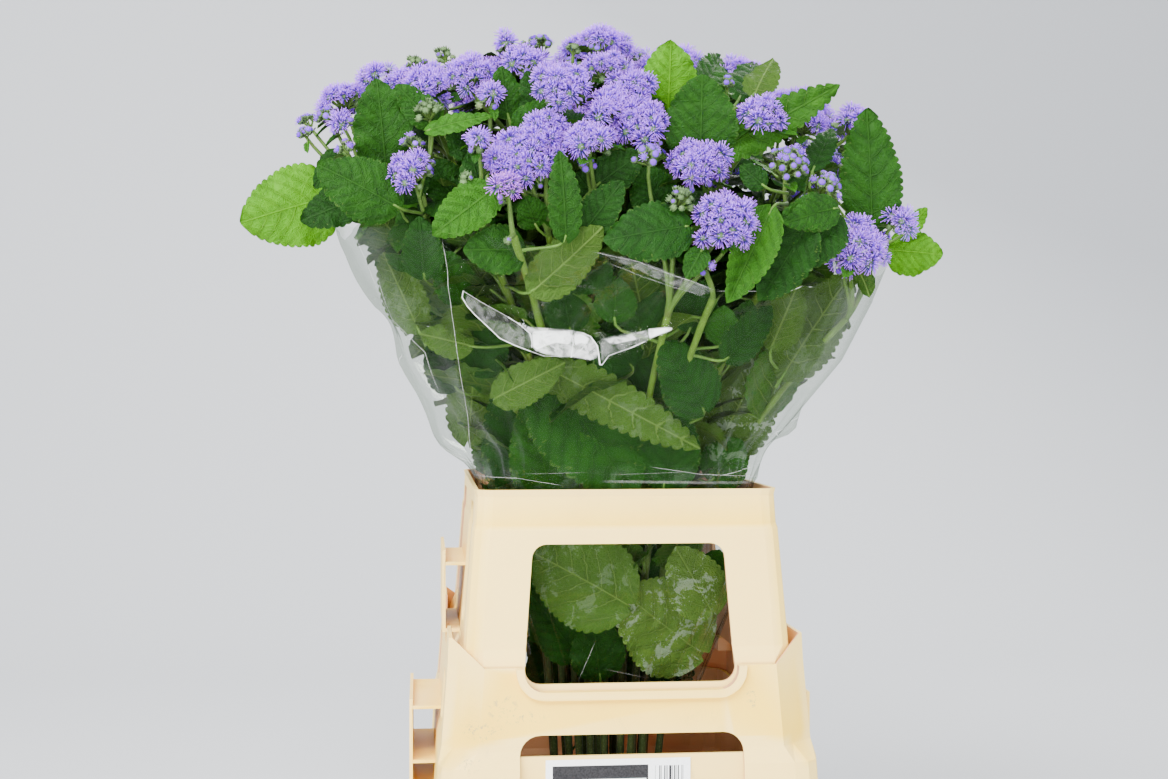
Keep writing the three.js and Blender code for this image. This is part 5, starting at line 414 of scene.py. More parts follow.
    [24, 2, "dark", 28.3, 40.3, 264.7, 59.9, 46.4, 275.8, 0.0102, -0.503, 0.8642, -0.1546, -0.8547, -0.4956, 50.7, 45.1, 0.2, 0.1],
    [25, 2, "dark", -26.9, 109.2, 218.4, -41.9, 138.8, 225.4, 0.0323, -0.2364, 0.9711, -0.034, -0.9713, -0.2353, 47.6, 31.4, 0.2, 0.1],
    [26, 2, "dark", -2.9, 41.3, 228.4, -33.5, 51.9, 239.1, -0.0758, -0.2008, 0.9767, -0.2196, -0.9521, -0.2128, 44.6, 45.2, 0.2, 0.1],
    [23, 2, "dark", -31.5, 25, 220.8, -8.3, 35.9, 245.8, -0.0181, 0.0278, 0.9995, -0.1777, -0.9838, 0.0241, 42.8, 44.9, 0.2, 0.1],
    [24, 2, "dark", -10.8, 31, 221.1, 16.7, 39, 246.1, 0.0083, -0.1402, 0.9901, -0.2596, -0.9565, -0.1332, 43.7, 45, 0.2, 0.1],
    [25, 2, "dark", 11.4, 34.7, 215.5, 31.8, 41.2, 240.5, 0.1283, -0.1086, 0.9858, -0.3138, -0.9474, -0.0635, 44, 45.2, 0.2, 0.1],
    [26, 2, "dark", 50.5, 105.3, 223, 55.8, 138, 230.3, 0.2455, -0.2605, 0.9337, -0.12, -0.964, -0.2374, 49.8, 31.6, 0.2, 0.1],
    [23, 2, "dark", -33.6, 108.3, 189.6, -35.4, 141.5, 196.6, -0.2754, -0.2793, 0.9198, -0.0075, -0.9562, -0.2926, 50.9, 31.4, 0.2, 0.1],
    [24, 2, "dark", -10.2, 29.6, 188, -37.6, 49.7, 213, -0.2619, -0.2609, 0.9292, 0.2513, -0.948, -0.1954, 47.6, 45.1, 0.2, 0.1],
    [25, 2, "dark", 11, 33.6, 190, -5.8, 44.4, 215, -0.2028, -0.1525, 0.9673, -0.1772, -0.9658, -0.1894, 44.8, 45.1, 0.2, 0.1],
    [26, 2, "dark", 37, 26.1, 193, 14.8, 45.2, 218, 0.0232, -0.2498, 0.968, -0.1423, -0.9592, -0.2441, 45.1, 45.1, 0.2, 0.1],
    [23, 2, "dark", 4.1, 27.7, 210, 35.7, 31, 222, -0.009, -0.0551, 0.9984, -0.1182, -0.9914, -0.0558, 42.9, 44.9, 0.2, 0.1],
    [24, 2, "dark", 40.2, 107.6, 193.7, 58.2, 135.7, 200.3, -0.2873, -0.2973, 0.9105, 0.1819, -0.9503, -0.2528, 51.9, 31.5, 0.2, 0.1],
    [25, 2, "dark", -28.6, 112.8, 170.2, -43.1, 142.8, 177, 0.206, -0.2479, 0.9466, -0.2929, -0.9386, -0.1821, 49.4, 31.5, 0.2, 0.1],
    [26, 2, "dark", -6.1, 43.2, 186.8, -36, 55.8, 197.2, 0.0044, -0.3891, 0.9212, 0.0169, -0.921, -0.3891, 48.3, 45.2, 0.2, 0.1],
    [23, 2, "dark", -28.9, 23.2, 164.8, -5.4, 50.3, 189.8, 0.1008, -0.2629, 0.9595, -0.3054, -0.9261, -0.2217, 46, 45.2, 0.2, 0.1],
    [24, 2, "dark", -10, 29, 171.1, 11.8, 43.3, 196.1, -0.1609, -0.3118, 0.9364, 0.0578, -0.9501, -0.3064, 47.1, 45, 0.2, 0.1],
    [25, 2, "dark", 10.7, 32.9, 174.4, 36.9, 36.8, 199.4, -0.0641, -0.0889, 0.994, -0.2755, -0.9557, -0.1033, 43.4, 45, 0.2, 0.1],
    [26, 2, "dark", 47.7, 106.4, 167.1, 52.9, 139.2, 174.3, -0.112, -0.3359, 0.9352, -0.2176, -0.91, -0.3529, 50.5, 31.5, 0.2, 0.1],
]
# More leaves, in the same form, for what lies behind those.
EXTRA = [
    [16, 2, "under", 107.9, -179.1, 568.1, 111.5, -169.3, 574.8, 0.337, 0.904, 0.265, 0.169, -0.335, 0.927, 76.4, 53.6, 1.188, 0.214],
    [22, 2, "under", 89, -17.2, 526.9, 93.6, -22.2, 531.7, 0.637, -0.705, 0.311, -0.246, 0.196, 0.949, 89.8, 54.7, 0.328, 0.129],
    [0, 2, "dark", -165.6, -55.4, 594.1, -155.5, -47.4, 598.6, 0.783, 0.622, 0.005, 0.16, -0.209, 0.965, 67, 40.9, 0.554, 0.295],
    [17, 2, "under", 116.6, -121.9, 469.4, 99.1, -110.2, 473.8, -0.822, 0.55, -0.145, -0.272, -0.157, 0.949, 63.8, 41, 0.671, 0.051],
    [26, 2, "mid", 82.2, 54.4, 471, 84, 75, 475, 0.087, 0.984, -0.156, 0.106, 0.146, 0.983, 73, 51.8, 0.454, 0.071],
    [12, 2, "mid", -117.9, -126.2, 583.8, -105.8, -137.9, 595.3, 0.687, -0.661, 0.3, -0.285, 0.135, 0.949, 98.9, 71.7, 0.842, 0.35],
    [23, 2, "light", -113.2, 80.7, 609.7, -125.9, 86.8, 623.7, -0.777, 0.373, 0.507, 0.529, -0.049, 0.847, 83.5, 49.4, 1.233, 0.416],
    [22, 2, "dark", 114.9, -20.1, 586.9, 130.1, -23.5, 592.4, 0.975, -0.223, 0.005, 0.016, 0.095, 0.995, 60.9, 35.8, 0.876, 0.092],
    [24, 2, "dark", -43.2, 100.7, 607.1, -60.1, 95.4, 617.4, -0.932, -0.291, 0.216, 0.159, 0.207, 0.965, 51.7, 32.8, 0.206, 0.149],
    [23, 2, "under", -89.2, 61.6, 554.5, -101.1, 48.5, 563, -0.666, -0.735, 0.13, 0.26, -0.065, 0.963, 98.5, 67.1, 1.206, 0.104],
    [23, 2, "dark", -130.6, 91.8, 642.9, -144.6, 94.1, 648.4, -0.986, 0.162, 0.034, 0.064, 0.182, 0.981, 53.6, 31.5, 0.48, 0.111],
    [24, 2, "mid", -26.6, 66.8, 496.8, -37.4, 83, 506.7, -0.551, 0.82, 0.154, 0.06, -0.145, 0.988, 84.4, 59.8, 0.476, 0.163],
    [25, 2, "mid", 37.6, 100.1, 572.3, 50, 111.3, 578.1, 0.741, 0.671, -0.005, -0.196, 0.224, 0.955, 75, 54.1, 1.187, 0.414],
    [25, 2, "dark", 30.3, 92, 552.8, 20.3, 97.6, 567.6, -0.671, 0.375, 0.639, 0.643, -0.134, 0.754, 58.4, 38.3, 1.159, 0.118],
    [26, 2, "mid", 66.6, 40.4, 408.6, 71.5, 37.2, 414.9, 0.699, -0.456, 0.551, -0.548, 0.154, 0.822, 80.6, 53, 0.17, 0.267],
    [24, 2, "dark", -42, 106, 611.7, -43.7, 118.5, 629.2, -0.101, 0.732, 0.673, 0.099, -0.666, 0.739, 87.6, 55.8, 1.193, 0.119],
    [17, 2, "light", 61.5, -70.8, 332.8, 57.7, -77.2, 340.8, -0.426, -0.714, 0.555, -0.351, 0.696, 0.626, 63.7, 44.2, 0.468, 0.16],
    [26, 2, "dark", 74.3, 49.1, 442.5, 77.5, 55.8, 445.5, 0.428, 0.902, 0.05, 0.064, -0.086, 0.994, 59.1, 38.8, 0.412, 0.311],
    [25, 2, "dark", 36.6, 93.3, 563.9, 48.6, 85.3, 566.8, 0.822, -0.549, -0.154, 0.178, -0.009, 0.984, 65.3, 47.9, 0.557, 0.184],
    [17, 2, "mid", 140.1, -142.7, 502.3, 136, -131.6, 518.7, -0.253, 0.691, 0.677, 0.138, -0.667, 0.732, 69.2, 41.5, 1.188, 0.384],
    [23, 2, "light", -60.5, 45.4, 454, -69.5, 53.9, 465.4, -0.642, 0.609, 0.466, 0.292, -0.367, 0.883, 70.9, 47.3, 0.389, 0.256],
    [26, 2, "mid", 152.8, 94, 611.6, 155.8, 100.9, 614.1, 0.404, 0.915, -0.015, -0.19, 0.1, 0.977, 79.6, 59.6, 0.702, 0.333],
    [26, 2, "mid", 150.6, 88.1, 608.8, 154.9, 73.6, 612.3, 0.281, -0.952, -0.121, -0.09, -0.151, 0.984, 57, 39.3, 0.814, 0.117],
    [0, 2, "dark", -118.4, -38.8, 517.3, -116.2, -25.9, 526.9, 0.16, 0.925, 0.346, -0.372, -0.268, 0.889, 95.8, 58.7, 1.17, 0.269],
    [22, 2, "under", 98.1, -16.4, 548.5, 109.5, -15.9, 556.7, 0.944, 0.043, 0.327, -0.304, -0.266, 0.915, 80, 53.2, 0.416, 0.11],
    [24, 2, "dark", -40.1, 105.9, 617.6, -28.2, 104.9, 629.1, 0.871, -0.068, 0.487, -0.431, 0.373, 0.822, 51.8, 36.2, 0.734, 0.224],
    [25, 2, "mid", 32.3, 93.4, 553.1, 29.2, 112.5, 559.8, -0.158, 0.987, 0.001, -0.311, -0.051, 0.949, 62.6, 39.1, 0.265, 0.113],
    [16, 2, "under", 91.2, -151.6, 529.5, 104.1, -148, 537.5, 0.938, 0.257, 0.234, -0.288, 0.2, 0.937, 75.2, 54.1, 0.847, 0.39],
    [25, 2, "mid", 41.7, 116.5, 607.1, 42.2, 122.2, 615, 0.064, 0.74, 0.67, -0.256, -0.636, 0.728, 63, 42.5, 0.704, 0.111],
    [19, 2, "dark", -70.4, -5.4, 509.6, -77.7, -9.8, 512.7, -0.859, -0.512, 0.016, -0.165, 0.305, 0.938, 89.1, 53, 0.504, 0.376],
    [24, 2, "dark", -39.7, 99.8, 608.5, -35.1, 91.8, 610.5, 0.495, -0.858, -0.135, 0.129, -0.081, 0.988, 57.7, 38.3, 0.579, 0.147],
    [22, 2, "mid", 67.9, -14, 458.8, 70.8, -19.9, 464.9, 0.388, -0.789, 0.476, -0.327, 0.365, 0.872, 76.8, 57.1, 0.281, 0.186],
    [19, 2, "under", -100.5, -9.4, 615.6, -91.5, -20.2, 620.6, 0.636, -0.772, 0.002, -0.228, -0.185, 0.956, 54.4, 39, 0.632, 0.195],
    [24, 2, "light", -45.4, 108.2, 619.7, -52.7, 111.8, 623.8, -0.883, 0.443, 0.155, 0.178, 0.012, 0.984, 56, 34.4, 0.327, 0.225],
    [23, 2, "under", -127, 92.8, 640, -130, 105.5, 645, -0.227, 0.973, 0.035, 0.043, -0.026, 0.999, 81.6, 58.6, 1.037, 0.332],
    [10, 2, "mid", -80.5, -94.4, 456.1, -87.8, -89, 462.4, -0.763, 0.565, 0.314, 0.179, -0.282, 0.943, 71, 45.5, 0.564, 0.245],
    [25, 2, "dark", 39, 99.6, 578.4, 49.9, 94.8, 582.5, 0.913, -0.407, 0, 0.064, 0.143, 0.988, 58.8, 41.4, 0.257, 0.223],
    [22, 2, "light", 117.8, -19.1, 592.9, 130.7, -14.4, 597.5, 0.942, 0.335, -0.015, -0.062, 0.217, 0.974, 76.5, 56.9, 0.849, 0.249],
    [22, 2, "mid", 130.2, -20.3, 623.2, 127, -13.2, 630.6, -0.36, 0.799, 0.481, 0.193, -0.441, 0.876, 57.9, 37.9, 0.915, 0.069],
    [22, 2, "dark", 82.6, -15.6, 507.1, 87.9, -19.8, 513.8, 0.679, -0.531, 0.506, -0.361, 0.36, 0.861, 64.1, 47.4, 0.597, 0.184],
    [24, 2, "under", -37.7, 96, 587.6, -39.5, 107.8, 595.8, -0.144, 0.942, 0.304, 0.145, -0.284, 0.948, 73.5, 51.9, 0.215, 0.205],
    [25, 2, "under", 39.9, 104.6, 593.1, 44.6, 90.8, 608.9, 0.271, -0.787, 0.554, -0.261, 0.494, 0.829, 87.9, 63.6, 0.18, 0.249],
    [0, 2, "dark", -71.2, -23.3, 385.8, -72.6, -17.3, 392.6, -0.186, 0.807, 0.56, 0.313, -0.492, 0.813, 74.6, 52, 0.905, 0.141],
    [24, 2, "dark", -41.4, 99, 607.4, -44, 87.4, 621.9, -0.177, -0.773, 0.609, 0.251, 0.563, 0.787, 70.9, 45.6, 0.971, 0.066],
    [25, 2, "mid", 31.5, 93.2, 553.1, 28.6, 98.7, 558.9, -0.406, 0.786, 0.465, 0.059, -0.486, 0.872, 65.3, 48, 0.919, 0.381],
    [17, 2, "under", 82.8, -87.1, 399.6, 78.7, -79.3, 402.4, -0.466, 0.884, -0.038, -0.086, -0.003, 0.996, 62.3, 46.1, 1.099, 0.094],
    [24, 2, "mid", -38.6, 90.5, 585.2, -44.4, 83.5, 588.7, -0.637, -0.77, 0.034, -0.109, 0.135, 0.985, 75.4, 50.5, 0.756, 0.398],
    [26, 2, "mid", 156.6, 96.6, 617.8, 158.5, 105.4, 626.5, 0.177, 0.852, 0.493, 0.295, -0.524, 0.799, 65.3, 47.9, 1.137, 0.19],
    [25, 2, "light", 32.1, 90.8, 559.2, 23.4, 77.4, 563.3, -0.545, -0.833, -0.094, -0.191, 0.014, 0.981, 60.4, 45.8, 0.728, 0.133],
    [1, 2, "mid", -112.9, -87.2, 617, -131.1, -86.5, 623.7, -0.999, 0.041, 0.017, 0.01, -0.176, 0.984, 80.9, 51.6, 0.728, 0.207],
    [25, 2, "light", 40.8, 104.9, 592.1, 47, 99.3, 597.1, 0.72, -0.654, 0.23, -0.21, 0.11, 0.971, 78.4, 56.5, 0.475, 0.079],
    [23, 2, "mid", -124.5, 92.1, 639.7, -113.9, 103.7, 652.2, 0.622, 0.683, 0.384, -0.193, -0.341, 0.92, 64.6, 38.5, 0.665, 0.136],
    [26, 2, "mid", 152.4, 90.5, 608.9, 164.4, 90.1, 625.2, 0.743, -0.021, 0.669, -0.659, 0.152, 0.736, 54.9, 35, 0.737, 0.078],
    [15, 2, "under", 51.6, -107.8, 541.8, 67.2, -104.2, 549.6, 0.966, 0.219, 0.135, 0.007, -0.547, 0.837, 68.8, 44.5, 0.188, 0.187],
    [11, 2, "mid", -43.5, -84.6, 366.6, -51.2, -88.4, 377.8, -0.685, -0.338, 0.645, 0.389, 0.58, 0.716, 60.7, 39, 0.542, 0.327],
    [22, 2, "mid", 128.3, -24.5, 621.6, 120.8, -31.3, 628.2, -0.712, -0.646, 0.274, 0.109, 0.285, 0.952, 60.6, 35.7, 0.608, 0.354],
    [24, 2, "mid", -36.6, 95, 585.1, -34.9, 110.2, 588.3, 0.109, 0.984, -0.141, -0.333, 0.17, 0.928, 58.1, 43.6, 0.778, 0.217],
    [0, 2, "dark", -171.8, -55.7, 597.6, -176, -49.3, 603.1, -0.523, 0.785, 0.332, 0.159, -0.292, 0.943, 90.7, 60.3, 0.262, 0.318],
    [23, 2, "dark", -116.5, 81.7, 616, -127, 81.9, 620, -0.999, 0.019, 0.035, 0.04, 0.473, 0.88, 84.2, 59.1, 0.486, 0.398],
    [23, 2, "mid", -128.5, 93.2, 641.6, -130.8, 97.7, 648.2, -0.345, 0.678, 0.648, 0.042, -0.679, 0.733, 62.7, 46.4, 0.922, 0.284],
    [26, 2, "dark", 151.7, 90.3, 613.6, 148.5, 85.3, 621.2, -0.418, -0.646, 0.638, 0.5, 0.423, 0.756, 64.5, 41.5, 0.332, 0.099],
    [23, 2, "dark", -56, 41, 428.5, -62.5, 43.4, 433.4, -0.893, 0.326, 0.312, 0.155, -0.427, 0.891, 67.2, 49.2, 0.263, 0.311],
    [0, 2, "light", -68.4, -22.4, 371.4, -71, -17.2, 377.6, -0.365, 0.755, 0.544, 0.329, -0.442, 0.834, 62.8, 43.2, 0.527, 0.368],
    [25, 2, "under", 39.7, 105.5, 585.3, 53.5, 117.8, 591.4, 0.749, 0.662, -0.019, -0.024, 0.055, 0.998, 69.9, 40.7, 0.876, 0.104],
    [25, 2, "under", 45.5, 121, 618.1, 55.3, 130.4, 632.7, 0.606, 0.575, 0.55, -0.232, -0.534, 0.813, 84.4, 55, 0.3, 0.148],
    [25, 2, "dark", 37.3, 100.2, 583.4, 36.7, 81.9, 591.8, -0.03, -0.994, 0.107, 0.031, 0.106, 0.994, 69.5, 45.4, 0.677, 0.413],
    [25, 2, "mid", 37, 100, 571.1, 46.8, 114.1, 574, 0.561, 0.806, -0.189, 0.074, 0.178, 0.981, 59.8, 39.5, 0.582, 0.216],
    [24, 2, "dark", -37.7, 94, 583.1, -41.5, 102.3, 589.2, -0.404, 0.866, 0.293, 0.076, -0.288, 0.955, 69.8, 47, 0.251, 0.211],
    [25, 2, "under", 40.2, 106.2, 587.2, 52.5, 115, 594, 0.806, 0.583, 0.096, -0.092, -0.038, 0.995, 84.1, 50.3, 1.122, 0.37],
    [26, 2, "mid", 85.5, 52.2, 473.9, 95.9, 51.3, 482.8, 0.901, -0.078, 0.427, -0.415, 0.131, 0.9, 66.8, 46.7, 0.415, 0.197],
    [5, 2, "light", 7.9, -90.5, 585.7, 14.4, -91, 593.7, 0.785, -0.057, 0.617, -0.452, -0.733, 0.508, 79.6, 58.2, 0.865, 0.087],
    [21, 2, "dark", 34.8, -16.6, 699, 27.7, -20.1, 709.2, -0.69, -0.34, 0.639, 0.599, 0.227, 0.768, 74.6, 51.8, 1.024, 0.122],
    [22, 2, "under", 64, -8.6, 440.6, 73.9, 5.4, 451.4, 0.556, 0.789, 0.262, -0.077, -0.266, 0.961, 62.9, 45.6, 0.987, 0.385],
    [4, 2, "mid", -21.9, -79.1, 659.2, -14.7, -76.4, 666.1, 0.836, 0.313, 0.45, -0.399, -0.215, 0.891, 62.9, 44.2, 0.578, 0.404],
    [18, 2, "dark", 24.3, -105.5, 383.3, 19.4, -108.1, 389.8, -0.712, -0.379, 0.591, -0.032, 0.858, 0.512, 59.8, 43.1, 0.229, 0.188],
    [24, 2, "light", -31.9, 75.9, 545, -35, 68.7, 550.7, -0.369, -0.866, 0.336, 0.001, 0.361, 0.933, 64.3, 39.7, 0.487, 0.379],
    [24, 2, "under", -33.5, 79.3, 546, -43, 82.2, 553.5, -0.892, 0.269, 0.363, 0.426, 0.235, 0.873, 76.5, 49.9, 1.22, 0.236],
    [23, 2, "light", -87.1, 65.9, 553.9, -86.1, 79, 570.1, 0.058, 0.785, 0.617, 0.017, -0.618, 0.786, 60, 35.1, 0.992, 0.173],
    [26, 2, "mid", 119.7, 72.3, 554.1, 132.3, 74.3, 570.8, 0.754, 0.12, 0.646, -0.565, -0.384, 0.73, 88.1, 53.1, 0.669, 0.3],
    [2, 2, "mid", -79.4, -114.9, 654.2, -76.3, -122.9, 659, 0.344, -0.918, 0.198, 0.171, 0.268, 0.948, 56.9, 36.5, 0.799, 0.292],
    [2, 2, "dark", -69.9, -102.8, 628.1, -60.4, -107.8, 638.9, 0.759, -0.402, 0.512, -0.395, 0.341, 0.853, 55.9, 38.2, 1.156, 0.373],
    [21, 2, "under", 35.1, -13.4, 668.2, 46.7, -11, 683.7, 0.746, 0.151, 0.649, -0.599, -0.277, 0.752, 58.1, 42.1, 1.027, 0.132],
    [20, 2, "light", -19.4, -11.4, 663.8, -33.6, -20.1, 675.3, -0.811, -0.497, 0.309, 0.329, 0.049, 0.943, 61.4, 37.9, 0.552, 0.365],
    [21, 2, "mid", 32, -15.8, 659, 33.3, -23.6, 663.9, 0.156, -0.956, 0.25, -0.289, 0.198, 0.937, 62.7, 42.3, 0.217, 0.158],
    [1, 2, "mid", -85.3, -67.5, 558.9, -74.9, -55.9, 569, 0.645, 0.713, 0.275, -0.229, -0.162, 0.96, 74.4, 47.5, 0.39, 0.286],
    [19, 2, "dark", -112.8, -6.9, 635.6, -125.4, 1, 637.2, -0.821, 0.515, -0.246, -0.22, 0.113, 0.969, 67, 48.6, 0.363, 0.096],
    [20, 2, "mid", -9.9, -4.7, 454.4, -24.1, -0.3, 457.1, -0.941, 0.292, -0.17, -0.032, 0.423, 0.905, 86.9, 58.1, 0.829, 0.165],
    [15, 2, "mid", 60.5, -137.6, 601.5, 51, -128.4, 611.7, -0.671, 0.645, 0.367, 0.274, -0.244, 0.93, 56.1, 39.7, 0.54, 0.391],
    [24, 2, "mid", -29.9, 80.8, 545.6, -26.6, 87.8, 552.6, 0.374, 0.802, 0.465, 0.311, -0.581, 0.752, 70.6, 48.3, 0.9, 0.419],
    [5, 2, "mid", 9.1, -76.6, 549.8, 16.6, -77, 558.5, 0.809, -0.049, 0.586, -0.542, 0.324, 0.776, 62.2, 45.4, 0.693, 0.2],
    [6, 2, "under", -10.6, -135.6, 558.8, -18.1, -119.3, 570.1, -0.404, 0.879, 0.254, 0.63, 0.067, 0.773, 67.7, 44.4, 0.643, 0.262],
    [25, 2, "light", 17.2, 53.4, 391.9, 16, 66.2, 409.4, -0.071, 0.741, 0.668, -0.309, -0.653, 0.692, 69.3, 47.3, 1.03, 0.096],
    [3, 2, "mid", -42.9, -115.2, 584.4, -56, -120.3, 588.8, -0.93, -0.364, -0.041, 0.022, -0.167, 0.986, 67, 38.9, 0.814, 0.207],
    [26, 2, "dark", 152.1, 88.9, 610, 157.1, 81.4, 616.7, 0.527, -0.775, 0.348, -0.508, 0.041, 0.86, 55.3, 35.9, 0.759, 0.156],
    [0, 2, "light", -117.4, -38.8, 516.5, -111.4, -24.6, 521.7, 0.392, 0.92, -0.01, -0.091, 0.049, 0.995, 60, 40.5, 0.219, 0.06],
    [19, 2, "mid", -107.3, -5.8, 624.3, -114, 1.9, 636.5, -0.521, 0.604, 0.603, 0.571, -0.278, 0.773, 76.4, 52.2, 0.946, 0.054],
    [21, 2, "dark", 26.5, -12.6, 597.9, 36.7, -25.5, 608.2, 0.599, -0.759, 0.255, -0.536, -0.144, 0.832, 76.6, 50.6, 0.568, 0.323],
    [21, 2, "under", 37.1, -13.4, 687.3, 45.3, -6.7, 699.6, 0.625, 0.51, 0.591, -0.58, -0.203, 0.789, 65.3, 44.8, 0.565, 0.384],
    [2, 2, "mid", -71.3, -100.2, 629.7, -66.7, -93.1, 635.6, 0.515, 0.798, 0.314, -0.056, -0.334, 0.941, 74.9, 51.5, 0.458, 0.251],
    [26, 2, "under", 100.7, 62.8, 525.1, 92.6, 59.4, 533.7, -0.799, -0.337, 0.498, 0.507, 0.067, 0.859, 79.5, 57.7, 0.293, 0.288],
    [1, 2, "under", -121.1, -92.7, 634.9, -130.1, -87.5, 639.5, -0.862, 0.498, 0.098, 0.034, -0.136, 0.99, 78.2, 51.9, 0.329, 0.226],
    [20, 2, "dark", -15.3, -6.4, 612, -22.2, 3.8, 617.7, -0.558, 0.823, 0.103, -0.234, -0.275, 0.933, 70.2, 44.1, 0.408, 0.351],
    [21, 2, "dark", 35.5, -17.1, 685, 37, -23.5, 690.9, 0.202, -0.867, 0.455, 0.633, 0.47, 0.615, 56.6, 32.9, 0.62, 0.371],
    [14, 2, "dark", 15.7, -146.5, 473, 0.8, -149, 478.9, -0.985, -0.165, 0.041, 0.029, 0.075, 0.997, 66.9, 44.6, 0.88, 0.345],
    [21, 2, "mid", 26.8, -14, 619.9, 24, -32.2, 622.2, -0.148, -0.961, -0.232, -0.505, -0.128, 0.854, 64.1, 44.1, 0.565, 0.287],
    [23, 2, "light", -109.7, 78.7, 602.7, -116.1, 82.8, 606, -0.835, 0.544, 0.079, 0.212, 0.186, 0.959, 85.4, 56.1, 1.121, 0.313],
    [25, 2, "mid", 31.7, 91.8, 548.5, 29.3, 111.3, 551, -0.12, 0.967, -0.225, 0.026, 0.23, 0.973, 71, 51.9, 0.275, 0.221],
    [5, 2, "light", 4.2, -116.6, 635.8, 7.5, -125.8, 639.6, 0.341, -0.939, 0.045, -0.262, -0.049, 0.964, 58.3, 40.9, 0.522, 0.415],
    [11, 2, "mid", -60, -117.2, 454.5, -64.1, -123, 463.5, -0.449, -0.627, 0.637, 0.803, 0.03, 0.596, 66.4, 46.6, 0.2, 0.104],
    [20, 2, "mid", -20.2, -8.8, 692.4, -25.8, 9.4, 700.7, -0.293, 0.952, 0.087, 0.097, -0.061, 0.993, 71.2, 51, 0.18, 0.108],
    [1, 2, "mid", -104.2, -81.8, 597.8, -111.2, -85.1, 601.2, -0.904, -0.42, 0.085, 0.05, 0.095, 0.994, 72.1, 51.2, 1.027, 0.389],
    [24, 2, "dark", -22.5, 64.7, 489.8, -10.4, 76.1, 494.9, 0.727, 0.685, -0.041, 0.406, -0.381, 0.83, 73.5, 54.8, 1.165, 0.332],
    [4, 2, "under", -21.8, -59.7, 588, -32.3, -62.8, 597.8, -0.857, -0.248, 0.452, 0.228, 0.604, 0.763, 58.7, 42.8, 0.977, 0.407],
    [5, 2, "dark", 12.2, -38.7, 395.2, 29.9, -36.2, 402.7, 0.988, 0.138, 0.068, -0.1, 0.237, 0.966, 62, 36, 0.346, 0.288],
    [5, 2, "mid", 5.8, -92.4, 584.5, 7.9, -103.9, 596, 0.156, -0.85, 0.503, 0.259, 0.527, 0.81, 63.1, 47.4, 0.725, 0.083],
    [23, 2, "dark", -75.8, 55.4, 512.7, -89.8, 64.6, 520.4, -0.83, 0.547, 0.107, 0.271, 0.229, 0.935, 79.2, 56.2, 0.512, 0.413],
    [5, 2, "dark", 6.1, -84.2, 577.2, 9.4, -68.4, 582.2, 0.203, 0.978, -0.04, 0.084, 0.023, 0.996, 63.8, 44.4, 0.983, 0.169],
    [15, 2, "mid", 56.3, -124.7, 571.4, 60.7, -133, 577.9, 0.444, -0.841, 0.309, -0.102, 0.296, 0.95, 80.9, 60.1, 0.325, 0.078],
    [4, 2, "dark", -26.8, -89.9, 678.8, -30.1, -108.3, 689.1, -0.173, -0.966, 0.191, 0.137, 0.169, 0.976, 72.5, 44.4, 1.113, 0.141],
    [23, 2, "mid", -111.5, 77.5, 606, -122.1, 74.1, 609, -0.949, -0.304, -0.082, -0.19, 0.346, 0.919, 55.7, 35.9, 0.367, 0.327],
    [21, 2, "dark", 25.9, -8.6, 592.1, 36.3, 5.4, 595.8, 0.589, 0.797, -0.136, 0.305, -0.064, 0.95, 78.1, 49.2, 0.637, 0.166],
    [2, 2, "dark", -70.4, -97.1, 614, -79.6, -100.4, 623.1, -0.828, -0.303, 0.473, 0.354, 0.373, 0.858, 56.9, 42.7, 1.141, 0.316],
    [15, 2, "dark", 56.2, -119.5, 564.9, 72.7, -121.5, 579, 0.902, -0.105, 0.419, -0.425, -0.044, 0.904, 65.9, 42.8, 1.165, 0.414],
    [1, 2, "dark", -126, -97.3, 643.8, -144.6, -96.1, 650.4, -0.998, 0.063, 0.005, -0.016, -0.327, 0.945, 82.2, 53.1, 0.967, 0.331],
    [26, 2, "dark", 104.6, 65.8, 524.9, 116.9, 81.2, 528.7, 0.614, 0.773, -0.16, 0.248, 0.003, 0.969, 63.6, 38.4, 1.11, 0.281],
    [6, 2, "under", -12.4, -164, 597.1, -22.2, -162.1, 603.3, -0.95, 0.184, 0.253, 0.227, -0.153, 0.962, 60.2, 43.3, 1.148, 0.368],
    [22, 2, "mid", 123.7, -22.2, 604.8, 143.2, -31.3, 609, 0.895, -0.418, -0.157, 0.024, -0.307, 0.951, 62, 41.9, 0.266, 0.243],
    [26, 2, "light", 101.3, 60, 516.8, 112.7, 49.1, 519.1, 0.708, -0.677, -0.202, 0.208, -0.074, 0.975, 65.4, 38.4, 0.378, 0.296],
    [0, 2, "dark", -120.1, -39, 518.7, -123.1, -23.4, 524.2, -0.188, 0.982, -0.004, 0.057, 0.015, 0.998, 75.7, 44.9, 0.15, 0.153],
    [7, 2, "under", -19.7, -168.1, 567.4, -9.5, -174.7, 579.7, 0.72, -0.466, 0.514, -0.389, 0.342, 0.855, 80.3, 49, 1.246, 0.408],
    [21, 2, "mid", 29.5, -10.1, 626.6, 36.6, -2.6, 638.6, 0.555, 0.586, 0.59, -0.181, -0.607, 0.773, 52.4, 31.1, 0.167, 0.222],
    [15, 2, "dark", 47, -105, 528.4, 48.6, -117.8, 542.3, 0.103, -0.828, 0.551, 0.032, 0.556, 0.83, 94.7, 66, 0.815, 0.418],
    [20, 2, "mid", -17.4, -9.5, 629.5, -26.4, -11.4, 638.2, -0.855, -0.177, 0.488, 0.514, -0.423, 0.747, 57.2, 35.9, 0.878, 0.23],
    [20, 2, "light", -16.5, -11.5, 637, -20.7, -20.6, 649.2, -0.334, -0.713, 0.616, 0.163, 0.6, 0.783, 51.5, 36.4, 1.071, 0.25],
    [24, 2, "dark", -34.5, 84.8, 558.9, -45.5, 97.9, 565.4, -0.642, 0.765, 0.037, 0.14, 0.07, 0.988, 64.6, 45.7, 0.312, 0.072],
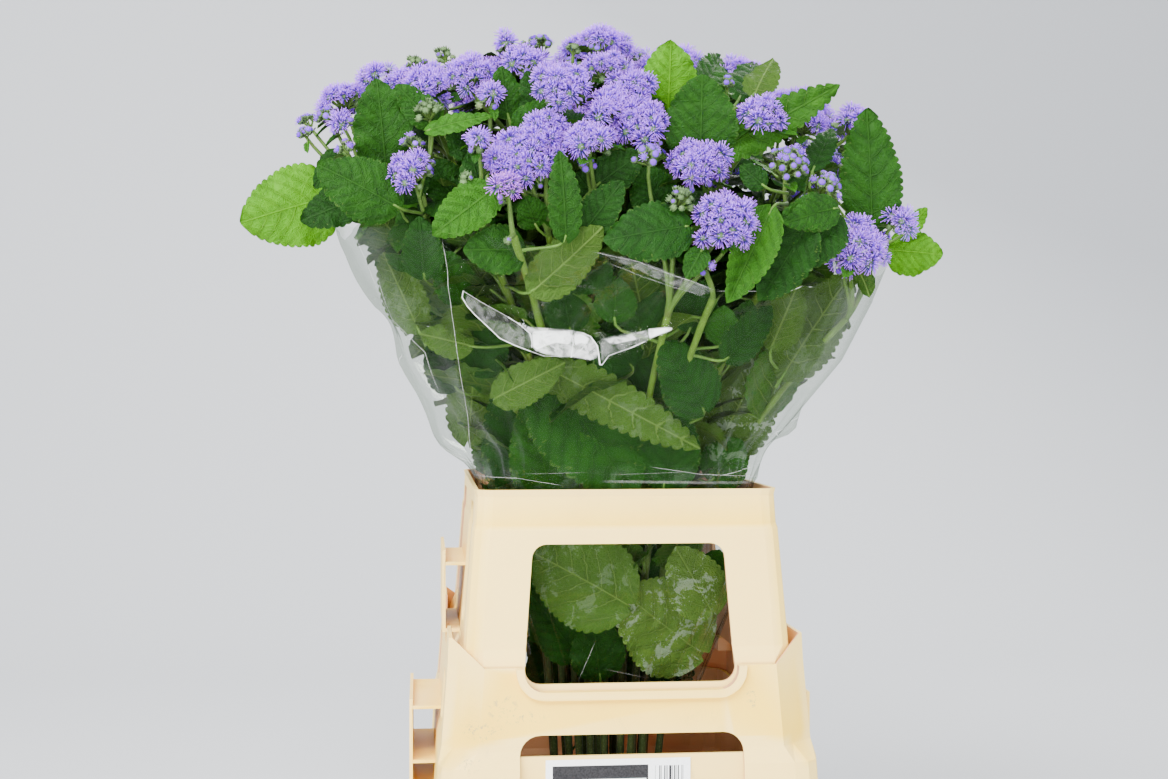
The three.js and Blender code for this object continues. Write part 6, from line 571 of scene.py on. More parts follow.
    [22, 2, "light", 122.5, -20.3, 602, 133.9, -18.4, 611.4, 0.907, 0.152, 0.392, -0.413, 0.148, 0.899, 69.1, 44.9, 1.169, 0.313],
    [21, 2, "mid", 25.2, -8.2, 593, 27.6, 0.3, 602.8, 0.222, 0.797, 0.562, 0.328, -0.604, 0.727, 64.6, 45.9, 0.938, 0.327],
    [22, 2, "dark", 122.5, -24, 608.8, 117.4, -38.9, 617.9, -0.314, -0.926, 0.211, -0.014, 0.227, 0.974, 70.8, 45.4, 0.338, 0.205],
    [20, 2, "under", -15.6, -10.3, 611.2, -20.1, -15.4, 616.1, -0.635, -0.7, 0.326, 0.211, 0.249, 0.945, 69.2, 47.7, 0.636, 0.325],
    [24, 2, "light", -27.6, 69.5, 507.1, -36, 83.5, 517.1, -0.498, 0.831, 0.247, 0.102, -0.227, 0.969, 83.4, 49.7, 0.362, 0.307],
    [20, 2, "light", -12.9, -8.6, 552.3, -19, -13.4, 557.1, -0.766, -0.594, 0.246, 0.183, 0.164, 0.969, 61.8, 43.2, 0.829, 0.105],
    [26, 2, "dark", 80.7, 48.1, 462.3, 89.6, 36.3, 472.6, 0.57, -0.759, 0.315, -0.197, 0.246, 0.949, 65.3, 40.1, 0.983, 0.114],
    [12, 2, "under", -115.2, -123, 576.7, -110.4, -131.3, 585, 0.456, -0.776, 0.436, -0.12, 0.432, 0.894, 58.1, 39.6, 0.853, 0.298],
    [21, 2, "dark", 30.5, -13.2, 631.3, 40.4, -18.3, 642.5, 0.762, -0.395, 0.513, -0.264, 0.533, 0.804, 74.6, 49, 1.212, 0.138],
    [12, 2, "light", -66.4, -64.7, 397.4, -75.4, -71.8, 413.1, -0.582, -0.455, 0.674, 0.656, 0.226, 0.72, 74.6, 45.4, 0.347, 0.296],
    [20, 2, "mid", -21.2, -9.5, 689.8, -31.9, -0.9, 697.6, -0.763, 0.612, 0.209, 0.297, 0.044, 0.954, 75.6, 45.9, 0.871, 0.182],
    [25, 2, "mid", 32.8, 92, 562.6, 28.4, 83.9, 572.9, -0.393, -0.723, 0.568, 0.713, 0.15, 0.685, 63.1, 36.9, 0.744, 0.23],
    [15, 2, "under", 64, -144, 605.4, 69.4, -163.3, 610.9, 0.269, -0.96, -0.079, -0.131, -0.118, 0.984, 76, 50.2, 0.952, 0.134],
    [10, 2, "under", -99.7, -121.7, 506.5, -104.7, -135.6, 518.7, -0.307, -0.861, 0.406, -0.18, 0.472, 0.863, 75.9, 49.3, 0.338, 0.297],
    [13, 2, "dark", 18.9, -130.9, 510.9, 17, -137, 519.2, -0.226, -0.733, 0.642, -0.153, 0.677, 0.719, 94.7, 55.3, 0.287, 0.109],
    [19, 2, "dark", -89.9, -5.7, 576.2, -103.3, -4, 588.8, -0.875, 0.112, 0.472, 0.482, 0.306, 0.821, 62.4, 43.9, 0.458, 0.11],
    [25, 2, "mid", 26, 74.2, 492.9, 29.8, 93.5, 500.7, 0.193, 0.98, 0.044, 0.211, -0.085, 0.974, 66.8, 50.1, 0.232, 0.079],
    [21, 2, "mid", 29, -11, 614.8, 44.4, -8.2, 622.7, 0.974, 0.174, 0.146, -0.193, 0.297, 0.935, 64.5, 38.5, 0.884, 0.19],
    [15, 2, "mid", 57, -132.3, 586, 49.3, -141.9, 599.2, -0.52, -0.654, 0.549, 0.703, 0.036, 0.71, 68.6, 47.7, 1.03, 0.069],
    [25, 2, "light", 31.6, 81.3, 524, 48.9, 85, 528.9, 0.975, 0.208, -0.078, -0.004, 0.364, 0.931, 81.2, 52.2, 0.786, 0.24],
    [20, 2, "mid", -21, -12.4, 686, -35.8, -22.7, 693.1, -0.818, -0.574, 0.046, 0.184, -0.185, 0.965, 55.5, 37.8, 0.273, 0.163],
    [26, 2, "dark", 107.9, 63.7, 533.4, 113.4, 50.7, 539.1, 0.387, -0.921, 0.055, -0.06, 0.034, 0.998, 58.5, 43.3, 0.51, 0.266],
    [4, 2, "mid", -24.5, -89, 678, -17.8, -97.4, 690.9, 0.497, -0.622, 0.605, -0.129, 0.636, 0.761, 60.3, 45.1, 0.945, 0.169],
    [22, 2, "mid", 67.4, -11.6, 450.2, 82.5, -13.9, 464.8, 0.866, -0.131, 0.482, -0.494, -0.37, 0.787, 82.2, 61.9, 0.541, 0.241],
    [23, 2, "mid", -113.6, 83.6, 614.2, -117.5, 99.9, 624.7, -0.223, 0.941, 0.255, -0.002, -0.262, 0.965, 74.4, 43.8, 1.006, 0.178],
    [19, 2, "light", -65, -3.5, 484.7, -75, -3, 492.9, -0.915, 0.045, 0.401, 0.369, -0.306, 0.877, 60.6, 42.2, 0.564, 0.164],
    [20, 2, "under", -18.8, -11.5, 658.4, -27.8, -18.7, 666.6, -0.737, -0.59, 0.329, 0.151, 0.331, 0.932, 79.8, 58.8, 1.065, 0.236],
    [26, 2, "light", 98, 60.1, 507.3, 108, 62.7, 512.3, 0.961, 0.243, 0.129, -0.044, -0.328, 0.944, 60.6, 39.3, 1.119, 0.416],
    [13, 2, "light", 21.7, -126.3, 506.3, 28.9, -127.9, 513.4, 0.855, -0.186, 0.484, -0.492, 0.004, 0.871, 61.8, 43.5, 0.349, 0.337],
    [21, 2, "mid", 35.7, -15.5, 675.3, 42.7, -19.8, 680.3, 0.829, -0.506, 0.237, -0.188, 0.147, 0.971, 71.1, 42, 0.532, 0.259],
    [20, 2, "mid", -19.1, -8.9, 657.5, -27.6, -5, 667.5, -0.763, 0.345, 0.548, 0.646, 0.365, 0.67, 65.2, 47.5, 0.645, 0.283],
    [19, 2, "mid", -104.6, -5.2, 619.3, -108.2, 3.4, 623.3, -0.384, 0.919, 0.084, 0.028, -0.079, 0.996, 73.5, 50.3, 0.797, 0.16],
    [16, 2, "dark", 106.9, -176.4, 563.4, 117.4, -170.5, 578.9, 0.672, 0.378, 0.637, -0.692, 0.017, 0.721, 62.9, 40.6, 0.542, 0.174],
    [21, 2, "under", 31.6, -12.4, 673.1, 23, -3.9, 686.5, -0.588, 0.579, 0.564, 0.517, -0.267, 0.813, 78, 50.8, 0.511, 0.236],
    [3, 2, "dark", -37, -100.5, 555.5, -45, -101.1, 559.4, -0.988, -0.068, 0.139, 0.082, 0.531, 0.843, 58.4, 44.3, 0.407, 0.336],
    [19, 2, "dark", -100.4, -8, 605.6, -111.8, -12.6, 613.4, -0.894, -0.362, 0.262, 0.273, 0.022, 0.962, 61.5, 44.9, 0.406, 0.112],
    [26, 2, "dark", 115.9, 73.1, 550.1, 119.3, 82.8, 557, 0.316, 0.902, 0.294, -0.026, -0.301, 0.953, 70.4, 46.7, 0.863, 0.231],
    [26, 2, "light", 72.7, 49, 440.3, 73.6, 64.6, 444.9, 0.059, 0.997, -0.058, 0.437, 0.027, 0.899, 76.3, 47.7, 0.336, 0.133],
    [25, 2, "under", 25.2, 68.7, 473.5, 32.4, 77.9, 475.4, 0.607, 0.771, -0.192, 0.228, 0.062, 0.972, 89.4, 67.8, 0.546, 0.144],
    [20, 2, "light", -19.3, -13.4, 684.6, -22, -27.1, 695.4, -0.179, -0.912, 0.369, 0.647, 0.173, 0.742, 62, 42.2, 0.673, 0.086],
    [26, 2, "light", 137.5, 84.9, 587.6, 140.9, 90.1, 595.2, 0.428, 0.667, 0.61, -0.214, -0.581, 0.786, 66.9, 46.6, 1.233, 0.338],
    [2, 2, "dark", -48.3, -65.4, 517.1, -55.9, -55.4, 531.9, -0.488, 0.639, 0.595, 0.264, -0.541, 0.798, 62.8, 40.3, 0.601, 0.159],
    [12, 2, "light", -134.2, -138.2, 608.3, -143.5, -139.3, 612.3, -0.99, -0.124, 0.072, 0.104, -0.273, 0.956, 57, 40.5, 0.745, 0.256],
    [8, 2, "mid", -57.6, -173.3, 567.5, -74.1, -179.6, 577.7, -0.914, -0.348, 0.21, 0.131, 0.236, 0.963, 70, 43.7, 0.214, 0.079],
    [26, 2, "mid", 124.1, 75.9, 563.1, 132.9, 81.1, 573, 0.746, 0.441, 0.499, -0.307, -0.437, 0.845, 66.7, 40.2, 0.29, 0.1],
    [22, 2, "dark", 112.4, -22.3, 588.7, 108.3, -38.5, 590.6, -0.241, -0.94, -0.242, -0.159, -0.208, 0.965, 89.9, 53.2, 0.344, 0.083],
    [16, 2, "under", 69.8, -117.1, 471.8, 75.9, -114.4, 477.4, 0.828, 0.377, 0.414, -0.545, 0.373, 0.751, 58.2, 40, 0.271, 0.119],
    [21, 2, "mid", 37.7, -17.9, 699.3, 40.2, -25.1, 706.2, 0.285, -0.844, 0.454, 0.48, 0.536, 0.695, 71.1, 50.9, 0.942, 0.387],
    [20, 2, "mid", -17.4, -7.5, 641.8, -29.4, 5.7, 651.7, -0.656, 0.728, 0.196, 0.122, -0.154, 0.981, 56.4, 36.5, 0.212, 0.15],
    [22, 2, "light", 142, -25.7, 637.5, 146.8, -28.8, 644.1, 0.681, -0.436, 0.589, -0.337, 0.528, 0.78, 54.6, 33.4, 0.683, 0.093],
    [24, 2, "dark", -33.1, 78.6, 553.2, -39.1, 65.5, 566.8, -0.366, -0.799, 0.478, 0.445, 0.301, 0.843, 78.4, 48.6, 0.943, 0.063],
    [5, 2, "mid", 5.1, -85.1, 566.6, 1.1, -98, 577.5, -0.274, -0.878, 0.393, -0.007, 0.411, 0.912, 59.8, 35.3, 0.226, 0.371],
    [23, 2, "dark", -93, 64.3, 563.7, -101.8, 57.6, 570.5, -0.769, -0.59, 0.245, 0.519, -0.352, 0.779, 59.1, 39.1, 0.341, 0.334],
    [15, 2, "mid", 66.7, -155.2, 623.8, 61.5, -161.3, 624.9, -0.631, -0.745, -0.217, -0.096, -0.202, 0.975, 87.1, 55.3, 0.503, 0.17],
    [1, 2, "mid", -119.7, -93.3, 631.5, -133.1, -97.4, 634.1, -0.943, -0.285, -0.171, -0.221, 0.153, 0.963, 76.8, 54.3, 0.161, 0.374],
    [4, 2, "mid", -27, -88.2, 674.6, -33.8, -104.8, 680, -0.377, -0.925, -0.053, -0.213, 0.031, 0.977, 58.2, 39.5, 0.243, 0.134],
    [3, 2, "mid", -48.3, -136.8, 620.3, -45.9, -145.1, 628.2, 0.25, -0.852, 0.46, 0.082, 0.492, 0.866, 56, 41.7, 0.291, 0.362],
    [22, 2, "dark", 123.6, -19.2, 605.6, 129.3, -13.6, 609.5, 0.71, 0.691, 0.138, 0.042, -0.236, 0.971, 58.4, 42.6, 0.336, 0.053],
    [4, 2, "light", -29, -88.2, 679.1, -43.2, -93.4, 682.4, -0.931, -0.34, -0.135, -0.171, 0.079, 0.982, 79.7, 47.8, 0.481, 0.158],
    [25, 2, "light", 32.3, 84.2, 531.2, 38.6, 87.1, 540.2, 0.7, 0.318, 0.64, -0.683, 0.033, 0.73, 36.6, 22.4, 0.379, 0.129],
    [23, 2, "dark", -91.3, 63.9, 557.8, -110.1, 60.8, 566.5, -0.981, -0.163, 0.104, 0.022, 0.441, 0.897, 36.3, 25.3, 0.521, 0.313],
    [10, 2, "mid", -105.8, -125.4, 516, -115.3, -129.3, 521.8, -0.906, -0.375, 0.198, 0.165, 0.119, 0.979, 46.6, 29, 0.182, 0.271],
    [22, 2, "dark", 109.5, -16.2, 580.1, 112, -2.8, 591.4, 0.169, 0.897, 0.408, -0.067, -0.403, 0.913, 66.1, 47.7, 0.616, 0.372],
    [16, 2, "mid", 106.8, -177.5, 566.2, 109.7, -169, 570.7, 0.319, 0.937, 0.145, 0.174, -0.209, 0.962, 48.6, 36.4, 0.604, 0.271],
    [19, 2, "under", -112.3, -9.6, 634.7, -120.6, -15, 641, -0.808, -0.527, 0.264, 0.478, -0.324, 0.817, 51.4, 35.7, 0.27, 0.101],
    [24, 2, "dark", -34.8, 93.7, 587.8, -27, 94.4, 595.4, 0.863, 0.08, 0.499, -0.454, -0.312, 0.835, 72.9, 54.1, 0.725, 0.093],
    [16, 2, "light", 72.3, -130, 489.3, 70.5, -135.2, 496.1, -0.253, -0.741, 0.622, 0.2, 0.589, 0.783, 36.8, 21.4, 0.84, 0.27],
    [12, 2, "light", -68.1, -63.6, 406.1, -76.7, -58.3, 417.9, -0.688, 0.42, 0.593, 0.108, -0.748, 0.655, 44, 26, 0.522, 0.184],
    [20, 2, "light", -12.9, -9.6, 567.7, -22.7, -26, 574, -0.512, -0.859, -0.022, 0.007, -0.03, 1, 42.4, 27.5, 0.63, 0.174],
    [22, 2, "mid", 117.7, -18.6, 601.3, 109.5, -8.2, 618.6, -0.47, 0.595, 0.652, 0.59, -0.339, 0.733, 60.8, 40.6, 0.983, 0.105],
    [11, 2, "mid", -73, -140.8, 499, -78.2, -147.6, 506.8, -0.538, -0.708, 0.458, 0.442, 0.226, 0.868, 67.9, 44.5, 0.308, 0.405],
    [3, 2, "under", -38.3, -108.5, 568.2, -45.9, -120.7, 578.5, -0.498, -0.804, 0.326, -0.226, 0.483, 0.846, 56.6, 42.4, 0.925, 0.315],
    [1, 2, "light", -94.6, -75.3, 584.7, -85.6, -69.1, 592.3, 0.783, 0.541, 0.308, -0.117, -0.357, 0.927, 52.2, 32.8, 0.763, 0.233],
    [16, 2, "dark", 75.2, -134, 496.2, 74, -146.4, 511.9, -0.079, -0.772, 0.631, 0.342, 0.573, 0.744, 44.7, 33.8, 0.461, 0.205],
    [15, 2, "mid", 53.1, -120, 569.8, 47.6, -114.7, 576.3, -0.65, 0.635, 0.418, 0.136, -0.443, 0.886, 55.7, 39.4, 0.789, 0.386],
    [0, 2, "dark", -121.6, -39.5, 521.1, -123.7, -31.5, 532.6, -0.194, 0.707, 0.68, -0.055, -0.7, 0.712, 78.7, 47, 0.528, 0.278],
    [2, 2, "light", -68.9, -96.3, 610, -79.1, -105.1, 620.4, -0.706, -0.605, 0.369, 0.077, 0.452, 0.889, 43.9, 32.6, 0.493, 0.306],
    [23, 2, "dark", -117.3, 86.9, 626.9, -112.1, 90.2, 634.1, 0.679, 0.434, 0.592, -0.516, -0.292, 0.805, 48.6, 36.6, 0.2, 0.055],
    [24, 2, "light", -31.1, 79, 539.6, -36.9, 94.8, 545.6, -0.347, 0.938, 0.005, -0.418, -0.16, 0.894, 61.5, 43.1, 0.209, 0.097],
    [16, 2, "dark", 92.7, -163, 544.7, 75.1, -162.2, 549.1, -0.993, 0.047, -0.105, -0.114, -0.257, 0.96, 39.9, 25.1, 0.526, 0.241],
    [7, 2, "mid", -19.4, -158.9, 552.1, -14, -172.7, 567.8, 0.306, -0.782, 0.543, -0.272, 0.474, 0.837, 57.5, 39.2, 0.237, 0.078],
    [5, 2, "under", 6, -84.3, 564.2, 6.1, -92.6, 567.8, 0.012, -0.996, 0.091, -0.023, 0.09, 0.996, 53.4, 31.9, 0.781, 0.261],
    [17, 2, "mid", 66, -73.1, 341.4, 69.6, -81.7, 345, 0.389, -0.92, 0.037, -0.208, -0.049, 0.977, 40.6, 27.6, 0.939, 0.413],
    [16, 2, "mid", 47.5, -81.3, 379.4, 54.2, -76.4, 381.9, 0.806, 0.59, -0.05, -0.038, 0.136, 0.99, 36, 26.5, 0.259, 0.223],
    [22, 2, "mid", 100.7, -20.1, 564.9, 95.7, -28.5, 572.1, -0.483, -0.807, 0.339, 0.122, 0.321, 0.939, 39.1, 24, 0.683, 0.095],
    [18, 2, "mid", 39.8, -150.7, 474, 45.6, -131.3, 477.1, 0.282, 0.938, -0.2, -0.052, 0.223, 0.973, 41.4, 26.1, 0.167, 0.137],
    [1, 2, "mid", -91.8, -72, 566.1, -102.8, -75.6, 572.9, -0.928, -0.302, 0.217, 0.216, 0.038, 0.976, 46.4, 34.4, 0.763, 0.12],
    [5, 2, "under", 4.6, -119, 641, 10.8, -127.4, 654.1, 0.462, -0.624, 0.631, 0.141, 0.754, 0.642, 39, 24, 0.799, 0.125],
    [16, 2, "dark", 103.1, -179.2, 562.1, 101.3, -185.2, 569.5, -0.227, -0.765, 0.602, -0.039, 0.625, 0.78, 38.8, 26.3, 0.452, 0.086],
    [16, 2, "dark", 47.7, -84.4, 379.9, 54.8, -88.6, 389.9, 0.681, -0.4, 0.614, -0.474, 0.398, 0.785, 38.3, 26.5, 0.471, 0.392],
    [18, 2, "mid", 41.4, -156.3, 481.7, 44.7, -147.5, 488.9, 0.326, 0.871, 0.367, 0.032, -0.398, 0.917, 46.8, 28.3, 0.17, 0.125],
    [19, 2, "light", -85.9, -3.4, 568.5, -88.3, 2.4, 574.6, -0.343, 0.799, 0.494, 0.243, -0.433, 0.868, 70.2, 42.4, 0.154, 0.35],
    [21, 2, "light", 24.1, -9.4, 606.8, 17.2, -2.7, 610.3, -0.722, 0.692, 0.002, -0.184, -0.194, 0.964, 60.5, 40.3, 0.357, 0.065],
    [18, 2, "under", 36.4, -133.1, 444.1, 51.1, -127.7, 450, 0.939, 0.343, 0.025, -0.131, 0.289, 0.948, 38.7, 26.8, 1.243, 0.207],
    [19, 2, "mid", -93.8, -6.5, 601, -82.9, -5, 609.1, 0.931, 0.126, 0.343, -0.3, -0.275, 0.913, 36.2, 24.1, 0.398, 0.169],
    [7, 2, "dark", -21.7, -154.5, 552, -27.5, -145.9, 554.5, -0.554, 0.824, -0.115, 0.125, 0.219, 0.968, 42.3, 27.8, 0.482, 0.398],
    [12, 2, "dark", -86.1, -90.9, 498.7, -79.3, -99.5, 500.1, 0.604, -0.765, -0.224, 0.33, -0.015, 0.944, 45.6, 31.1, 0.28, 0.291],
    [17, 2, "under", 108.4, -115.7, 456.1, 99.1, -115.7, 460.3, -0.996, 0.003, 0.093, 0.091, -0.187, 0.978, 38.3, 23, 0.913, 0.213],
    [5, 2, "dark", 5.2, -114.1, 632, 13, -123.2, 634.4, 0.644, -0.75, -0.151, 0.077, -0.133, 0.988, 41.1, 29.5, 0.723, 0.167],
    [25, 2, "light", 32.2, 86.1, 534.6, 41.6, 95.1, 547.9, 0.616, 0.589, 0.523, -0.537, -0.171, 0.826, 39.1, 24.2, 0.214, 0.261],
    [12, 2, "mid", -130, -136, 601.7, -142.6, -151.4, 607.5, -0.635, -0.77, -0.063, -0.042, -0.047, 0.998, 56.8, 34.1, 1.154, 0.13],
    [1, 2, "mid", -104.1, -79.7, 597.9, -113.9, -74.8, 611.1, -0.706, 0.357, 0.611, 0.438, -0.458, 0.774, 37.9, 26.7, 0.526, 0.216],
    [18, 2, "light", 20.2, -89.3, 333.9, 15.1, -93.6, 340.7, -0.654, -0.547, 0.523, 0.115, 0.611, 0.783, 56.7, 35.4, 0.281, 0.312],
    [1, 2, "dark", -121.1, -93.3, 639.7, -118.8, -77.7, 642.8, 0.143, 0.978, -0.155, -0.197, 0.182, 0.964, 45, 33.4, 0.212, 0.138],
    [18, 2, "dark", 53.7, -200.1, 532.5, 61.6, -194.4, 545.1, 0.623, 0.449, 0.641, -0.635, -0.188, 0.749, 39.4, 28.2, 0.667, 0.255],
    [0, 2, "dark", -143.8, -50.7, 564.1, -132, -53.1, 577.7, 0.801, -0.165, 0.575, -0.581, 0.018, 0.814, 40.8, 25.5, 0.76, 0.332],
    [21, 2, "under", 26, -10.7, 583, 40.2, -13.9, 596.2, 0.868, -0.195, 0.456, -0.475, -0.062, 0.878, 36.9, 24.8, 0.432, 0.136],
    [10, 2, "dark", -94.8, -115.1, 494.2, -99.8, -122.4, 503.1, -0.485, -0.708, 0.513, 0.452, 0.299, 0.84, 44, 26.4, 0.307, 0.228],
    [12, 2, "light", -128.6, -136.9, 607, -120.4, -136.4, 614.3, 0.894, 0.063, 0.445, -0.446, 0.017, 0.895, 50.2, 36.2, 1.147, 0.249],
    [21, 2, "dark", 29.5, -11.1, 619.2, 38.4, -9.4, 627.6, 0.87, 0.17, 0.464, -0.459, -0.067, 0.886, 35.3, 25.3, 0.704, 0.299],
    [24, 2, "under", -22.8, 62.9, 478.6, -19.9, 78.8, 480.7, 0.176, 0.958, -0.228, 0.04, 0.224, 0.974, 71.2, 43.3, 1.048, 0.14],
    [15, 2, "mid", 65.3, -141.3, 608.3, 73.2, -128, 621.5, 0.464, 0.777, 0.425, -0.06, -0.451, 0.89, 65.8, 47.8, 0.742, 0.292],
    [17, 2, "mid", 131.9, -135.2, 491.5, 125.6, -124.6, 507.6, -0.385, 0.657, 0.648, 0.473, -0.462, 0.75, 56, 32.6, 1.135, 0.278],
    [19, 2, "mid", -103.8, -6.1, 624.2, -90.4, 5.6, 632, 0.751, 0.655, 0.086, 0.408, -0.562, 0.719, 42.3, 25.5, 0.921, 0.229],
    [11, 2, "mid", -63.9, -120.6, 465.4, -81.9, -122.4, 476.9, -0.96, -0.094, 0.263, 0.211, 0.373, 0.904, 70.9, 50.2, 0.156, 0.26],
    [3, 2, "mid", -54, -142.9, 631.2, -59.9, -148.8, 634, -0.707, -0.707, -0.021, -0.157, 0.128, 0.979, 57.6, 37.4, 1.238, 0.138],
    [23, 2, "dark", -84.4, 58.5, 539.4, -101.5, 49, 548.8, -0.865, -0.485, 0.128, 0.126, 0.036, 0.991, 57.1, 37.7, 0.783, 0.057],
    [24, 2, "mid", -18.5, 42.3, 376.8, -26.6, 39.7, 388.3, -0.717, -0.229, 0.658, 0.576, 0.337, 0.745, 83.5, 56.4, 0.206, 0.055],
    [4, 2, "under", -23.6, -81.9, 656.6, -21.4, -91.1, 668.4, 0.185, -0.762, 0.621, -0.102, 0.613, 0.783, 34.7, 20.9, 0.521, 0.21],
    [5, 2, "dark", 5.9, -72.3, 545.4, 3.8, -63.9, 553.4, -0.214, 0.857, 0.469, 0.297, -0.401, 0.867, 39.2, 26.4, 1.046, 0.165],
    [25, 2, "dark", 44.6, 114.6, 609.2, 59.4, 113.9, 620.3, 0.936, -0.046, 0.348, -0.344, 0.089, 0.935, 35.6, 23.7, 1.102, 0.203],
    [20, 2, "under", -17.4, -13, 682, -14.4, -18.7, 690.8, 0.354, -0.657, 0.665, -0.155, 0.66, 0.735, 69.5, 49.8, 0.654, 0.385],
    [21, 2, "dark", 26.9, -8.9, 603, 31.4, -2.2, 609.5, 0.513, 0.763, 0.393, 0.11, -0.512, 0.852, 32.7, 23.3, 0.376, 0.179],
    [0, 2, "dark", -177.5, -57.4, 605.4, -181.4, -47, 620.5, -0.264, 0.698, 0.666, -0.13, -0.71, 0.692, 42.9, 26.2, 0.769, 0.104],
    [10, 2, "mid", -124.8, -147.7, 551.6, -133.1, -152.7, 562.4, -0.702, -0.431, 0.567, 0.563, 0.153, 0.812, 54.3, 37.9, 0.647, 0.158],
    [10, 2, "mid", -60.1, -73.7, 383, -67.4, -77.8, 394.3, -0.655, -0.362, 0.664, 0.72, -0.031, 0.693, 37.2, 27.7, 0.261, 0.293],
    [26, 2, "dark", 118.9, 70.5, 553, 131, 65.2, 558.2, 0.915, -0.402, 0.041, 0.077, 0.272, 0.959, 55.3, 36.3, 0.855, 0.134],
    [19, 2, "mid", -91.7, -8.6, 592.4, -86.6, -16.2, 596.9, 0.553, -0.822, 0.135, 0.065, 0.204, 0.977, 49.9, 29.8, 0.639, 0.155],
    [21, 2, "mid", 25.6, -13.5, 618, 13.8, -29.7, 625.2, -0.587, -0.809, 0.006, -0.018, 0.02, 1, 38.6, 25.5, 0.877, 0.249],
    [22, 2, "mid", 99, -16.4, 550.8, 119.7, -14.1, 553.9, 0.973, 0.107, -0.206, 0.217, -0.106, 0.97, 56.4, 39.1, 0.585, 0.302],
    [7, 2, "mid", -21.2, -154.7, 546, -29.5, -165.9, 557.6, -0.543, -0.731, 0.413, 0.387, 0.218, 0.896, 40.6, 29.5, 0.333, 0.204],
    [9, 2, "under", -75.1, -196.6, 552.4, -72.7, -189.1, 554.9, 0.298, 0.954, -0.028, 0.354, -0.083, 0.932, 41.4, 30.3, 1.224, 0.066],
    [23, 2, "dark", -102.5, 76.6, 592.4, -100.8, 89.2, 601.3, 0.126, 0.941, 0.314, 0.274, -0.337, 0.901, 74.7, 45.7, 0.561, 0.182],
    [21, 2, "dark", 36.3, -13.1, 697.4, 34.1, 2.3, 709.1, -0.135, 0.926, 0.353, -0.306, -0.378, 0.874, 34.5, 26.1, 1.039, 0.232],
    [2, 2, "under", -76.9, -104.1, 639, -81.9, -97.9, 641.4, -0.628, 0.777, -0.05, 0.052, 0.105, 0.993, 55.3, 36.6, 0.335, 0.12],
    [11, 2, "mid", -90.8, -172.7, 545.9, -99.8, -181.7, 560.8, -0.57, -0.569, 0.593, 0.58, 0.233, 0.781, 46.5, 28.9, 1.106, 0.102],
    [15, 2, "dark", 58.2, -124.6, 579.4, 66.7, -109.9, 591.4, 0.472, 0.822, 0.32, -0.32, -0.178, 0.931, 39.9, 23.3, 0.479, 0.369],
    [9, 2, "mid", -44.2, -119.5, 431.2, -48.5, -122.7, 437.1, -0.663, -0.49, 0.566, 0.155, 0.65, 0.744, 41.3, 24.5, 1.144, 0.281],
    [4, 2, "mid", -27.1, -80.4, 665.8, -34.9, -72.4, 669.7, -0.701, 0.713, 0.002, -0.046, -0.048, 0.998, 37.1, 22, 0.44, 0.056],
    [25, 2, "dark", 27.4, 81.6, 518.4, 21.5, 99.3, 527.6, -0.312, 0.941, 0.134, 0.215, -0.068, 0.974, 58.6, 38.7, 0.822, 0.081],
    [4, 2, "light", -22.6, -67.8, 613, -29.2, -75.9, 618.6, -0.618, -0.767, 0.171, 0.489, -0.205, 0.848, 41, 26.1, 1.205, 0.316],
    [1, 2, "dark", -59.8, -47.9, 449.7, -67.4, -51.9, 453.6, -0.883, -0.459, 0.097, 0.299, -0.392, 0.87, 36.2, 24.8, 0.512, 0.278],
    [7, 2, "dark", -17, -137.2, 514.4, -16.2, -147.7, 520.1, 0.074, -0.982, 0.176, -0.158, 0.163, 0.974, 37.8, 22.8, 0.613, 0.266],
    [0, 2, "light", -118.6, -38.7, 513.5, -125.7, -29.9, 517.6, -0.628, 0.778, 0.008, 0.269, 0.207, 0.941, 37.6, 27.5, 0.829, 0.313],
    [4, 2, "light", -22.9, -75.7, 637.7, -23.7, -89.7, 649, -0.055, -0.917, 0.395, -0.175, 0.398, 0.9, 34.2, 20.4, 0.447, 0.259],
    [20, 2, "light", -11.6, -7.3, 610.8, -2.3, -2.2, 620, 0.793, 0.432, 0.43, -0.436, -0.089, 0.895, 58, 44, 0.493, 0.293],
    [25, 2, "mid", 41.2, 120.8, 619.1, 29.7, 125.9, 628.5, -0.858, 0.378, 0.347, 0.378, 0.008, 0.926, 37.4, 21.8, 0.251, 0.346],
    [2, 2, "mid", -60.5, -88.7, 585.3, -59.8, -94.6, 590.8, 0.097, -0.88, 0.466, 0.392, 0.464, 0.794, 41.7, 24.6, 0.194, 0.101],
    [20, 2, "light", -16.2, -7.2, 651.5, -15.1, 4.8, 662.9, 0.08, 0.873, 0.481, -0.005, -0.482, 0.876, 45.3, 28.7, 0.679, 0.338],
    [15, 2, "mid", 64.5, -138, 601.2, 73.2, -134, 609.2, 0.826, 0.385, 0.413, -0.559, 0.459, 0.69, 42.7, 30.3, 0.517, 0.298],
    [18, 2, "light", 21.6, -90.1, 333.7, 18.9, -105.4, 344.7, -0.167, -0.933, 0.32, -0.68, 0.344, 0.648, 38.9, 24.3, 0.253, 0.071],
    [26, 2, "under", 83, 50.9, 466.3, 94.4, 51, 474.1, 0.952, 0.008, 0.306, -0.306, 0.071, 0.949, 53.9, 40.8, 0.527, 0.182],
    [26, 2, "light", 138.5, 82.6, 593.5, 133.8, 75, 595.8, -0.521, -0.848, -0.098, -0.174, -0.007, 0.985, 59.2, 37.9, 1.212, 0.157],
    [22, 2, "light", 100.2, -16.8, 553.7, 107.6, -16.7, 563.1, 0.772, 0.016, 0.635, -0.633, -0.062, 0.771, 68.7, 45.5, 1.057, 0.075],
    [13, 2, "mid", 27.1, -178.8, 577.9, 30.5, -185.8, 579.9, 0.433, -0.897, -0.092, -0.051, -0.126, 0.991, 41.8, 31.4, 0.733, 0.063],
    [15, 2, "mid", 58.3, -124.3, 574.3, 65.9, -124.9, 584.2, 0.766, -0.066, 0.639, -0.629, 0.128, 0.767, 37.8, 27.2, 0.838, 0.374],
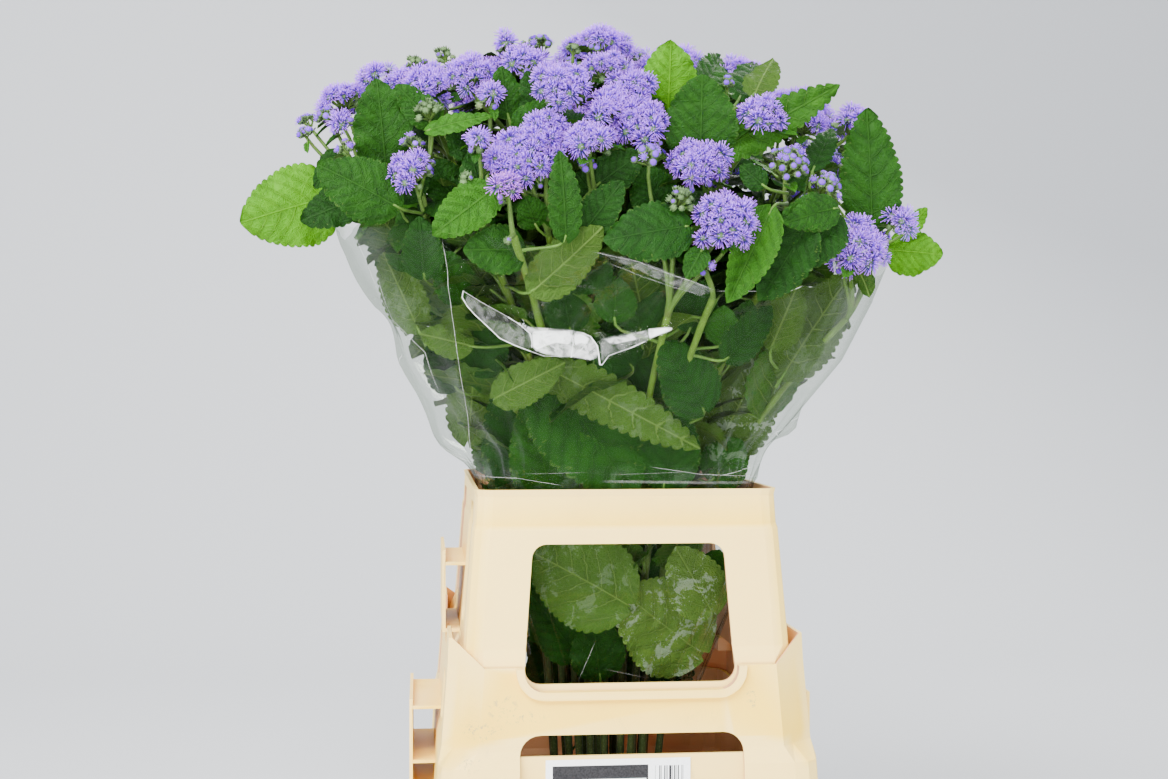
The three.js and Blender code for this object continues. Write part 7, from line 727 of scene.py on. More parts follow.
    [20, 2, "light", -20.8, -9.6, 680.5, -26.7, -6.5, 688.5, -0.707, 0.364, 0.606, 0.648, -0.009, 0.761, 35.4, 21.5, 0.972, 0.153],
    [22, 2, "mid", 114, -22.2, 588.6, 116.2, -28.1, 594.2, 0.315, -0.842, 0.439, 0.033, 0.472, 0.881, 42, 31.8, 0.386, 0.359],
    [21, 2, "mid", 34.5, -12.3, 667.6, 38.8, -8.7, 674.8, 0.586, 0.489, 0.647, -0.187, -0.695, 0.694, 44.4, 26.1, 0.664, 0.179],
    [17, 2, "under", 131.4, -132.2, 486.6, 140.4, -121.1, 497.7, 0.587, 0.719, 0.372, -0.166, -0.343, 0.925, 49.9, 36.2, 0.581, 0.148],
    [1, 2, "mid", -109.5, -84.7, 609.5, -130.5, -84.8, 615.5, -0.998, -0.006, -0.066, -0.065, 0.271, 0.96, 33.7, 20.8, 0.684, 0.288],
    [16, 2, "dark", 85.9, -143.2, 516.7, 99.1, -140.5, 528, 0.891, 0.183, 0.415, -0.379, -0.202, 0.903, 57.3, 36.2, 0.817, 0.13],
    [2, 2, "mid", -66.8, -90.4, 600.8, -80.2, -84.3, 615, -0.793, 0.365, 0.489, 0.475, -0.133, 0.87, 39.8, 23.9, 0.521, 0.35],
    [5, 2, "dark", 5.8, -74.4, 551.4, 4.2, -68.2, 557.3, -0.214, 0.857, 0.469, 0.154, -0.444, 0.883, 44.2, 31.3, 0.489, 0.362],
    [26, 2, "light", 149.3, 92, 611.8, 142.7, 92.9, 619, -0.827, 0.109, 0.551, 0.535, -0.15, 0.832, 55.3, 32.3, 0.905, 0.21],
    [12, 2, "mid", -110.5, -115.3, 560.2, -115.8, -126.1, 574.9, -0.35, -0.711, 0.611, 0.382, 0.487, 0.785, 65.5, 39.6, 0.889, 0.351],
    [9, 2, "light", -67, -173.2, 520.4, -78.9, -178.8, 530.2, -0.849, -0.397, 0.349, 0.276, 0.23, 0.933, 39.3, 26, 0.466, 0.329],
    [4, 2, "light", -28.3, -85.7, 672.3, -35.7, -88.3, 674.4, -0.939, -0.337, -0.072, -0.097, 0.059, 0.994, 57.5, 34.2, 0.676, 0.159],
    [23, 2, "mid", -59.5, 42.3, 445.8, -73.5, 41.4, 452.5, -0.991, -0.064, 0.12, 0.123, -0.033, 0.992, 45.8, 27.2, 0.206, 0.118],
    [4, 2, "mid", -21.9, -58.6, 587.3, -32.9, -57.8, 591.7, -0.997, 0.068, 0.044, 0.055, 0.161, 0.985, 45.1, 31.1, 0.889, 0.085],
    [25, 2, "dark", 36.2, 92.6, 558.1, 41, 92.5, 564.9, 0.735, -0.01, 0.678, -0.626, 0.374, 0.684, 37.6, 28.5, 1.147, 0.081],
    [23, 2, "dark", -117.7, 82.8, 625.8, -111.7, 70.7, 641.1, 0.365, -0.733, 0.574, -0.551, 0.327, 0.768, 49.7, 35.6, 0.605, 0.41],
    [21, 2, "under", 33, -14.1, 652.5, 46.2, -20.2, 662.6, 0.862, -0.401, 0.309, -0.365, -0.07, 0.928, 51.9, 36.8, 0.727, 0.42],
    [1, 2, "light", -111.2, -87.4, 622.2, -99.1, -74.7, 630.1, 0.687, 0.72, 0.101, -0.268, 0.122, 0.955, 36.2, 24.4, 1.18, 0.276],
    [12, 2, "mid", -132.4, -140.6, 608.8, -133.5, -147.4, 617.4, -0.126, -0.771, 0.624, 0.029, 0.626, 0.779, 34.5, 21.4, 0.489, 0.096],
    [25, 2, "mid", 25.4, 70.8, 480.7, 33.4, 87.6, 483.9, 0.426, 0.886, -0.184, -0.076, 0.237, 0.968, 63.9, 38.5, 0.256, 0.255],
    [11, 2, "mid", -89.9, -167.6, 542, -106.1, -166.1, 554.4, -0.927, 0.086, 0.364, 0.372, 0.327, 0.869, 42.6, 24.7, 1.234, 0.245],
    [5, 2, "light", 6.6, -100.2, 604.2, 18, -110.3, 609.4, 0.75, -0.661, -0.009, 0.08, 0.078, 0.994, 46, 27.7, 0.696, 0.196],
    [2, 2, "under", -73.2, -107, 636.6, -62.1, -122.3, 646.3, 0.581, -0.798, 0.158, 0.24, 0.354, 0.904, 39.9, 23.8, 0.364, 0.198],
    [26, 2, "light", 77.2, 46.9, 447.8, 89.1, 43.5, 457.9, 0.882, -0.252, 0.399, -0.432, -0.091, 0.897, 42.9, 28.2, 0.804, 0.173],
    [20, 2, "mid", -22, -10.2, 695.5, -29.3, -6.6, 702.4, -0.816, 0.401, 0.416, 0.363, -0.206, 0.909, 38.8, 23, 0.698, 0.401],
    [20, 2, "mid", -12, -10.1, 613.5, -5.5, -15.1, 614.8, 0.778, -0.599, -0.189, 0.41, 0.256, 0.875, 34, 21.9, 0.475, 0.35],
    [10, 2, "dark", -139, -161.5, 573.8, -147.9, -159.3, 580.8, -0.905, 0.22, 0.364, 0.3, -0.278, 0.913, 51.5, 36.6, 1.191, 0.11],
    [0, 2, "mid", -121.4, -39.5, 519.3, -133, -22, 523.8, -0.546, 0.826, -0.14, 0.162, 0.268, 0.95, 47.8, 31.2, 0.613, 0.222],
    [12, 2, "dark", -134.9, -143.1, 613.1, -138.6, -156.9, 617.4, -0.256, -0.965, -0.05, -0.29, 0.028, 0.957, 41.1, 28.4, 0.741, 0.102],
    [22, 2, "mid", 131.9, -20.4, 625.6, 127.7, -4.4, 639.6, -0.232, 0.878, 0.418, 0.17, -0.387, 0.906, 61, 36.4, 1.187, 0.376],
    [19, 2, "mid", -95.3, -4.3, 598.9, -93.5, 12.8, 609.9, 0.102, 0.959, 0.264, -0.121, -0.252, 0.96, 53.9, 32.5, 0.503, 0.394],
    [17, 2, "under", 84.9, -93.8, 406.7, 72.2, -105.2, 412.1, -0.747, -0.664, -0.032, -0.176, 0.152, 0.972, 39.1, 29.5, 0.486, 0.383],
    [24, 2, "dark", -30.5, 83.9, 558.7, -12.7, 92.7, 567.8, 0.892, 0.438, 0.106, 0.035, -0.302, 0.953, 36.3, 22.2, 1.121, 0.241],
    [22, 2, "mid", 96.1, -13.9, 550.4, 96.3, -1, 567.2, 0.008, 0.765, 0.645, -0.296, -0.614, 0.732, 43.6, 31.3, 0.752, 0.233],
    [14, 2, "under", 9.9, -90, 357.2, 7, -103.2, 371.7, -0.179, -0.817, 0.548, 0.61, 0.345, 0.713, 38.3, 24.1, 1.114, 0.406],
    [18, 2, "dark", 22.8, -96.7, 356.1, 17.9, -106.9, 364.4, -0.406, -0.847, 0.343, 0.023, 0.366, 0.93, 39.3, 24, 0.315, 0.234],
    [23, 2, "mid", -128.3, 93.9, 642.7, -130.1, 105, 650.4, -0.152, 0.94, 0.306, -0.266, -0.337, 0.903, 44.6, 31.1, 0.475, 0.364],
    [4, 2, "light", -17, -53.7, 553.3, -16.5, -68.1, 560.9, 0.036, -0.985, 0.168, -0.316, 0.148, 0.937, 54, 32, 1.079, 0.41],
    [16, 2, "mid", 82.3, -144.9, 514.3, 82.3, -150, 521.4, -0.003, -0.733, 0.68, 0.069, 0.678, 0.731, 36.6, 22.2, 0.731, 0.206],
    [20, 2, "mid", -16.1, -6.9, 623.3, -26.4, 5.9, 631.3, -0.619, 0.773, 0.137, -0.031, -0.198, 0.98, 41.7, 26.4, 0.651, 0.085],
    [22, 2, "under", 144.3, -23.9, 640.7, 150.2, -22.4, 647.4, 0.799, 0.201, 0.566, -0.599, 0.186, 0.779, 44.7, 27.1, 1.171, 0.306],
    [18, 2, "under", 49.8, -196.8, 529.7, 43.5, -185.8, 531.7, -0.489, 0.849, -0.201, 0.222, 0.343, 0.913, 40.2, 28.1, 0.869, 0.185],
    [21, 2, "mid", 24.3, -9.4, 561.3, 32.2, -9.2, 570.2, 0.817, 0.019, 0.576, -0.539, 0.382, 0.751, 51.4, 29.9, 0.168, 0.083],
    [2, 2, "light", -67.1, -92.2, 601.3, -75.9, -94.6, 605.1, -0.965, -0.254, 0.066, 0.009, 0.221, 0.975, 34.9, 22.5, 0.385, 0.123],
    [2, 2, "dark", -56.6, -84.5, 578.1, -38, -88.6, 582.9, 0.971, -0.215, -0.101, 0.056, -0.209, 0.976, 41.7, 24.8, 0.306, 0.363],
    [20, 2, "dark", -18.3, -7.8, 662.3, -21.6, -1, 672.3, -0.33, 0.683, 0.652, 0.456, -0.489, 0.743, 49, 35.4, 0.457, 0.095],
    [10, 2, "dark", -113.6, -139, 536.4, -111.2, -156.5, 548.4, 0.128, -0.945, 0.302, -0.004, 0.304, 0.953, 40.8, 24.3, 0.371, 0.075],
    [10, 2, "dark", -117.1, -143.7, 544.2, -110.6, -155.6, 558.6, 0.404, -0.737, 0.542, -0.144, 0.533, 0.833, 43.7, 31.9, 0.287, 0.317],
    [21, 2, "mid", 36, -12.7, 681.2, 44.2, -3.5, 694.9, 0.545, 0.616, 0.568, -0.262, -0.519, 0.814, 42.6, 29.9, 0.45, 0.187],
    [22, 2, "mid", 136.8, -26.4, 632.2, 138.5, -42.9, 642.3, 0.101, -0.965, 0.244, -0.206, 0.219, 0.954, 54.6, 39.8, 0.772, 0.38],
    [21, 2, "mid", 38.6, -17, 697.9, 50.5, -26.6, 711.1, 0.702, -0.569, 0.427, -0.443, 0.121, 0.889, 37.6, 26.5, 0.783, 0.219],
    [16, 2, "mid", 94.1, -156.5, 536.1, 99.9, -155.7, 542.6, 0.812, 0.109, 0.573, -0.583, 0.1, 0.807, 59, 36.1, 0.635, 0.38],
    [22, 2, "dark", 118.7, -22.2, 604.7, 105.9, -28.4, 608.7, -0.899, -0.434, -0.065, -0.082, 0.019, 0.996, 35.5, 26.9, 0.768, 0.059],
    [26, 2, "dark", 154.2, 94.4, 618.8, 146.9, 94, 628.3, -0.767, -0.042, 0.641, 0.625, 0.18, 0.76, 66.9, 43, 0.178, 0.386],
    [25, 2, "mid", 36.7, 104, 579.6, 36.5, 118.4, 584.2, -0.013, 0.999, -0.029, -0.105, 0.028, 0.994, 41.7, 29.8, 0.419, 0.09],
    [0, 2, "light", -125.6, -44.3, 525.9, -133.9, -49.7, 536.5, -0.7, -0.461, 0.545, 0.498, 0.232, 0.835, 42.9, 29.9, 0.867, 0.175],
    [22, 2, "mid", 56.9, -10.8, 400.9, 68.3, -17.3, 414.1, 0.745, -0.428, 0.512, -0.243, 0.54, 0.805, 57.5, 36.1, 0.333, 0.316],
    [4, 2, "under", -27.8, -87.1, 673.4, -35.7, -95, 683.3, -0.632, -0.634, 0.446, 0.341, 0.29, 0.894, 39.2, 24.2, 0.544, 0.075],
    [26, 2, "under", 62.5, 38, 399, 63.4, 28.3, 403.2, 0.094, -0.992, 0.079, -0.018, 0.077, 0.997, 43.9, 26.1, 1.089, 0.108],
    [26, 2, "mid", 102, 60.3, 519.3, 109.7, 49.6, 528.3, 0.554, -0.776, 0.302, -0.326, 0.131, 0.936, 48.4, 28.3, 0.668, 0.289],
    [19, 2, "mid", -96.4, -8.9, 597.8, -101.7, -17.4, 605.6, -0.486, -0.789, 0.376, 0.163, 0.341, 0.926, 36.9, 26, 0.754, 0.344],
    [15, 2, "light", 61.3, -135.3, 591.4, 67.1, -142.5, 596.1, 0.617, -0.77, 0.161, 0.119, 0.293, 0.949, 41.9, 27.3, 0.471, 0.271],
    [23, 2, "dark", -93.9, 66.9, 564.9, -105.5, 70.1, 571.6, -0.945, 0.259, 0.2, 0.177, -0.11, 0.978, 78.4, 50.4, 0.94, 0.33],
    [4, 2, "mid", -13.7, -41.6, 517.5, -9.8, -35.9, 527, 0.421, 0.615, 0.667, -0.398, -0.535, 0.745, 52.4, 31.8, 0.381, 0.393],
    [24, 2, "mid", -39.1, 99.3, 606.9, -31.5, 89.1, 621.3, 0.49, -0.653, 0.577, 0.254, 0.74, 0.622, 31.8, 21.6, 0.849, 0.106],
    [2, 2, "under", -76.1, -106.6, 635.9, -82.4, -113.9, 648.4, -0.504, -0.577, 0.642, 0.451, 0.458, 0.766, 49.4, 31, 0.336, 0.052],
    [1, 2, "light", -130.6, -102.9, 653.4, -146.2, -115.3, 656.1, -0.762, -0.609, -0.221, -0.003, -0.338, 0.941, 40.7, 24.6, 0.234, 0.356],
    [6, 2, "dark", -7.3, -146.9, 573.9, 12.1, -139.8, 578.8, 0.932, 0.343, -0.113, 0.171, -0.143, 0.975, 42.4, 32.1, 1.171, 0.126],
    [10, 2, "mid", -133.2, -161.5, 572.8, -125.1, -161.8, 581.9, 0.823, -0.031, 0.567, -0.535, 0.292, 0.793, 36.1, 27.1, 1.052, 0.121],
    [20, 2, "under", -14.2, -5.9, 597.6, -17.5, 1.2, 600.2, -0.432, 0.902, -0.019, 0.414, 0.217, 0.884, 38.1, 25.7, 0.185, 0.365],
    [23, 2, "dark", -83.1, 60.6, 548.4, -77.4, 57, 556.8, 0.662, -0.419, 0.621, -0.461, 0.425, 0.779, 38.1, 28.5, 0.75, 0.258],
    [23, 2, "mid", -122.4, 86.6, 627.9, -132.4, 89.6, 639.2, -0.799, 0.239, 0.552, 0.567, -0.009, 0.824, 32, 19.1, 1.115, 0.091],
    [26, 2, "light", 115, 67.8, 546.8, 127.9, 51.9, 552.7, 0.63, -0.774, -0.063, 0.328, 0.191, 0.925, 65.4, 46.4, 0.739, 0.154],
    [16, 2, "dark", 75.2, -127.6, 487.9, 86.2, -131.3, 502, 0.752, -0.254, 0.609, -0.494, 0.395, 0.775, 38, 27.9, 0.214, 0.187],
    [24, 2, "dark", -35.5, 91.3, 575.5, -36.2, 101.2, 580, -0.067, 0.993, 0.101, -0.203, -0.113, 0.973, 47.1, 35, 0.825, 0.281],
    [22, 2, "mid", 62.7, -11.4, 430.2, 75.4, -16.5, 445.8, 0.754, -0.301, 0.584, -0.55, 0.195, 0.812, 40.5, 27.4, 0.765, 0.081],
]
# More clusters between those: stem, cluster.
MORE_HEADS = [
    [23, [-127.1, 6.8, 735.5, -0.299, -0.533, 0.791, 19, 18.05, "o"]],
    [20, [-90.5, -69.1, 734.6, -0.203, -0.626, 0.753, 13, 12.35, "m"]],
    [3, [-60.2, -99.9, 719.8, -0.132, -0.661, 0.738, 18, 17.1, "o"]],
    [20, [-28.3, -16.5, 749.6, -0.068, -0.584, 0.809, 11, 11.55, "p"]],
    [20, [-11.3, -102.8, 738.8, -0.025, -0.669, 0.742, 14, 13.3, "m"]],
    [3, [-33.4, -36, 712.9, -0.079, -0.604, 0.793, 17, 16.15, "o"]],
    [6, [-14.3, -181.5, 686.1, -0.029, -0.729, 0.684, 18, 17.1, "o"]],
    [7, [-24.6, -140.1, 675.1, -0.052, -0.699, 0.713, 18, 17.1, "o"]],
    [8, [-57.4, -208.1, 655.1, -0.113, -0.741, 0.661, 13, 12.35, "m"]],
    [25, [15.5, 0.5, 689.9, 0.038, -0.565, 0.824, 15, 14.25, "o"]],
    [19, [-173, -35.6, 721.8, -0.379, -0.561, 0.736, 14, 13.3, "o"]],
    [0, [-202.4, -22.3, 718, -0.437, -0.532, 0.725, 13, 12.35, "m"]],
    [0, [-227.6, -61, 695.6, -0.465, -0.559, 0.686, 11, 11.55, "p"]],
    [1, [-146, -115.5, 701.5, -0.304, -0.648, 0.698, 14, 13.3, "o"]],
    [11, [-103.8, -125.1, 700.5, -0.219, -0.671, 0.708, 11, 11.55, "p"]],
    [11, [-112.1, -189.9, 657.1, -0.221, -0.717, 0.662, 10, 10.5, "p"]],
    [14, [20.6, -142.9, 655.7, 0.044, -0.701, 0.712, 11, 11.55, "p"]],
    [7, [-28.2, -130.4, 646.2, -0.06, -0.691, 0.72, 11, 11.55, "p"]],
    [14, [38, -172.7, 617.8, 0.078, -0.721, 0.688, 12, 12.6, "g"]],
    [18, [47.1, -226.8, 565.8, 0.091, -0.754, 0.65, 7, 7.35, "p"]],
    [12, [-147.7, -140.6, 688, -0.299, -0.668, 0.681, 12, 12.6, "g"]],
    [10, [-159, -105.6, 667, -0.331, -0.634, 0.699, 10, 10.5, "g"]],
    [11, [-117.3, -121.3, 637.1, -0.247, -0.664, 0.706, 8, 8.4, "g"]],
    [1, [-134.9, -78.9, 738.8, -0.292, -0.62, 0.728, 8, 8.4, "g"]],
    [1, [-156, -85.3, 732.4, -0.331, -0.617, 0.714, 8, 8.4, "g"]],
    [25, [47, -5.4, 723.1, 0.114, -0.569, 0.814, 15, 14.25, "o"]],
    [21, [29.2, -17.8, 740.5, 0.07, -0.585, 0.808, 12, 11.4, "m"]],
    [24, [-71.4, -68.6, 690.6, -0.161, -0.63, 0.759, 14, 13.3, "o"]],
    [24, [-53.5, -52.8, 662.9, -0.124, -0.619, 0.776, 15, 14.25, "o"]],
    [8, [-93.6, -220.4, 638.7, -0.18, -0.741, 0.646, 14, 13.3, "o"]],
    [10, [-155.2, -86.4, 637.2, -0.329, -0.619, 0.713, 9, 9.45, "p"]],
    [25, [47.8, -66.3, 662.4, 0.109, -0.633, 0.767, 12, 12.6, "p"]],
    [15, [112, -38.7, 696.8, 0.256, -0.589, 0.767, 14, 13.3, "m"]],
    [22, [133.8, -38.6, 707.1, 0.301, -0.581, 0.756, 13, 12.35, "o"]],
    [26, [170.8, 26, 658, 0.395, -0.492, 0.776, 10, 10.5, "g"]],
    [16, [142.9, -4.7, 663.9, 0.329, -0.54, 0.775, 10, 10.5, "g"]],
    [17, [197.5, -140.4, 598.8, 0.387, -0.645, 0.659, 10, 10.5, "p"]],
    [17, [158.5, -192.5, 571.4, 0.304, -0.702, 0.645, 12, 11.4, "o"]],
    [0, [-214.4, -74.5, 685.7, -0.439, -0.579, 0.687, 12, 11.4, "m"]],
    [0, [-244.9, -59.1, 679.8, -0.493, -0.548, 0.676, 9, 9.45, "p"]],
    [2, [-87.9, -94.3, 748.3, -0.192, -0.65, 0.735, 9, 9.45, "p"]],
    [5, [0.5, -95.9, 721.7, 0.001, -0.664, 0.748, 14, 13.3, "o"]],
    [23, [-117.1, -55.3, 706.4, -0.262, -0.604, 0.753, 13, 12.35, "m"]],
    [14, [66.9, -227.9, 586.3, 0.129, -0.752, 0.647, 12, 11.4, "o"]],
    [26, [103.2, 41.2, 659.1, 0.255, -0.499, 0.829, 12, 11.4, "m"]],
    [14, [30.6, -1.2, 657.8, 0.075, -0.566, 0.821, 9, 9.45, "p"]],
    [19, [-163, 2.5, 716.2, -0.517, 0.008, 0.856, 10.9, 10.4, "p"]],
    [19, [-155.2, 40, 719.1, -0.494, 0.127, 0.86, 13.2, 12.5, "m"]],
    [19, [-195.8, 58.2, 716.3, -0.578, 0.172, 0.797, 12.6, 11.9, "p"]],
    [19, [-208.5, 4.4, 718.3, -0.611, 0.013, 0.791, 17, 16.1, "m"]],
    [19, [-108.8, -22.8, 737.6, -0.373, -0.078, 0.925, 18.4, 17.5, "m"]],
    [20, [-2.7, 42.4, 742.7, -0.01, 0.155, 0.988, 21.8, 20.7, "o"]],
    [20, [-39.7, 37.7, 739.4, -0.144, 0.137, 0.98, 21.5, 20.4, "o"]],
    [21, [65.3, -25.7, 731.2, 0.234, -0.092, 0.968, 11.7, 11.1, "o"]],
    [22, [197.6, -16.3, 698.9, 0.59, -0.049, 0.806, 11.6, 11, "m"]],
    [22, [203.1, 32.4, 696.4, 0.598, 0.095, 0.796, 10.7, 10.2, "m"]],
    [22, [183.8, 24.5, 686.3, 0.561, 0.075, 0.824, 10.7, 10.1, "m"]],
    [22, [165, 43.6, 708.6, 0.517, 0.136, 0.845, 19.6, 18.6, "o"]],
    [22, [95.5, 8.2, 713.9, 0.333, 0.029, 0.942, 20.5, 19.4, "m"]],
    [22, [117.7, 43.2, 719.8, 0.395, 0.145, 0.907, 20.5, 19.4, "o"]],
    [22, [172.1, -11.4, 719.9, 0.537, -0.036, 0.843, 18.2, 17.3, "o"]],
    [23, [-203.8, 79.6, 689.4, -0.587, 0.229, 0.777, 10.1, 9.6, "o"]],
    [23, [-155, 105.5, 687.5, -0.471, 0.321, 0.821, 21.6, 20.5, "o"]],
    [23, [-137.9, 183.4, 684.9, -0.389, 0.518, 0.762, 19.1, 18.2, "m"]],
    [23, [-187.5, 152.7, 691.4, -0.517, 0.421, 0.745, 17.1, 16.2, "o"]],
    [23, [-154.4, 95.1, 739.8, -0.475, 0.293, 0.83, 16.9, 16, "m"]],
    [23, [-85.7, 102.1, 740.8, -0.285, 0.339, 0.897, 14.9, 14.2, "o"]],
    [23, [-143.5, 61.5, 739.2, -0.46, 0.197, 0.866, 16.3, 15.5, "o"]],
    [23, [-89.3, 60.6, 743.6, -0.307, 0.208, 0.929, 12.3, 11.7, "p"]],
    [24, [-95.7, 128.2, 724.5, -0.305, 0.408, 0.86, 11.3, 10.7, "o"]],
    [24, [-20.3, 152.6, 668, -0.065, 0.491, 0.869, 18.1, 17.2, "o"]],
    [24, [-5, 183.5, 678.4, -0.015, 0.562, 0.827, 16.5, 15.7, "m"]],
    [24, [-92.6, 150.7, 658.6, -0.287, 0.467, 0.836, 17, 16.2, "m"]],
    [24, [-15.8, 137.6, 745.5, -0.052, 0.453, 0.89, 23.2, 22, "o"]],
    [25, [64.9, 127.5, 740.6, 0.213, 0.417, 0.884, 16.4, 15.5, "m"]],
    [25, [102.1, 109.4, 746.3, 0.331, 0.354, 0.875, 13.5, 12.8, "o"]],
    [25, [55.9, 68.9, 738.4, 0.197, 0.242, 0.95, 15.2, 14.4, "m"]],
    [25, [61, 171.7, 709.3, 0.187, 0.527, 0.829, 16.9, 16.1, "o"]],
    [25, [128.8, 190.9, 682.9, 0.363, 0.538, 0.761, 11.7, 11.1, "p"]],
    [25, [18.3, 171.5, 663.8, 0.057, 0.535, 0.843, 16.9, 16.1, "o"]],
    [26, [146.2, 116.5, 714.7, 0.445, 0.355, 0.822, 17.8, 16.9, "o"]],
    [26, [207.9, 94.1, 723, 0.588, 0.266, 0.764, 18.7, 17.7, "o"]],
    [26, [172.5, 97.7, 660.4, 0.515, 0.292, 0.806, 19.9, 18.9, "o"]],
    [26, [124.2, 111.6, 678.3, 0.391, 0.351, 0.851, 19.7, 18.7, "o"]],
    [26, [101.5, 132.1, 681.8, 0.32, 0.416, 0.851, 16.7, 15.9, "o"]],
    [26, [201.6, 38.7, 674.6, 0.594, 0.114, 0.796, 17.9, 17, "o"]],
    [26, [180.7, 65.5, 664, 0.545, 0.198, 0.815, 21, 20, "o"]],
]
# Creases of the film, drawn as white lines: start, end, width, strength. Most are whitened folds; the glint from 772,
# 289 to 803, 284 and the outlines of the pocket's ledge, from 462, 297 on, are painted highlights.
CREASES = [
    [441, 237, 450.5, 302, 0.26, 0.5],
    [450.5, 302, 466, 400, 0.26, 0.5],
    [466, 400, 477, 472, 0.26, 0.5],
    [591, 251, 640, 262, 0.4, 0.3],
    [640, 262, 716, 291, 0.4, 0.35],
    [604, 262, 706, 298, 0.5, 0.14],
    [715, 291, 772, 289, 0.4, 0.35],
    [772, 289.5, 786, 288, 0.9, 0.95],
    [786, 288, 803, 284, 0.9, 0.9],
    [735, 452, 772, 432, 0.5, 0.65],
    [772, 432, 806, 418, 0.5, 0.75],
    [778, 444, 806, 418, 0.5, 0.6],
    [352, 228, 378, 290, 0.5, 0.4],
    [378, 290, 408, 356, 0.5, 0.4],
    [408, 356, 438, 440, 0.5, 0.4],
    [376, 270, 396, 320, 0.5, 0.35],
    [396, 320, 424, 352, 0.5, 0.3],
    [424, 352, 440, 395, 0.5, 0.3],
    [392, 330, 418, 378, 0.8, 0.25],
    [438, 440, 478, 466, 0.7, 0.55],
    [440, 442, 462, 462, 0.5, 0.5],
    [478, 474, 516, 478, 0.4, 0.3],
    [516, 478, 566, 484, 0.35, 0.25],
    [520, 476, 590, 474, 0.3, 0.14],
    [606, 477, 690, 470, 0.3, 0.14],
    [648, 464, 700, 471, 0.4, 0.22],
    [700, 471, 762, 476, 0.4, 0.28],
    [716, 478, 766, 462, 0.5, 0.35],
    [760, 484, 770, 462, 0.6, 0.5],
    [766, 482, 772, 470, 0.6, 0.5],
    [600, 481, 760, 483, 1.8, 0.1],
    [596, 640, 578, 682, 0.4, 0.35],
    [604, 670, 650, 680, 0.4, 0.25],
    [716, 640, 728, 560, 0.5, 0.3],
    [706, 678, 727, 612, 0.6, 0.4],
    [524, 560, 530, 640, 0.6, 0.25],
    [462, 297, 467, 306, 0.6, 0.9],
    [467, 306, 475, 315, 0.6, 0.95],
    [475, 315, 490, 329, 0.6, 1],
    [490, 329, 500, 338, 0.6, 1],
    [500, 338, 515, 346, 0.6, 1],
    [515, 346, 530, 351, 0.6, 0.9],
    [530, 351, 545, 354, 0.4, 0.6],
    [545, 354, 572, 357, 0.3, 0.5],
    [462, 297, 463, 291, 0.6, 0.8],
    [463, 291, 480, 301, 0.4, 0.5],
    [480, 301, 508, 318, 0.4, 0.45],
    [508, 318, 520, 325, 0.6, 0.8],
    [520, 325, 530, 334, 0.6, 0.9],
    [530, 334, 532.5, 342, 0.7, 1],
    [532.5, 342, 532, 350, 0.6, 0.9],
    [571, 332, 573.5, 344, 0.6, 0.95],
    [573.5, 344, 571, 357, 0.6, 0.95],
    [571, 357, 581, 350, 0.5, 0.9],
    [581, 350, 590, 340, 0.5, 0.8],
    [580, 332, 590, 336.5, 0.7, 0.95],
    [590, 336.5, 597, 346, 0.8, 1],
    [597, 346, 600, 362, 0.8, 1],
    [600, 362, 602, 366, 0.6, 0.8],
    [602, 366, 608, 358, 0.5, 0.7],
    [608, 358, 630, 348, 0.4, 0.55],
    [630, 348, 648, 340.5, 0.5, 0.8],
]
# Clusters whose threads are pinker.
BLOOM_TONES = {9: (1.16, 1.0, 0.93)}


# ---------------------------------------------------------------- numbers as meshes
MM = 0.001


def vec(*a):
    return np.array(a, float)


def unit(a):
    return a / max(np.linalg.norm(a), 1e-12)


def smooth(a, b, x):
    t = np.clip((x - a) / (b - a), 0, 1)
    return t * t * (3 - 2 * t)


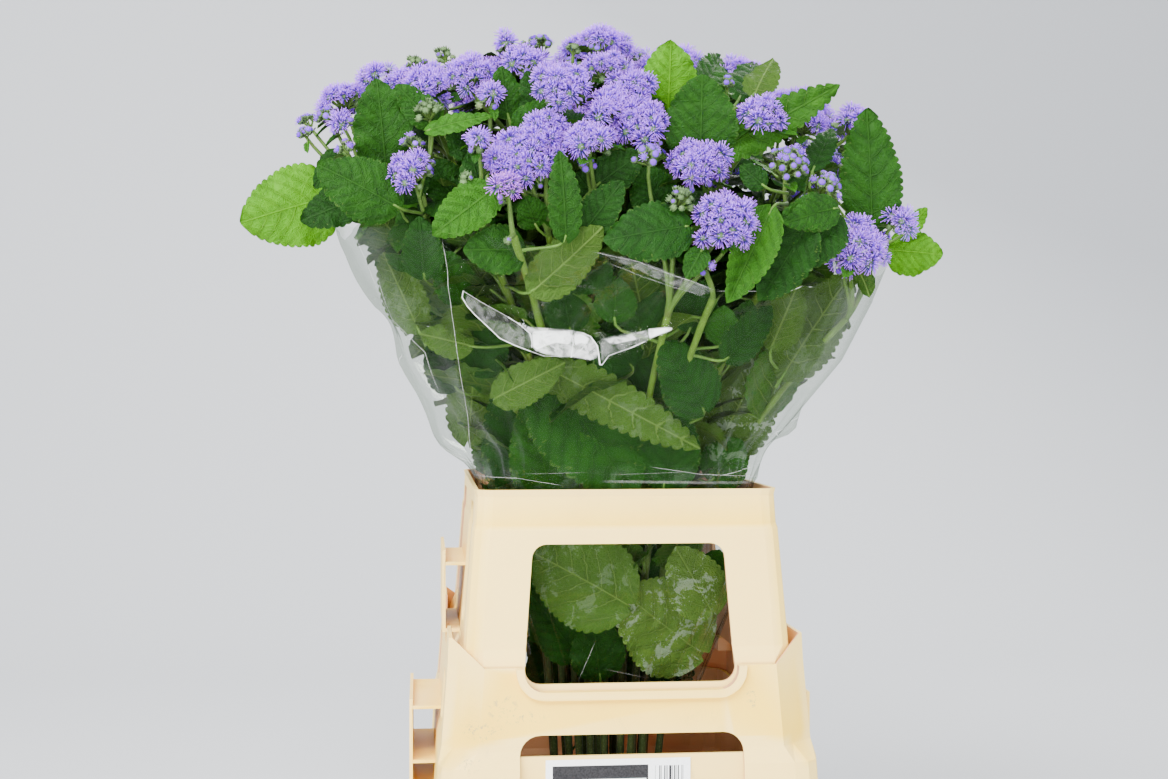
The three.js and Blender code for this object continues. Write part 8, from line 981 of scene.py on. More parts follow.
class Soup:
    """Vertices, faces and what goes with them, gathered from many small parts. Millimetres."""

    def __init__(self):
        self.n, self.v, self.tri, self.quad = 0, [], [], []
        self.trim, self.quadm, self.triuv, self.quaduv = [], [], [], []
        self.attr = {}

    def add(self, v, tri=None, quad=None, mat=0, uv=None, quadmat=None, trimat=None, **attr):
        """uv is per vertex, or (per tri corner, per quad corner)."""
        v = np.asarray(v, float).reshape(-1, 3)
        tri = np.zeros((0, 3), int) if tri is None else np.asarray(tri, int)
        quad = np.zeros((0, 4), int) if quad is None else np.asarray(quad, int)
        if uv is None:
            uv = np.full((len(v), 2), 0.5)
        if isinstance(uv, tuple):
            triuv, quaduv = uv
        else:
            triuv, quaduv = uv[tri], uv[quad]
        self.v.append(v)
        self.tri.append(tri + self.n)
        self.quad.append(quad + self.n)
        self.triuv.append(triuv.reshape(-1, 2))
        self.quaduv.append(quaduv.reshape(-1, 2))
        self.trim.append(np.full(len(tri), mat) if trimat is None else trimat)
        self.quadm.append(np.full(len(quad), mat) if quadmat is None else quadmat)
        for k, a in attr.items():
            a = np.asarray(a, float)
            a = np.broadcast_to(a, (len(v), a.shape[-1]))
            self.attr.setdefault(k, []).append((self.n, a))
        self.n += len(v)

    def build(self, name, mats, sharp=None):
        me = bpy.data.meshes.new(name)
        v = np.concatenate(self.v) * MM
        tri, quad = np.concatenate(self.tri), np.concatenate(self.quad)
        me.vertices.add(len(v))
        me.vertices.foreach_set("co", v.astype(np.float32).ravel())
        loops = np.concatenate([tri.ravel(), quad.ravel()]).astype(np.int32)
        me.loops.add(len(loops))
        me.loops.foreach_set("vertex_index", loops)
        me.polygons.add(len(tri) + len(quad))
        start = np.concatenate(
            [np.arange(len(tri)) * 3, len(tri) * 3 + np.arange(len(quad)) * 4]
        ).astype(np.int32)
        me.polygons.foreach_set("loop_start", start)
        me.polygons.foreach_set(
            "material_index",
            np.concatenate([np.concatenate(self.trim), np.concatenate(self.quadm)]).astype(np.int32),
        )
        me.update(calc_edges=True)
        uv = me.uv_layers.new(name="OFBake")
        uv.uv.foreach_set(
            "vector",
            np.concatenate([np.concatenate(self.triuv), np.concatenate(self.quaduv)])
            .astype(np.float32)
            .ravel(),
        )
        for k, parts in self.attr.items():
            w = parts[0][1].shape[1]
            full = np.zeros((len(v), w), np.float32)
            for s, a in parts:
                full[s : s + len(a)] = a
            if w == 4:
                at = me.attributes.new(k, "FLOAT_COLOR", "POINT")
                at.data.foreach_set("color", full.ravel())
            else:
                at = me.attributes.new(k, "FLOAT_VECTOR", "POINT")
                at.data.foreach_set("vector", full.ravel())
        me.shade_smooth()
        if sharp:
            me.set_sharp_from_angle(angle=math.radians(sharp))
        me.validate()
        for m in mats:
            me.materials.append(m)
        ob = bpy.data.objects.new(name, me)
        bpy.context.scene.collection.objects.link(ob)
        return ob


_grids = {}


def grid_quads(rows, cols, wrap=False):
    """Quads of a grid of rows x cols vertices, wrapping round the columns or not."""
    key = (rows, cols, wrap)
    if key not in _grids:
        i, j = np.meshgrid(np.arange(rows - 1), np.arange(cols if wrap else cols - 1), indexing="ij")
        i, j = i.ravel(), j.ravel()
        k = (j + 1) % cols
        _grids[key] = np.stack([i * cols + j, i * cols + k, (i + 1) * cols + k, (i + 1) * cols + j], 1)
    return _grids[key]


def frames(path):
    """Tangent, side and other side along a path, without twist."""
    t = np.gradient(path, axis=0)
    t /= np.linalg.norm(t, axis=1, keepdims=True)
    s = np.zeros_like(t)
    near = vec(0, 0, 1) if abs(t[0][2]) < 0.9 else vec(1, 0, 0)
    for i in range(len(t)):
        near = near - t[i] * near.dot(t[i])
        near = near / np.linalg.norm(near)
        s[i] = near
    return t, s, np.cross(t, s)


def tube(soup, path, radii, sides, mat, tile, cap=True, **attr):
    """A closed tube along a path. Its end is a point just past the path's last."""
    path, radii = np.asarray(path, float), np.asarray(radii, float)
    t, s, o = frames(path)
    a = np.arange(sides) / sides * 2 * math.pi
    ring = path[:, None] + radii[:, None, None] * (
        np.cos(a)[None, :, None] * s[:, None] + np.sin(a)[None, :, None] * o[:, None]
    )
    n = len(path)
    v = np.concatenate([ring.reshape(-1, 3), [path[0] - t[0] * radii[0] * 0.3], [path[-1] + t[-1] * radii[-1] * 0.4]])
    j = np.arange(sides)
    k = (j + 1) % sides
    tri = np.concatenate(
        [
            np.stack([np.full(sides, n * sides), k, j], 1),
            np.stack([np.full(sides, n * sides + 1), (n - 1) * sides + j, (n - 1) * sides + k], 1),
        ]
    )
    x = np.abs(2 * np.arange(sides) / sides - 1)
    y = np.linspace(0, 1, n)
    uv = np.stack(np.meshgrid(y, x, indexing="ij")[::-1], -1).reshape(-1, 2)
    uv = np.concatenate([uv, [[0.5, 0], [0.5, 1]]])
    uv = tile[:2] + uv * (tile[2:] - tile[:2])
    soup.add(v, tri, grid_quads(n, sides, True), mat, uv, **attr)


def bezier(a, b, c, d, n):
    t = np.linspace(0, 1, n)[:, None]
    return (1 - t) ** 3 * a + 3 * (1 - t) ** 2 * t * b + 3 * (1 - t) * t * t * c + t**3 * d


# ---------------------------------------------------------------- stems
FOOT = 4.4


def stem_at(stem, z):
    fx, fy, tx, ty, tz, _ = stem
    s = np.clip((z - FOOT) / (tz - FOOT), 0, 1.04)
    g = 0.2 * s + 0.8 * s**4
    return np.stack([fx + (tx - fx) * g, fy + (ty - fy) * g, z + 0 * g], -1)


STATIONS = np.array([0, 0.3, 0.5, 0.64, 0.76, 0.87, 1])


def stem_end(stem):
    p = stem_at(stem, FOOT + (stem[4] - FOOT) * STATIONS)
    return unit(p[-1] - p[-2])


def stem_part(soup, stem, tile, rng):
    z = FOOT + (stem[4] - FOOT) * np.linspace(0, 1, 30)
    path = stem_at(stem, z)
    s = np.linspace(0, 1, 30)
    wob = np.stack([np.sin(s * 9 + rng.uniform(0, 6)), np.cos(s * 8 + rng.uniform(0, 6)), 0 * s], -1)
    path = path + wob * (1.2 * np.sin(s * math.pi))[:, None]
    node = np.exp(-(((s * 8 + rng.uniform()) % 1 - 0.5) ** 2) / 0.012)
    r = stem[5] * (1 - 0.18 * s) * (1 + 0.16 * node)
    extra = stem_at(stem, stem[4]) + stem_end(stem) * 1.4
    path = np.concatenate([path, [extra]])
    r = np.append(r, r[-1] * 0.96)
    # duller below, where the stems stand in the bucket
    w = smooth(270, 450, path[:, 2])[:, None]
    ring = np.concatenate([np.array(STEM_LOW) * (1 - w) + np.array(STEM_TONE) * w, 1 + 0 * w], 1)
    tone = np.concatenate([np.repeat(ring, 8, axis=0), ring[:1], ring[-1:]])
    tube(soup, path, r, 8, 0, tile, kind=[0.0, 0, 0], tone=tone, leaf=[0, 0, 0.5])


# ---------------------------------------------------------------- leaves
def outline(u):
    """Half width of a blade, 1 at its widest."""
    at = [0, 0.03, 0.07, 0.12, 0.18, 0.26, 0.36, 0.46, 0.56, 0.66, 0.76, 0.85, 0.92, 0.97, 1]
    is_ = [0.1, 0.36, 0.62, 0.8, 0.92, 0.99, 1.0, 0.97, 0.9, 0.8, 0.67, 0.5, 0.34, 0.18, 0.02]
    return np.interp(u, at, is_)


def leaf_part(soup, row, tone, tiles, rng, fine=1.0, flat=1.0, stalk=1.25, wet=0.0):
    a, b, t, n = (np.array(row[i : i + 3]) for i in (0, 3, 6, 9))
    length, width, bend, fold = row[12:16]
    teeth = int(np.clip(round(length / (5.4 if fine >= 1 else 6.8 if fine > 0.4 else 8.4)), 4, 16))
    nu = teeth * (4 if fine >= 1 else 2)
    nv = (5 if length > 52 else 4) if fine >= 1 else 3 if fine > 0.4 else 2
    q = grid_quads(nu + 1, 2 * nv + 1)
    u = np.linspace(0, 1, nu + 1)[:, None] + 0 * np.zeros((1, 2 * nv + 1))
    v = np.sin(np.linspace(-1, 1, 2 * nv + 1) * math.pi / 2 * 0.86) / math.sin(math.pi / 2 * 0.86)
    v = v[None] + 0 * u
    av = np.abs(v)
    w = outline(u)
    tooth = (u * teeth + 0.5) % 1
    bump = 1 - np.abs(2 * tooth - 1) ** 2.4
    amp = (0.018 if fine >= 1 else 0.021) * length * smooth(0.0, 0.12, u) * smooth(1.0, 0.9, u) + 0.15
    half = av * w * width / 2 + av**5 * amp * (bump - 0.45) * 1.25
    x = np.sign(v) * half
    # the blade's own coordinates: along, with lobes that reach back past the stalk
    along = u - 0.075 * av * smooth(0.22, 0.0, u)
    ang = bend * along
    r = length / bend if abs(bend) > 1e-3 else 1e9
    fwd = r * np.sin(ang) if abs(bend) > 1e-3 else length * along
    drop = r * (1 - np.cos(ang)) if abs(bend) > 1e-3 else 0 * along
    side = np.cross(n, t)
    # forward lean of the side veins, and the phase that counts them
    nl = 6.5
    phase = (u - 0.8 * (half / length) * (0.7 + 0.55 * av)) * nl + 0.35
    quilt = np.abs(np.sin(math.pi * phase)) ** 0.75
    cell = np.abs(np.sin(math.pi * (half / 6.2 + 0.37 * np.floor(phase)))) ** 0.6
    edge = 1 - 0.75 * av**4
    relief = 0.019 * length * quilt * (0.72 + 0.4 * cell) * edge * smooth(0, 2.5, half) * smooth(0, 0.06, u)
    relief -= 0.5 * np.exp(-((half / 1.4) ** 2))
    p1, p2, p3, p4 = rng.uniform(0, 6.3, 4)
    k1, k2 = rng.uniform(1.3, 2.4), rng.uniform(2.6, 4.0)
    lr = np.where(v > 0, 1.0, 0.0)
    ruffle = np.sin(2 * math.pi * k1 * u + p1 + lr * p2) * 0.6 + np.sin(2 * math.pi * k2 * u + p3 + lr * p4) * 0.4
    ruffle *= av**2.2 * 0.05 * width * flat * rng.uniform(0.6, 1.25) * smooth(0, 0.15, u)
    curl = -rng.uniform(-0.02, 0.16) * av**2 * width / 2 * w * flat
    soft = np.sqrt(half**2 + 2.2) - math.sqrt(2.2)
    lift = soft * math.sin(fold) + curl + ruffle + relief
    twist = rng.uniform(-0.16, 0.16) * u * flat
    out = x * math.cos(fold)
    out, lift = out * np.cos(twist) - lift * np.sin(twist), lift * np.cos(twist) + out * np.sin(twist)
    sway = rng.uniform(-0.04, 0.04) * length * u**2
    up = n * np.cos(ang)[..., None] + t * np.sin(ang)[..., None]
    p = b + t * fwd[..., None] - n * drop[..., None] + side * (out + sway)[..., None] + up * lift[..., None]
    thick = 0.42 * (1 - av**4) + 0.9 * np.exp(-((half / 1.1) ** 2)) * (1 - 0.7 * u)
    thick[0], thick[-1], thick[:, 0], thick[:, -1] = 0, 0, 0, 0
    low = p - up * thick[..., None]
    verts = np.concatenate([p.reshape(-1, 3), low.reshape(-1, 3)])
    leaf = np.stack([x, u * length, phase], -1).reshape(-1, 3)
    seed = rng.uniform()
    kind = np.stack([av, u, seed + 0 * u], -1).reshape(-1, 3)
    nq, nvert = len(q), leaf.shape[0]
    base = np.stack([(v + 1) / 2, u], -1).reshape(-1, 2)
    uv = np.concatenate([tile[:2] + base * (tile[2:] - tile[:2]) for tile in tiles])
    face = np.zeros((2 * nvert, 3))
    face[:nvert, 0] = 1
    face[:, 1], face[:, 2] = wet, width
    soup.add(verts, quad=np.concatenate([q, (q + nvert)[:, ::-1]]), mat=1, uv=uv, leaf=np.concatenate([leaf, leaf]),
             kind=np.concatenate([kind, kind]), tone=[*tone, 1], face=face)
    # stalk, on into the lower side of the midrib
    reach = np.linalg.norm(b - a)
    end = b + t * 2.0 - n * 0.4
    rings, sides = (7, 6) if fine >= 1 else (5, 4)
    path = bezier(a - (b - a) / max(reach, 1e-6) * 0.8, a + (b - a) * 0.4 - n * reach * 0.06, b - t * reach * 0.3 - n * 0.5, end, rings)
    tube(soup, path, np.interp(np.linspace(0, 1, rings), [0, 0.15, 1], [stalk * 1.25, stalk, stalk * 0.82]), sides, 0, TUBE_TILE,
         kind=[0.0, 0, seed], tone=[*STALK_TONE, 1], leaf=[0, 0, 0.5])


# ---------------------------------------------------------------- flower heads
def pompom(rng, count, top=112.0, length=6.4, shut=0.0, bent=0.22):
    """Threads of one open flower button, each a sliver that widens to a blunt tip: vertices, faces, and part of the length, bin, spare."""
    v, tri, at = [], [], []
    golden = math.pi * (3 - math.sqrt(5))
    for i in range(count):
        f = (i + 0.5) / count
        th = math.radians(top) * f**0.6 + rng.normal(0, 0.1)
        ph = i * golden + rng.normal(0, 0.14)
        d = vec(math.sin(th) * math.cos(ph), math.sin(th) * math.sin(ph), math.cos(th))
        base = vec(2.6 * math.sqrt(f) * math.cos(ph), 2.6 * math.sqrt(f) * math.sin(ph), 0.8 * (1 - f) - 0.4)
        ln = length * rng.uniform(0.72, 1.14) * (1 - 0.1 * (1 - f))
        o = unit(np.cross(d, rng.normal(size=3)))
        q = np.cross(d, o)
        bow = o * ln * rng.uniform(-0.2, 0.2) + q * ln * rng.uniform(-0.12, 0.12)
        tip = base + d * ln + bow * rng.uniform(0.3, 1.1) - vec(0, 0, 0.3) * f * shut
        s = len(v)
        b = rng.integers(0, 32)
        v.append(base)
        at.append((0.0, b, 0))
        rings = [(tip, 0.35, 1.0)]
        if rng.uniform() < bent:
            rings = [(base + d * ln * 0.55 + bow * 1.3, 0.27, 0.55), (base + d * ln * 0.98 - bow * 0.4, 0.35, 1.0)]
        for c, r, part in rings:
            for k in range(3):
                a = k * 2 * math.pi / 3 + ph
                v.append(c + (o * math.cos(a) + q * math.sin(a)) * r)
                at.append((part, b, 0))
        for k in range(3):
            m = (k + 1) % 3
            tri.append((s, s + 1 + m, s + 1 + k))
            if len(rings) > 1:
                tri += [(s + 1 + k, s + 1 + m, s + 4 + m), (s + 1 + k, s + 4 + m, s + 4 + k)]
        e = s + 3 * len(rings) - 2
        tri.append((e, e + 1, e + 2))
    return np.array(v), np.array(tri), np.array(at, float)


def lathe(profile, sides, lobes=0, depth=0.0):
    """A closed lathe about +Z; the profile runs from the low pole to the high pole."""
    pr = np.array(profile, float)
    a = np.arange(sides) / sides * 2 * math.pi
    wave = 1 + depth * np.cos(lobes * a)
    body = pr[1:-1]
    ring = np.stack([body[:, :1] * np.cos(a) * wave, body[:, :1] * np.sin(a) * wave, body[:, 1:] + 0 * a], -1)
    n = len(body)
    v = np.concatenate([ring.reshape(-1, 3), [[0, 0, pr[0][1]], [0, 0, pr[-1][1]]]])
    j = np.arange(sides)
    k = (j + 1) % sides
    tri = np.concatenate(
        [
            np.stack([np.full(sides, n * sides), k, j], 1),
            np.stack([np.full(sides, n * sides + 1), (n - 1) * sides + j, (n - 1) * sides + k], 1),
        ]
    )
    return v, tri, grid_quads(n, sides, True)


def turn_to(d, rng):
    """Rotation whose Z is d, with a random turn about it."""
    z = unit(d)
    x = unit(np.cross(z, rng.normal(size=3)))
    return np.stack([x, np.cross(z, x), z], 1)


def cup(soup, c, R, r, h, rng, open_=False, n=8):
    """The green cup of n bracts under a flower button."""
    prof = [(0, -h), (0.5 * r, -h * 0.92), (0.95 * r, -h * 0.5), (0.98 * r, 0.0), (0, 0.08 * h)]
    if open_:
        prof.pop(1)
    v, tri, quad = lathe(prof, 6 if open_ else 8)
    soup.add(c + v @ R.T, tri, quad, 0, tile_uv(v, r, h), kind=[0.0, 0, rng.uniform()], tone=[*CUP_TONE, 1], leaf=[0, 0, 0.5])
    if n == 0:
        return
    ph = rng.uniform(0, 6)
    out = 1.16 if open_ else 1.02
    bv, bt = [], []
    for i in range(n):
        a = ph + i * 2 * math.pi / n
        e = vec(math.cos(a), math.sin(a), 0)
        s = vec(-math.sin(a), math.cos(a), 0)
        k = len(bv)
        hh = h * rng.uniform(0.2, 0.5)
        bv += [e * r * 1.04 - vec(0, 0, h * 0.7), e * r * 1.08 + s * r * 0.33 - vec(0, 0, h * 0.2), e * r * 1.08 - s * r * 0.33 - vec(0, 0, h * 0.2),
               e * r * out + vec(0, 0, hh)]
        bt += [(k, k + 2, k + 1), (k + 1, k + 2, k + 3), (k, k + 1, k + 3), (k, k + 3, k + 2)]
    bv = np.array(bv)
    light = np.array(CUP_TONE) * rng.uniform(0.85, 1.5)
    soup.add(c + bv @ R.T, bt, None, 0, tile_uv(bv, r, h), kind=[0.0, 0, rng.uniform()], tone=[*light, 1], leaf=[0, 0, 0.5])


def tile_uv(v, r, h):
    x = TUBE_TILE[0] + (TUBE_TILE[2] - TUBE_TILE[0]) * (0.5 + 0.4 * v[:, 0] / max(r, 1e-6) / 1.3)
    y = TUBE_TILE[1] + (TUBE_TILE[3] - TUBE_TILE[1]) * (0.5 + 0.3 * v[:, 2] / max(h, 1e-6))
    return np.clip(np.stack([x, y], 1), 0.002, 0.998)


def button(soup, c, R, r, rng, shade):
    """The flat violet top of a bud that is about to open: a low knobbly cushion."""
    prof = [(0, -0.2 * r), (0.8 * r, 0.0), (0.84 * r, 0.3 * r), (0.58 * r, 0.56 * r), (0, 0.6 * r)]
    v, tri, quad = lathe(prof, 9)
    g = rng.uniform(0.93, 1.07, len(v))
    v = v * g[:, None]
    b = float(rng.integers(0, 32))
    along = np.full(len(v), 0.2 + 0.25 * shade)
    soup.add(c + v @ R.T, tri, quad, 1, np.stack([np.full(len(v), (b + 0.5) / 32), along], 1),
             thread=np.stack([along, np.full(len(v), b), np.full(len(v), 1.0)], 1))


def threads(soup, c, R, s, tmpl):
    v, tri, at = tmpl
    uv = np.stack([(at[:, 1] + 0.5 + 0.3 * np.sin(np.arange(len(v)) * 2.1)) / 32, 0.04 + 0.92 * at[:, 0]], 1)
    soup.add(c + (v * s) @ R.T, tri, None, 0, uv, thread=at)


def sunflower(n, rng):
    """n places on a unit disc, from the middle out."""
    i = np.arange(n)
    r = np.sqrt((i + (0.0 if n < 3 else 0.35)) / max(n - 0.5, 1)) if n > 1 else np.zeros(1)
    a = i * math.pi * (3 - math.sqrt(5)) + rng.uniform(0, 6.3)
    if n == 2:
        r = np.array([0.5, 0.5]); a = np.array([0, math.pi]) + rng.uniform(0, 6)
    return np.minimum(r, 1), a


def cluster_part(green, bloom, stem, row, kind, rng):
    c, n, R, h = vec(*row[:3]), vec(*row[3:6]), row[6], row[7]
    lean = stem_end(stem)
    a = stem_at(stem, stem[4]) + lean * 0.2
    b = c - n * h * 0.3
    reach = np.linalg.norm(b - a)
    path = bezier(a, a + lean * reach * 0.35, b - n * reach * 0.3, b, 9)
    tube(green, path, np.interp(np.linspace(0, 1, 9), [0, 0.08, 0.5, 1], [2.5, 2.1, 1.7, 1.25]), 6, 0, TUBE_TILE,
         kind=[0.0, 0, rng.uniform()], tone=[*BRANCH_TONE, 1], leaf=[0, 0, 0.5])
    u = unit(np.cross(n, vec(0, 0, 1) if abs(n[2]) < 0.9 else vec(0, 1, 0)))
    w = np.cross(n, u)
    root = c - n * h * 0.42
    if kind in "om":
        count = max(1, int(round((R / 6.15) ** 2)))
        reach_r, size = max(R - 5.0, 0.0), 1.0
    elif kind == "p":
        count = max(3, int(round((R / 3.9) ** 2 * 0.95)))
        reach_r, size = R - 3.0, 3.3
    else:
        count = max(4, int(round((R / 3.3) ** 2 * 0.95)))
        reach_r, size = R - 2.4, 2.6
    rr, aa = sunflower(count, rng)
    if kind in "om" and count > 1:
        rr = np.minimum(rr * 1.04, 1)
    for i in range(count):
        rad = rr[i] * reach_r
        e = u * math.cos(aa[i]) + w * math.sin(aa[i])
        rel = rad / max(R, 1)
        top = h * (0.5 - 0.55 * rel**2) - (3.4 if kind in "om" else 2.2)
        p = c + e * (rad + rng.normal(0, 1.2)) + n * (top + rng.normal(0, 1.5 if kind in "om" else 0.9))
        d = unit(n * (1 - 0.35 * rel) + e * rel * 1.15 + rng.normal(size=3) * 0.13)
        M = turn_to(d, rng)
        k = kind
        if kind == "m":
            k = "o" if i < count * 0.55 or rng.uniform() < 0.25 else "p"
        if k == "o":
            s = rng.uniform(0.82, 1.16)
            cup(green, p - d * 0.6, M, 2.9 * s, 4.4 * s, rng, True, 5 if c[1] < 20 else 0)
            threads(bloom, p, M, s, (POMS if c[1] < 20 else POMS_FAR)[rng.integers(0, 6)])
            low = p - d * 4.6
        elif k == "p":
            s = rng.uniform(0.78, 1.12) * 3.1
            cup(green, p, M, s, s * 1.35, rng, n=8 if c[1] < 20 else 4)
            button(bloom, p + d * 0.15, M, s * 0.93, rng, rng.uniform(0, 1))
            if rng.uniform() < 0.35:
                threads(bloom, p, M, 0.62, POMS_SHUT[rng.integers(0, len(POMS_SHUT))])
            low = p - d * s * 1.3
        else:
            s = rng.uniform(0.72, 1.1) * 2.5
            cup(green, p, M, s, s * 1.5, rng)
            if rng.uniform() < 0.3:
                button(bloom, p - d * 0.2, M, s * 0.8, rng, 0)
            low = p - d * s * 1.4
        mid = (root + low) / 2 + n * 0.5 + e * rad * 0.12
        tube(green, bezier(root, root + (low - root) * 0.3 + e * rad * 0.1, mid * 0.4 + low * 0.6 - d * 1.0, low, 4),
             [1.15, 0.95, 0.78, 0.8], 4 if c[1] < 0 else 3, 0, TUBE_TILE, kind=[0.0, 0, rng.uniform()], tone=[*BRANCH_TONE, 1], leaf=[0, 0, 0.5])
    # a collar of shut buds and small leaves under the open flowers
    if kind in "om" and R > 9:
        for i in range(int(R / 3.2)):
            az = rng.uniform(0, 2 * math.pi)
            e = u * math.cos(az) + w * math.sin(az)
            p = c + e * R * rng.uniform(0.45, 0.84) + n * h * rng.uniform(-0.42, -0.16)
            d = unit(e * 0.9 + n * 0.5 + rng.normal(size=3) * 0.2)
            M = turn_to(d, rng)
            s = rng.uniform(1.9, 2.9)
            cup(green, p, M, s, s * 1.4, rng, n=8 if c[1] < 20 else 0)
            if rng.uniform() < 0.7:
                button(bloom, p, M, s * 0.9, rng, rng.uniform(0, 1))
            low = p - d * s * 1.3
            tube(green, bezier(root, root + n * 1.5, (root + low) / 2 + e, low, 3), [1.0, 0.8, 0.7], 3, 0, TUBE_TILE,
                 kind=[0.0, 0, rng.uniform()], tone=[*BRANCH_TONE, 1], leaf=[0, 0, 0.5])


def small_leaf(green, at, out, size, tone, rng, tiles):
    """A small leaf on a branch: it starts at a point and reaches out."""
    t = unit(out + rng.normal(size=3) * 0.25)
    n = unit(vec(0, 0, 1) - t * t[2] + rng.normal(size=3) * 0.25)
    n = unit(n - t * n.dot(t))
    b = at + t * size * 0.14
    row = [*at, *b, *t, *n, size, size * rng.uniform(0.48, 0.66), rng.uniform(0.2, 0.9), rng.uniform(0.05, 0.35)]
    leaf_part(green, row, tone, tiles, rng, fine=0.3, stalk=0.8)


# ---------------------------------------------------------------- materials
class Nodes:
    """A short way to write node trees."""

    def __init__(self, name):
        self.mat = bpy.data.materials.new(name)
        self.mat.use_nodes = True
        self.t = self.mat.node_tree
        self.t.nodes.clear()
        self.out = self.t.nodes.new("ShaderNodeOutputMaterial")

    def node(self, kind, **kw):
        n = self.t.nodes.new("ShaderNode" + kind)
        for k, v in kw.items():
            if k[0] == "_":
                setattr(n, k[1:], v)
        return n

    def put(self, sock, v):
        if hasattr(v, "is_output") or isinstance(v, bpy.types.NodeSocket):
            self.t.links.new(v, sock)
        elif v is not None:
            sock.default_value = v

    def attr(self, name, out="Vector"):
        n = self.node("Attribute")
        n.attribute_name = name
        return n.outputs[out]

    def split(self, v):
        n = self.node("SeparateXYZ")
        self.put(n.inputs[0], v)
        return n.outputs[0], n.outputs[1], n.outputs[2]

    def join(self, x, y, z):
        n = self.node("CombineXYZ")
        for i, v in enumerate((x, y, z)):
            self.put(n.inputs[i], v)
        return n.outputs[0]

    def dot(self, v, w):
        n = self.node("VectorMath")
        n.operation = "DOT_PRODUCT"
        self.put(n.inputs[0], v)
        n.inputs[1].default_value = tuple(float(x) for x in w)
        return n.outputs["Value"]

    def scale(self, v, s):
        n = self.node("VectorMath")
        n.operation = "SCALE"
        self.put(n.inputs[0], v)
        n.inputs["Scale"].default_value = s
        return n.outputs[0]

    def math(self, op, a, b=None, c=None, clamp=False):
        n = self.node("Math")
        n.operation = op
        n.use_clamp = clamp
        for i, v in enumerate((a, b, c)):
            if v is not None:
                self.put(n.inputs[i], v)
        return n.outputs[0]

    def ramp(self, x, lo, hi, a=0.0, b=1.0, smooth=True):
        n = self.node("MapRange")
        n.interpolation_type = "SMOOTHSTEP" if smooth else "LINEAR"
        n.clamp = True
        for i, v in enumerate((x, lo, hi, a, b)):
            self.put(n.inputs[i], v)
        return n.outputs[0]

    def mix(self, f, a, b, mode="MIX"):
        n = self.node("Mix")
        n.data_type = "RGBA"
        n.blend_type = mode
        n.clamp_factor = True
        self.put(n.inputs[0], f)
        self.put(n.inputs[6], a if not isinstance(a, tuple) else (*a, 1))
        self.put(n.inputs[7], b if not isinstance(b, tuple) else (*b, 1))
        return n.outputs[2]

    def noise(self, v, scale, detail=2.0, rough=0.5, out=0, dist=0.0):
        n = self.node("TexNoise")
        self.put(n.inputs["Vector"], v)
        n.inputs["Scale"].default_value = scale
        n.inputs["Detail"].default_value = detail
        n.inputs["Roughness"].default_value = rough
        n.inputs["Distortion"].default_value = dist
        return n.outputs[out]

    def voronoi(self, v, scale, feature="DISTANCE_TO_EDGE", out=0):
        n = self.node("TexVoronoi")
        n.feature = feature
        self.put(n.inputs["Vector"], v)
        n.inputs["Scale"].default_value = scale
        return n.outputs[out]

    def curve(self, x, stops, mode="EASE"):
        n = self.node("ValToRGB")
        r = n.color_ramp
        r.interpolation = mode
        while len(r.elements) < len(stops):
            r.elements.new(0.5)
        for e, (p, c) in zip(r.elements, stops):
            e.position, e.color = p, (*c, 1)
        self.put(n.inputs[0], x)
        return n.outputs[0]

    def bump(self, height, strength=0.5, dist=0.0005, normal=None):
        n = self.node("Bump")
        n.inputs["Strength"].default_value = strength
        n.inputs["Distance"].default_value = dist
        self.put(n.inputs["Height"], height)
        if normal is not None:
            self.put(n.inputs["Normal"], normal)
        return n.outputs[0]

    def bsdf(self, **kw):
        n = self.node("BsdfPrincipled")
        for k, v in kw.items():
            self.put(n.inputs[k.replace("_", " ")], v)
        return n

    def shade(self, f, a, b):
        n = self.node("MixShader")
        self.put(n.inputs[0], f)
        self.put(n.inputs[1], a)
        self.put(n.inputs[2], b)
        return n.outputs[0]

    def surface(self, s):
        self.t.links.new(s, self.out.inputs["Surface"])
        return self.mat


def srgb(r, g, b):
    """A colour given as 0 to 255, as it is seen."""
    return tuple(((c / 255 + 0.055) / 1.055) ** 2.4 if c > 10 else c / 255 / 12.92 for c in (r, g, b))


STEM_TONE = (0.074, 0.150, 0.014)
STEM_LOW = (0.026, 0.042, 0.010)
STALK_TONE = (0.06, 0.135, 0.016)
BRANCH_TONE = (0.056, 0.118, 0.016)
CUP_TONE = (0.07, 0.13, 0.045)


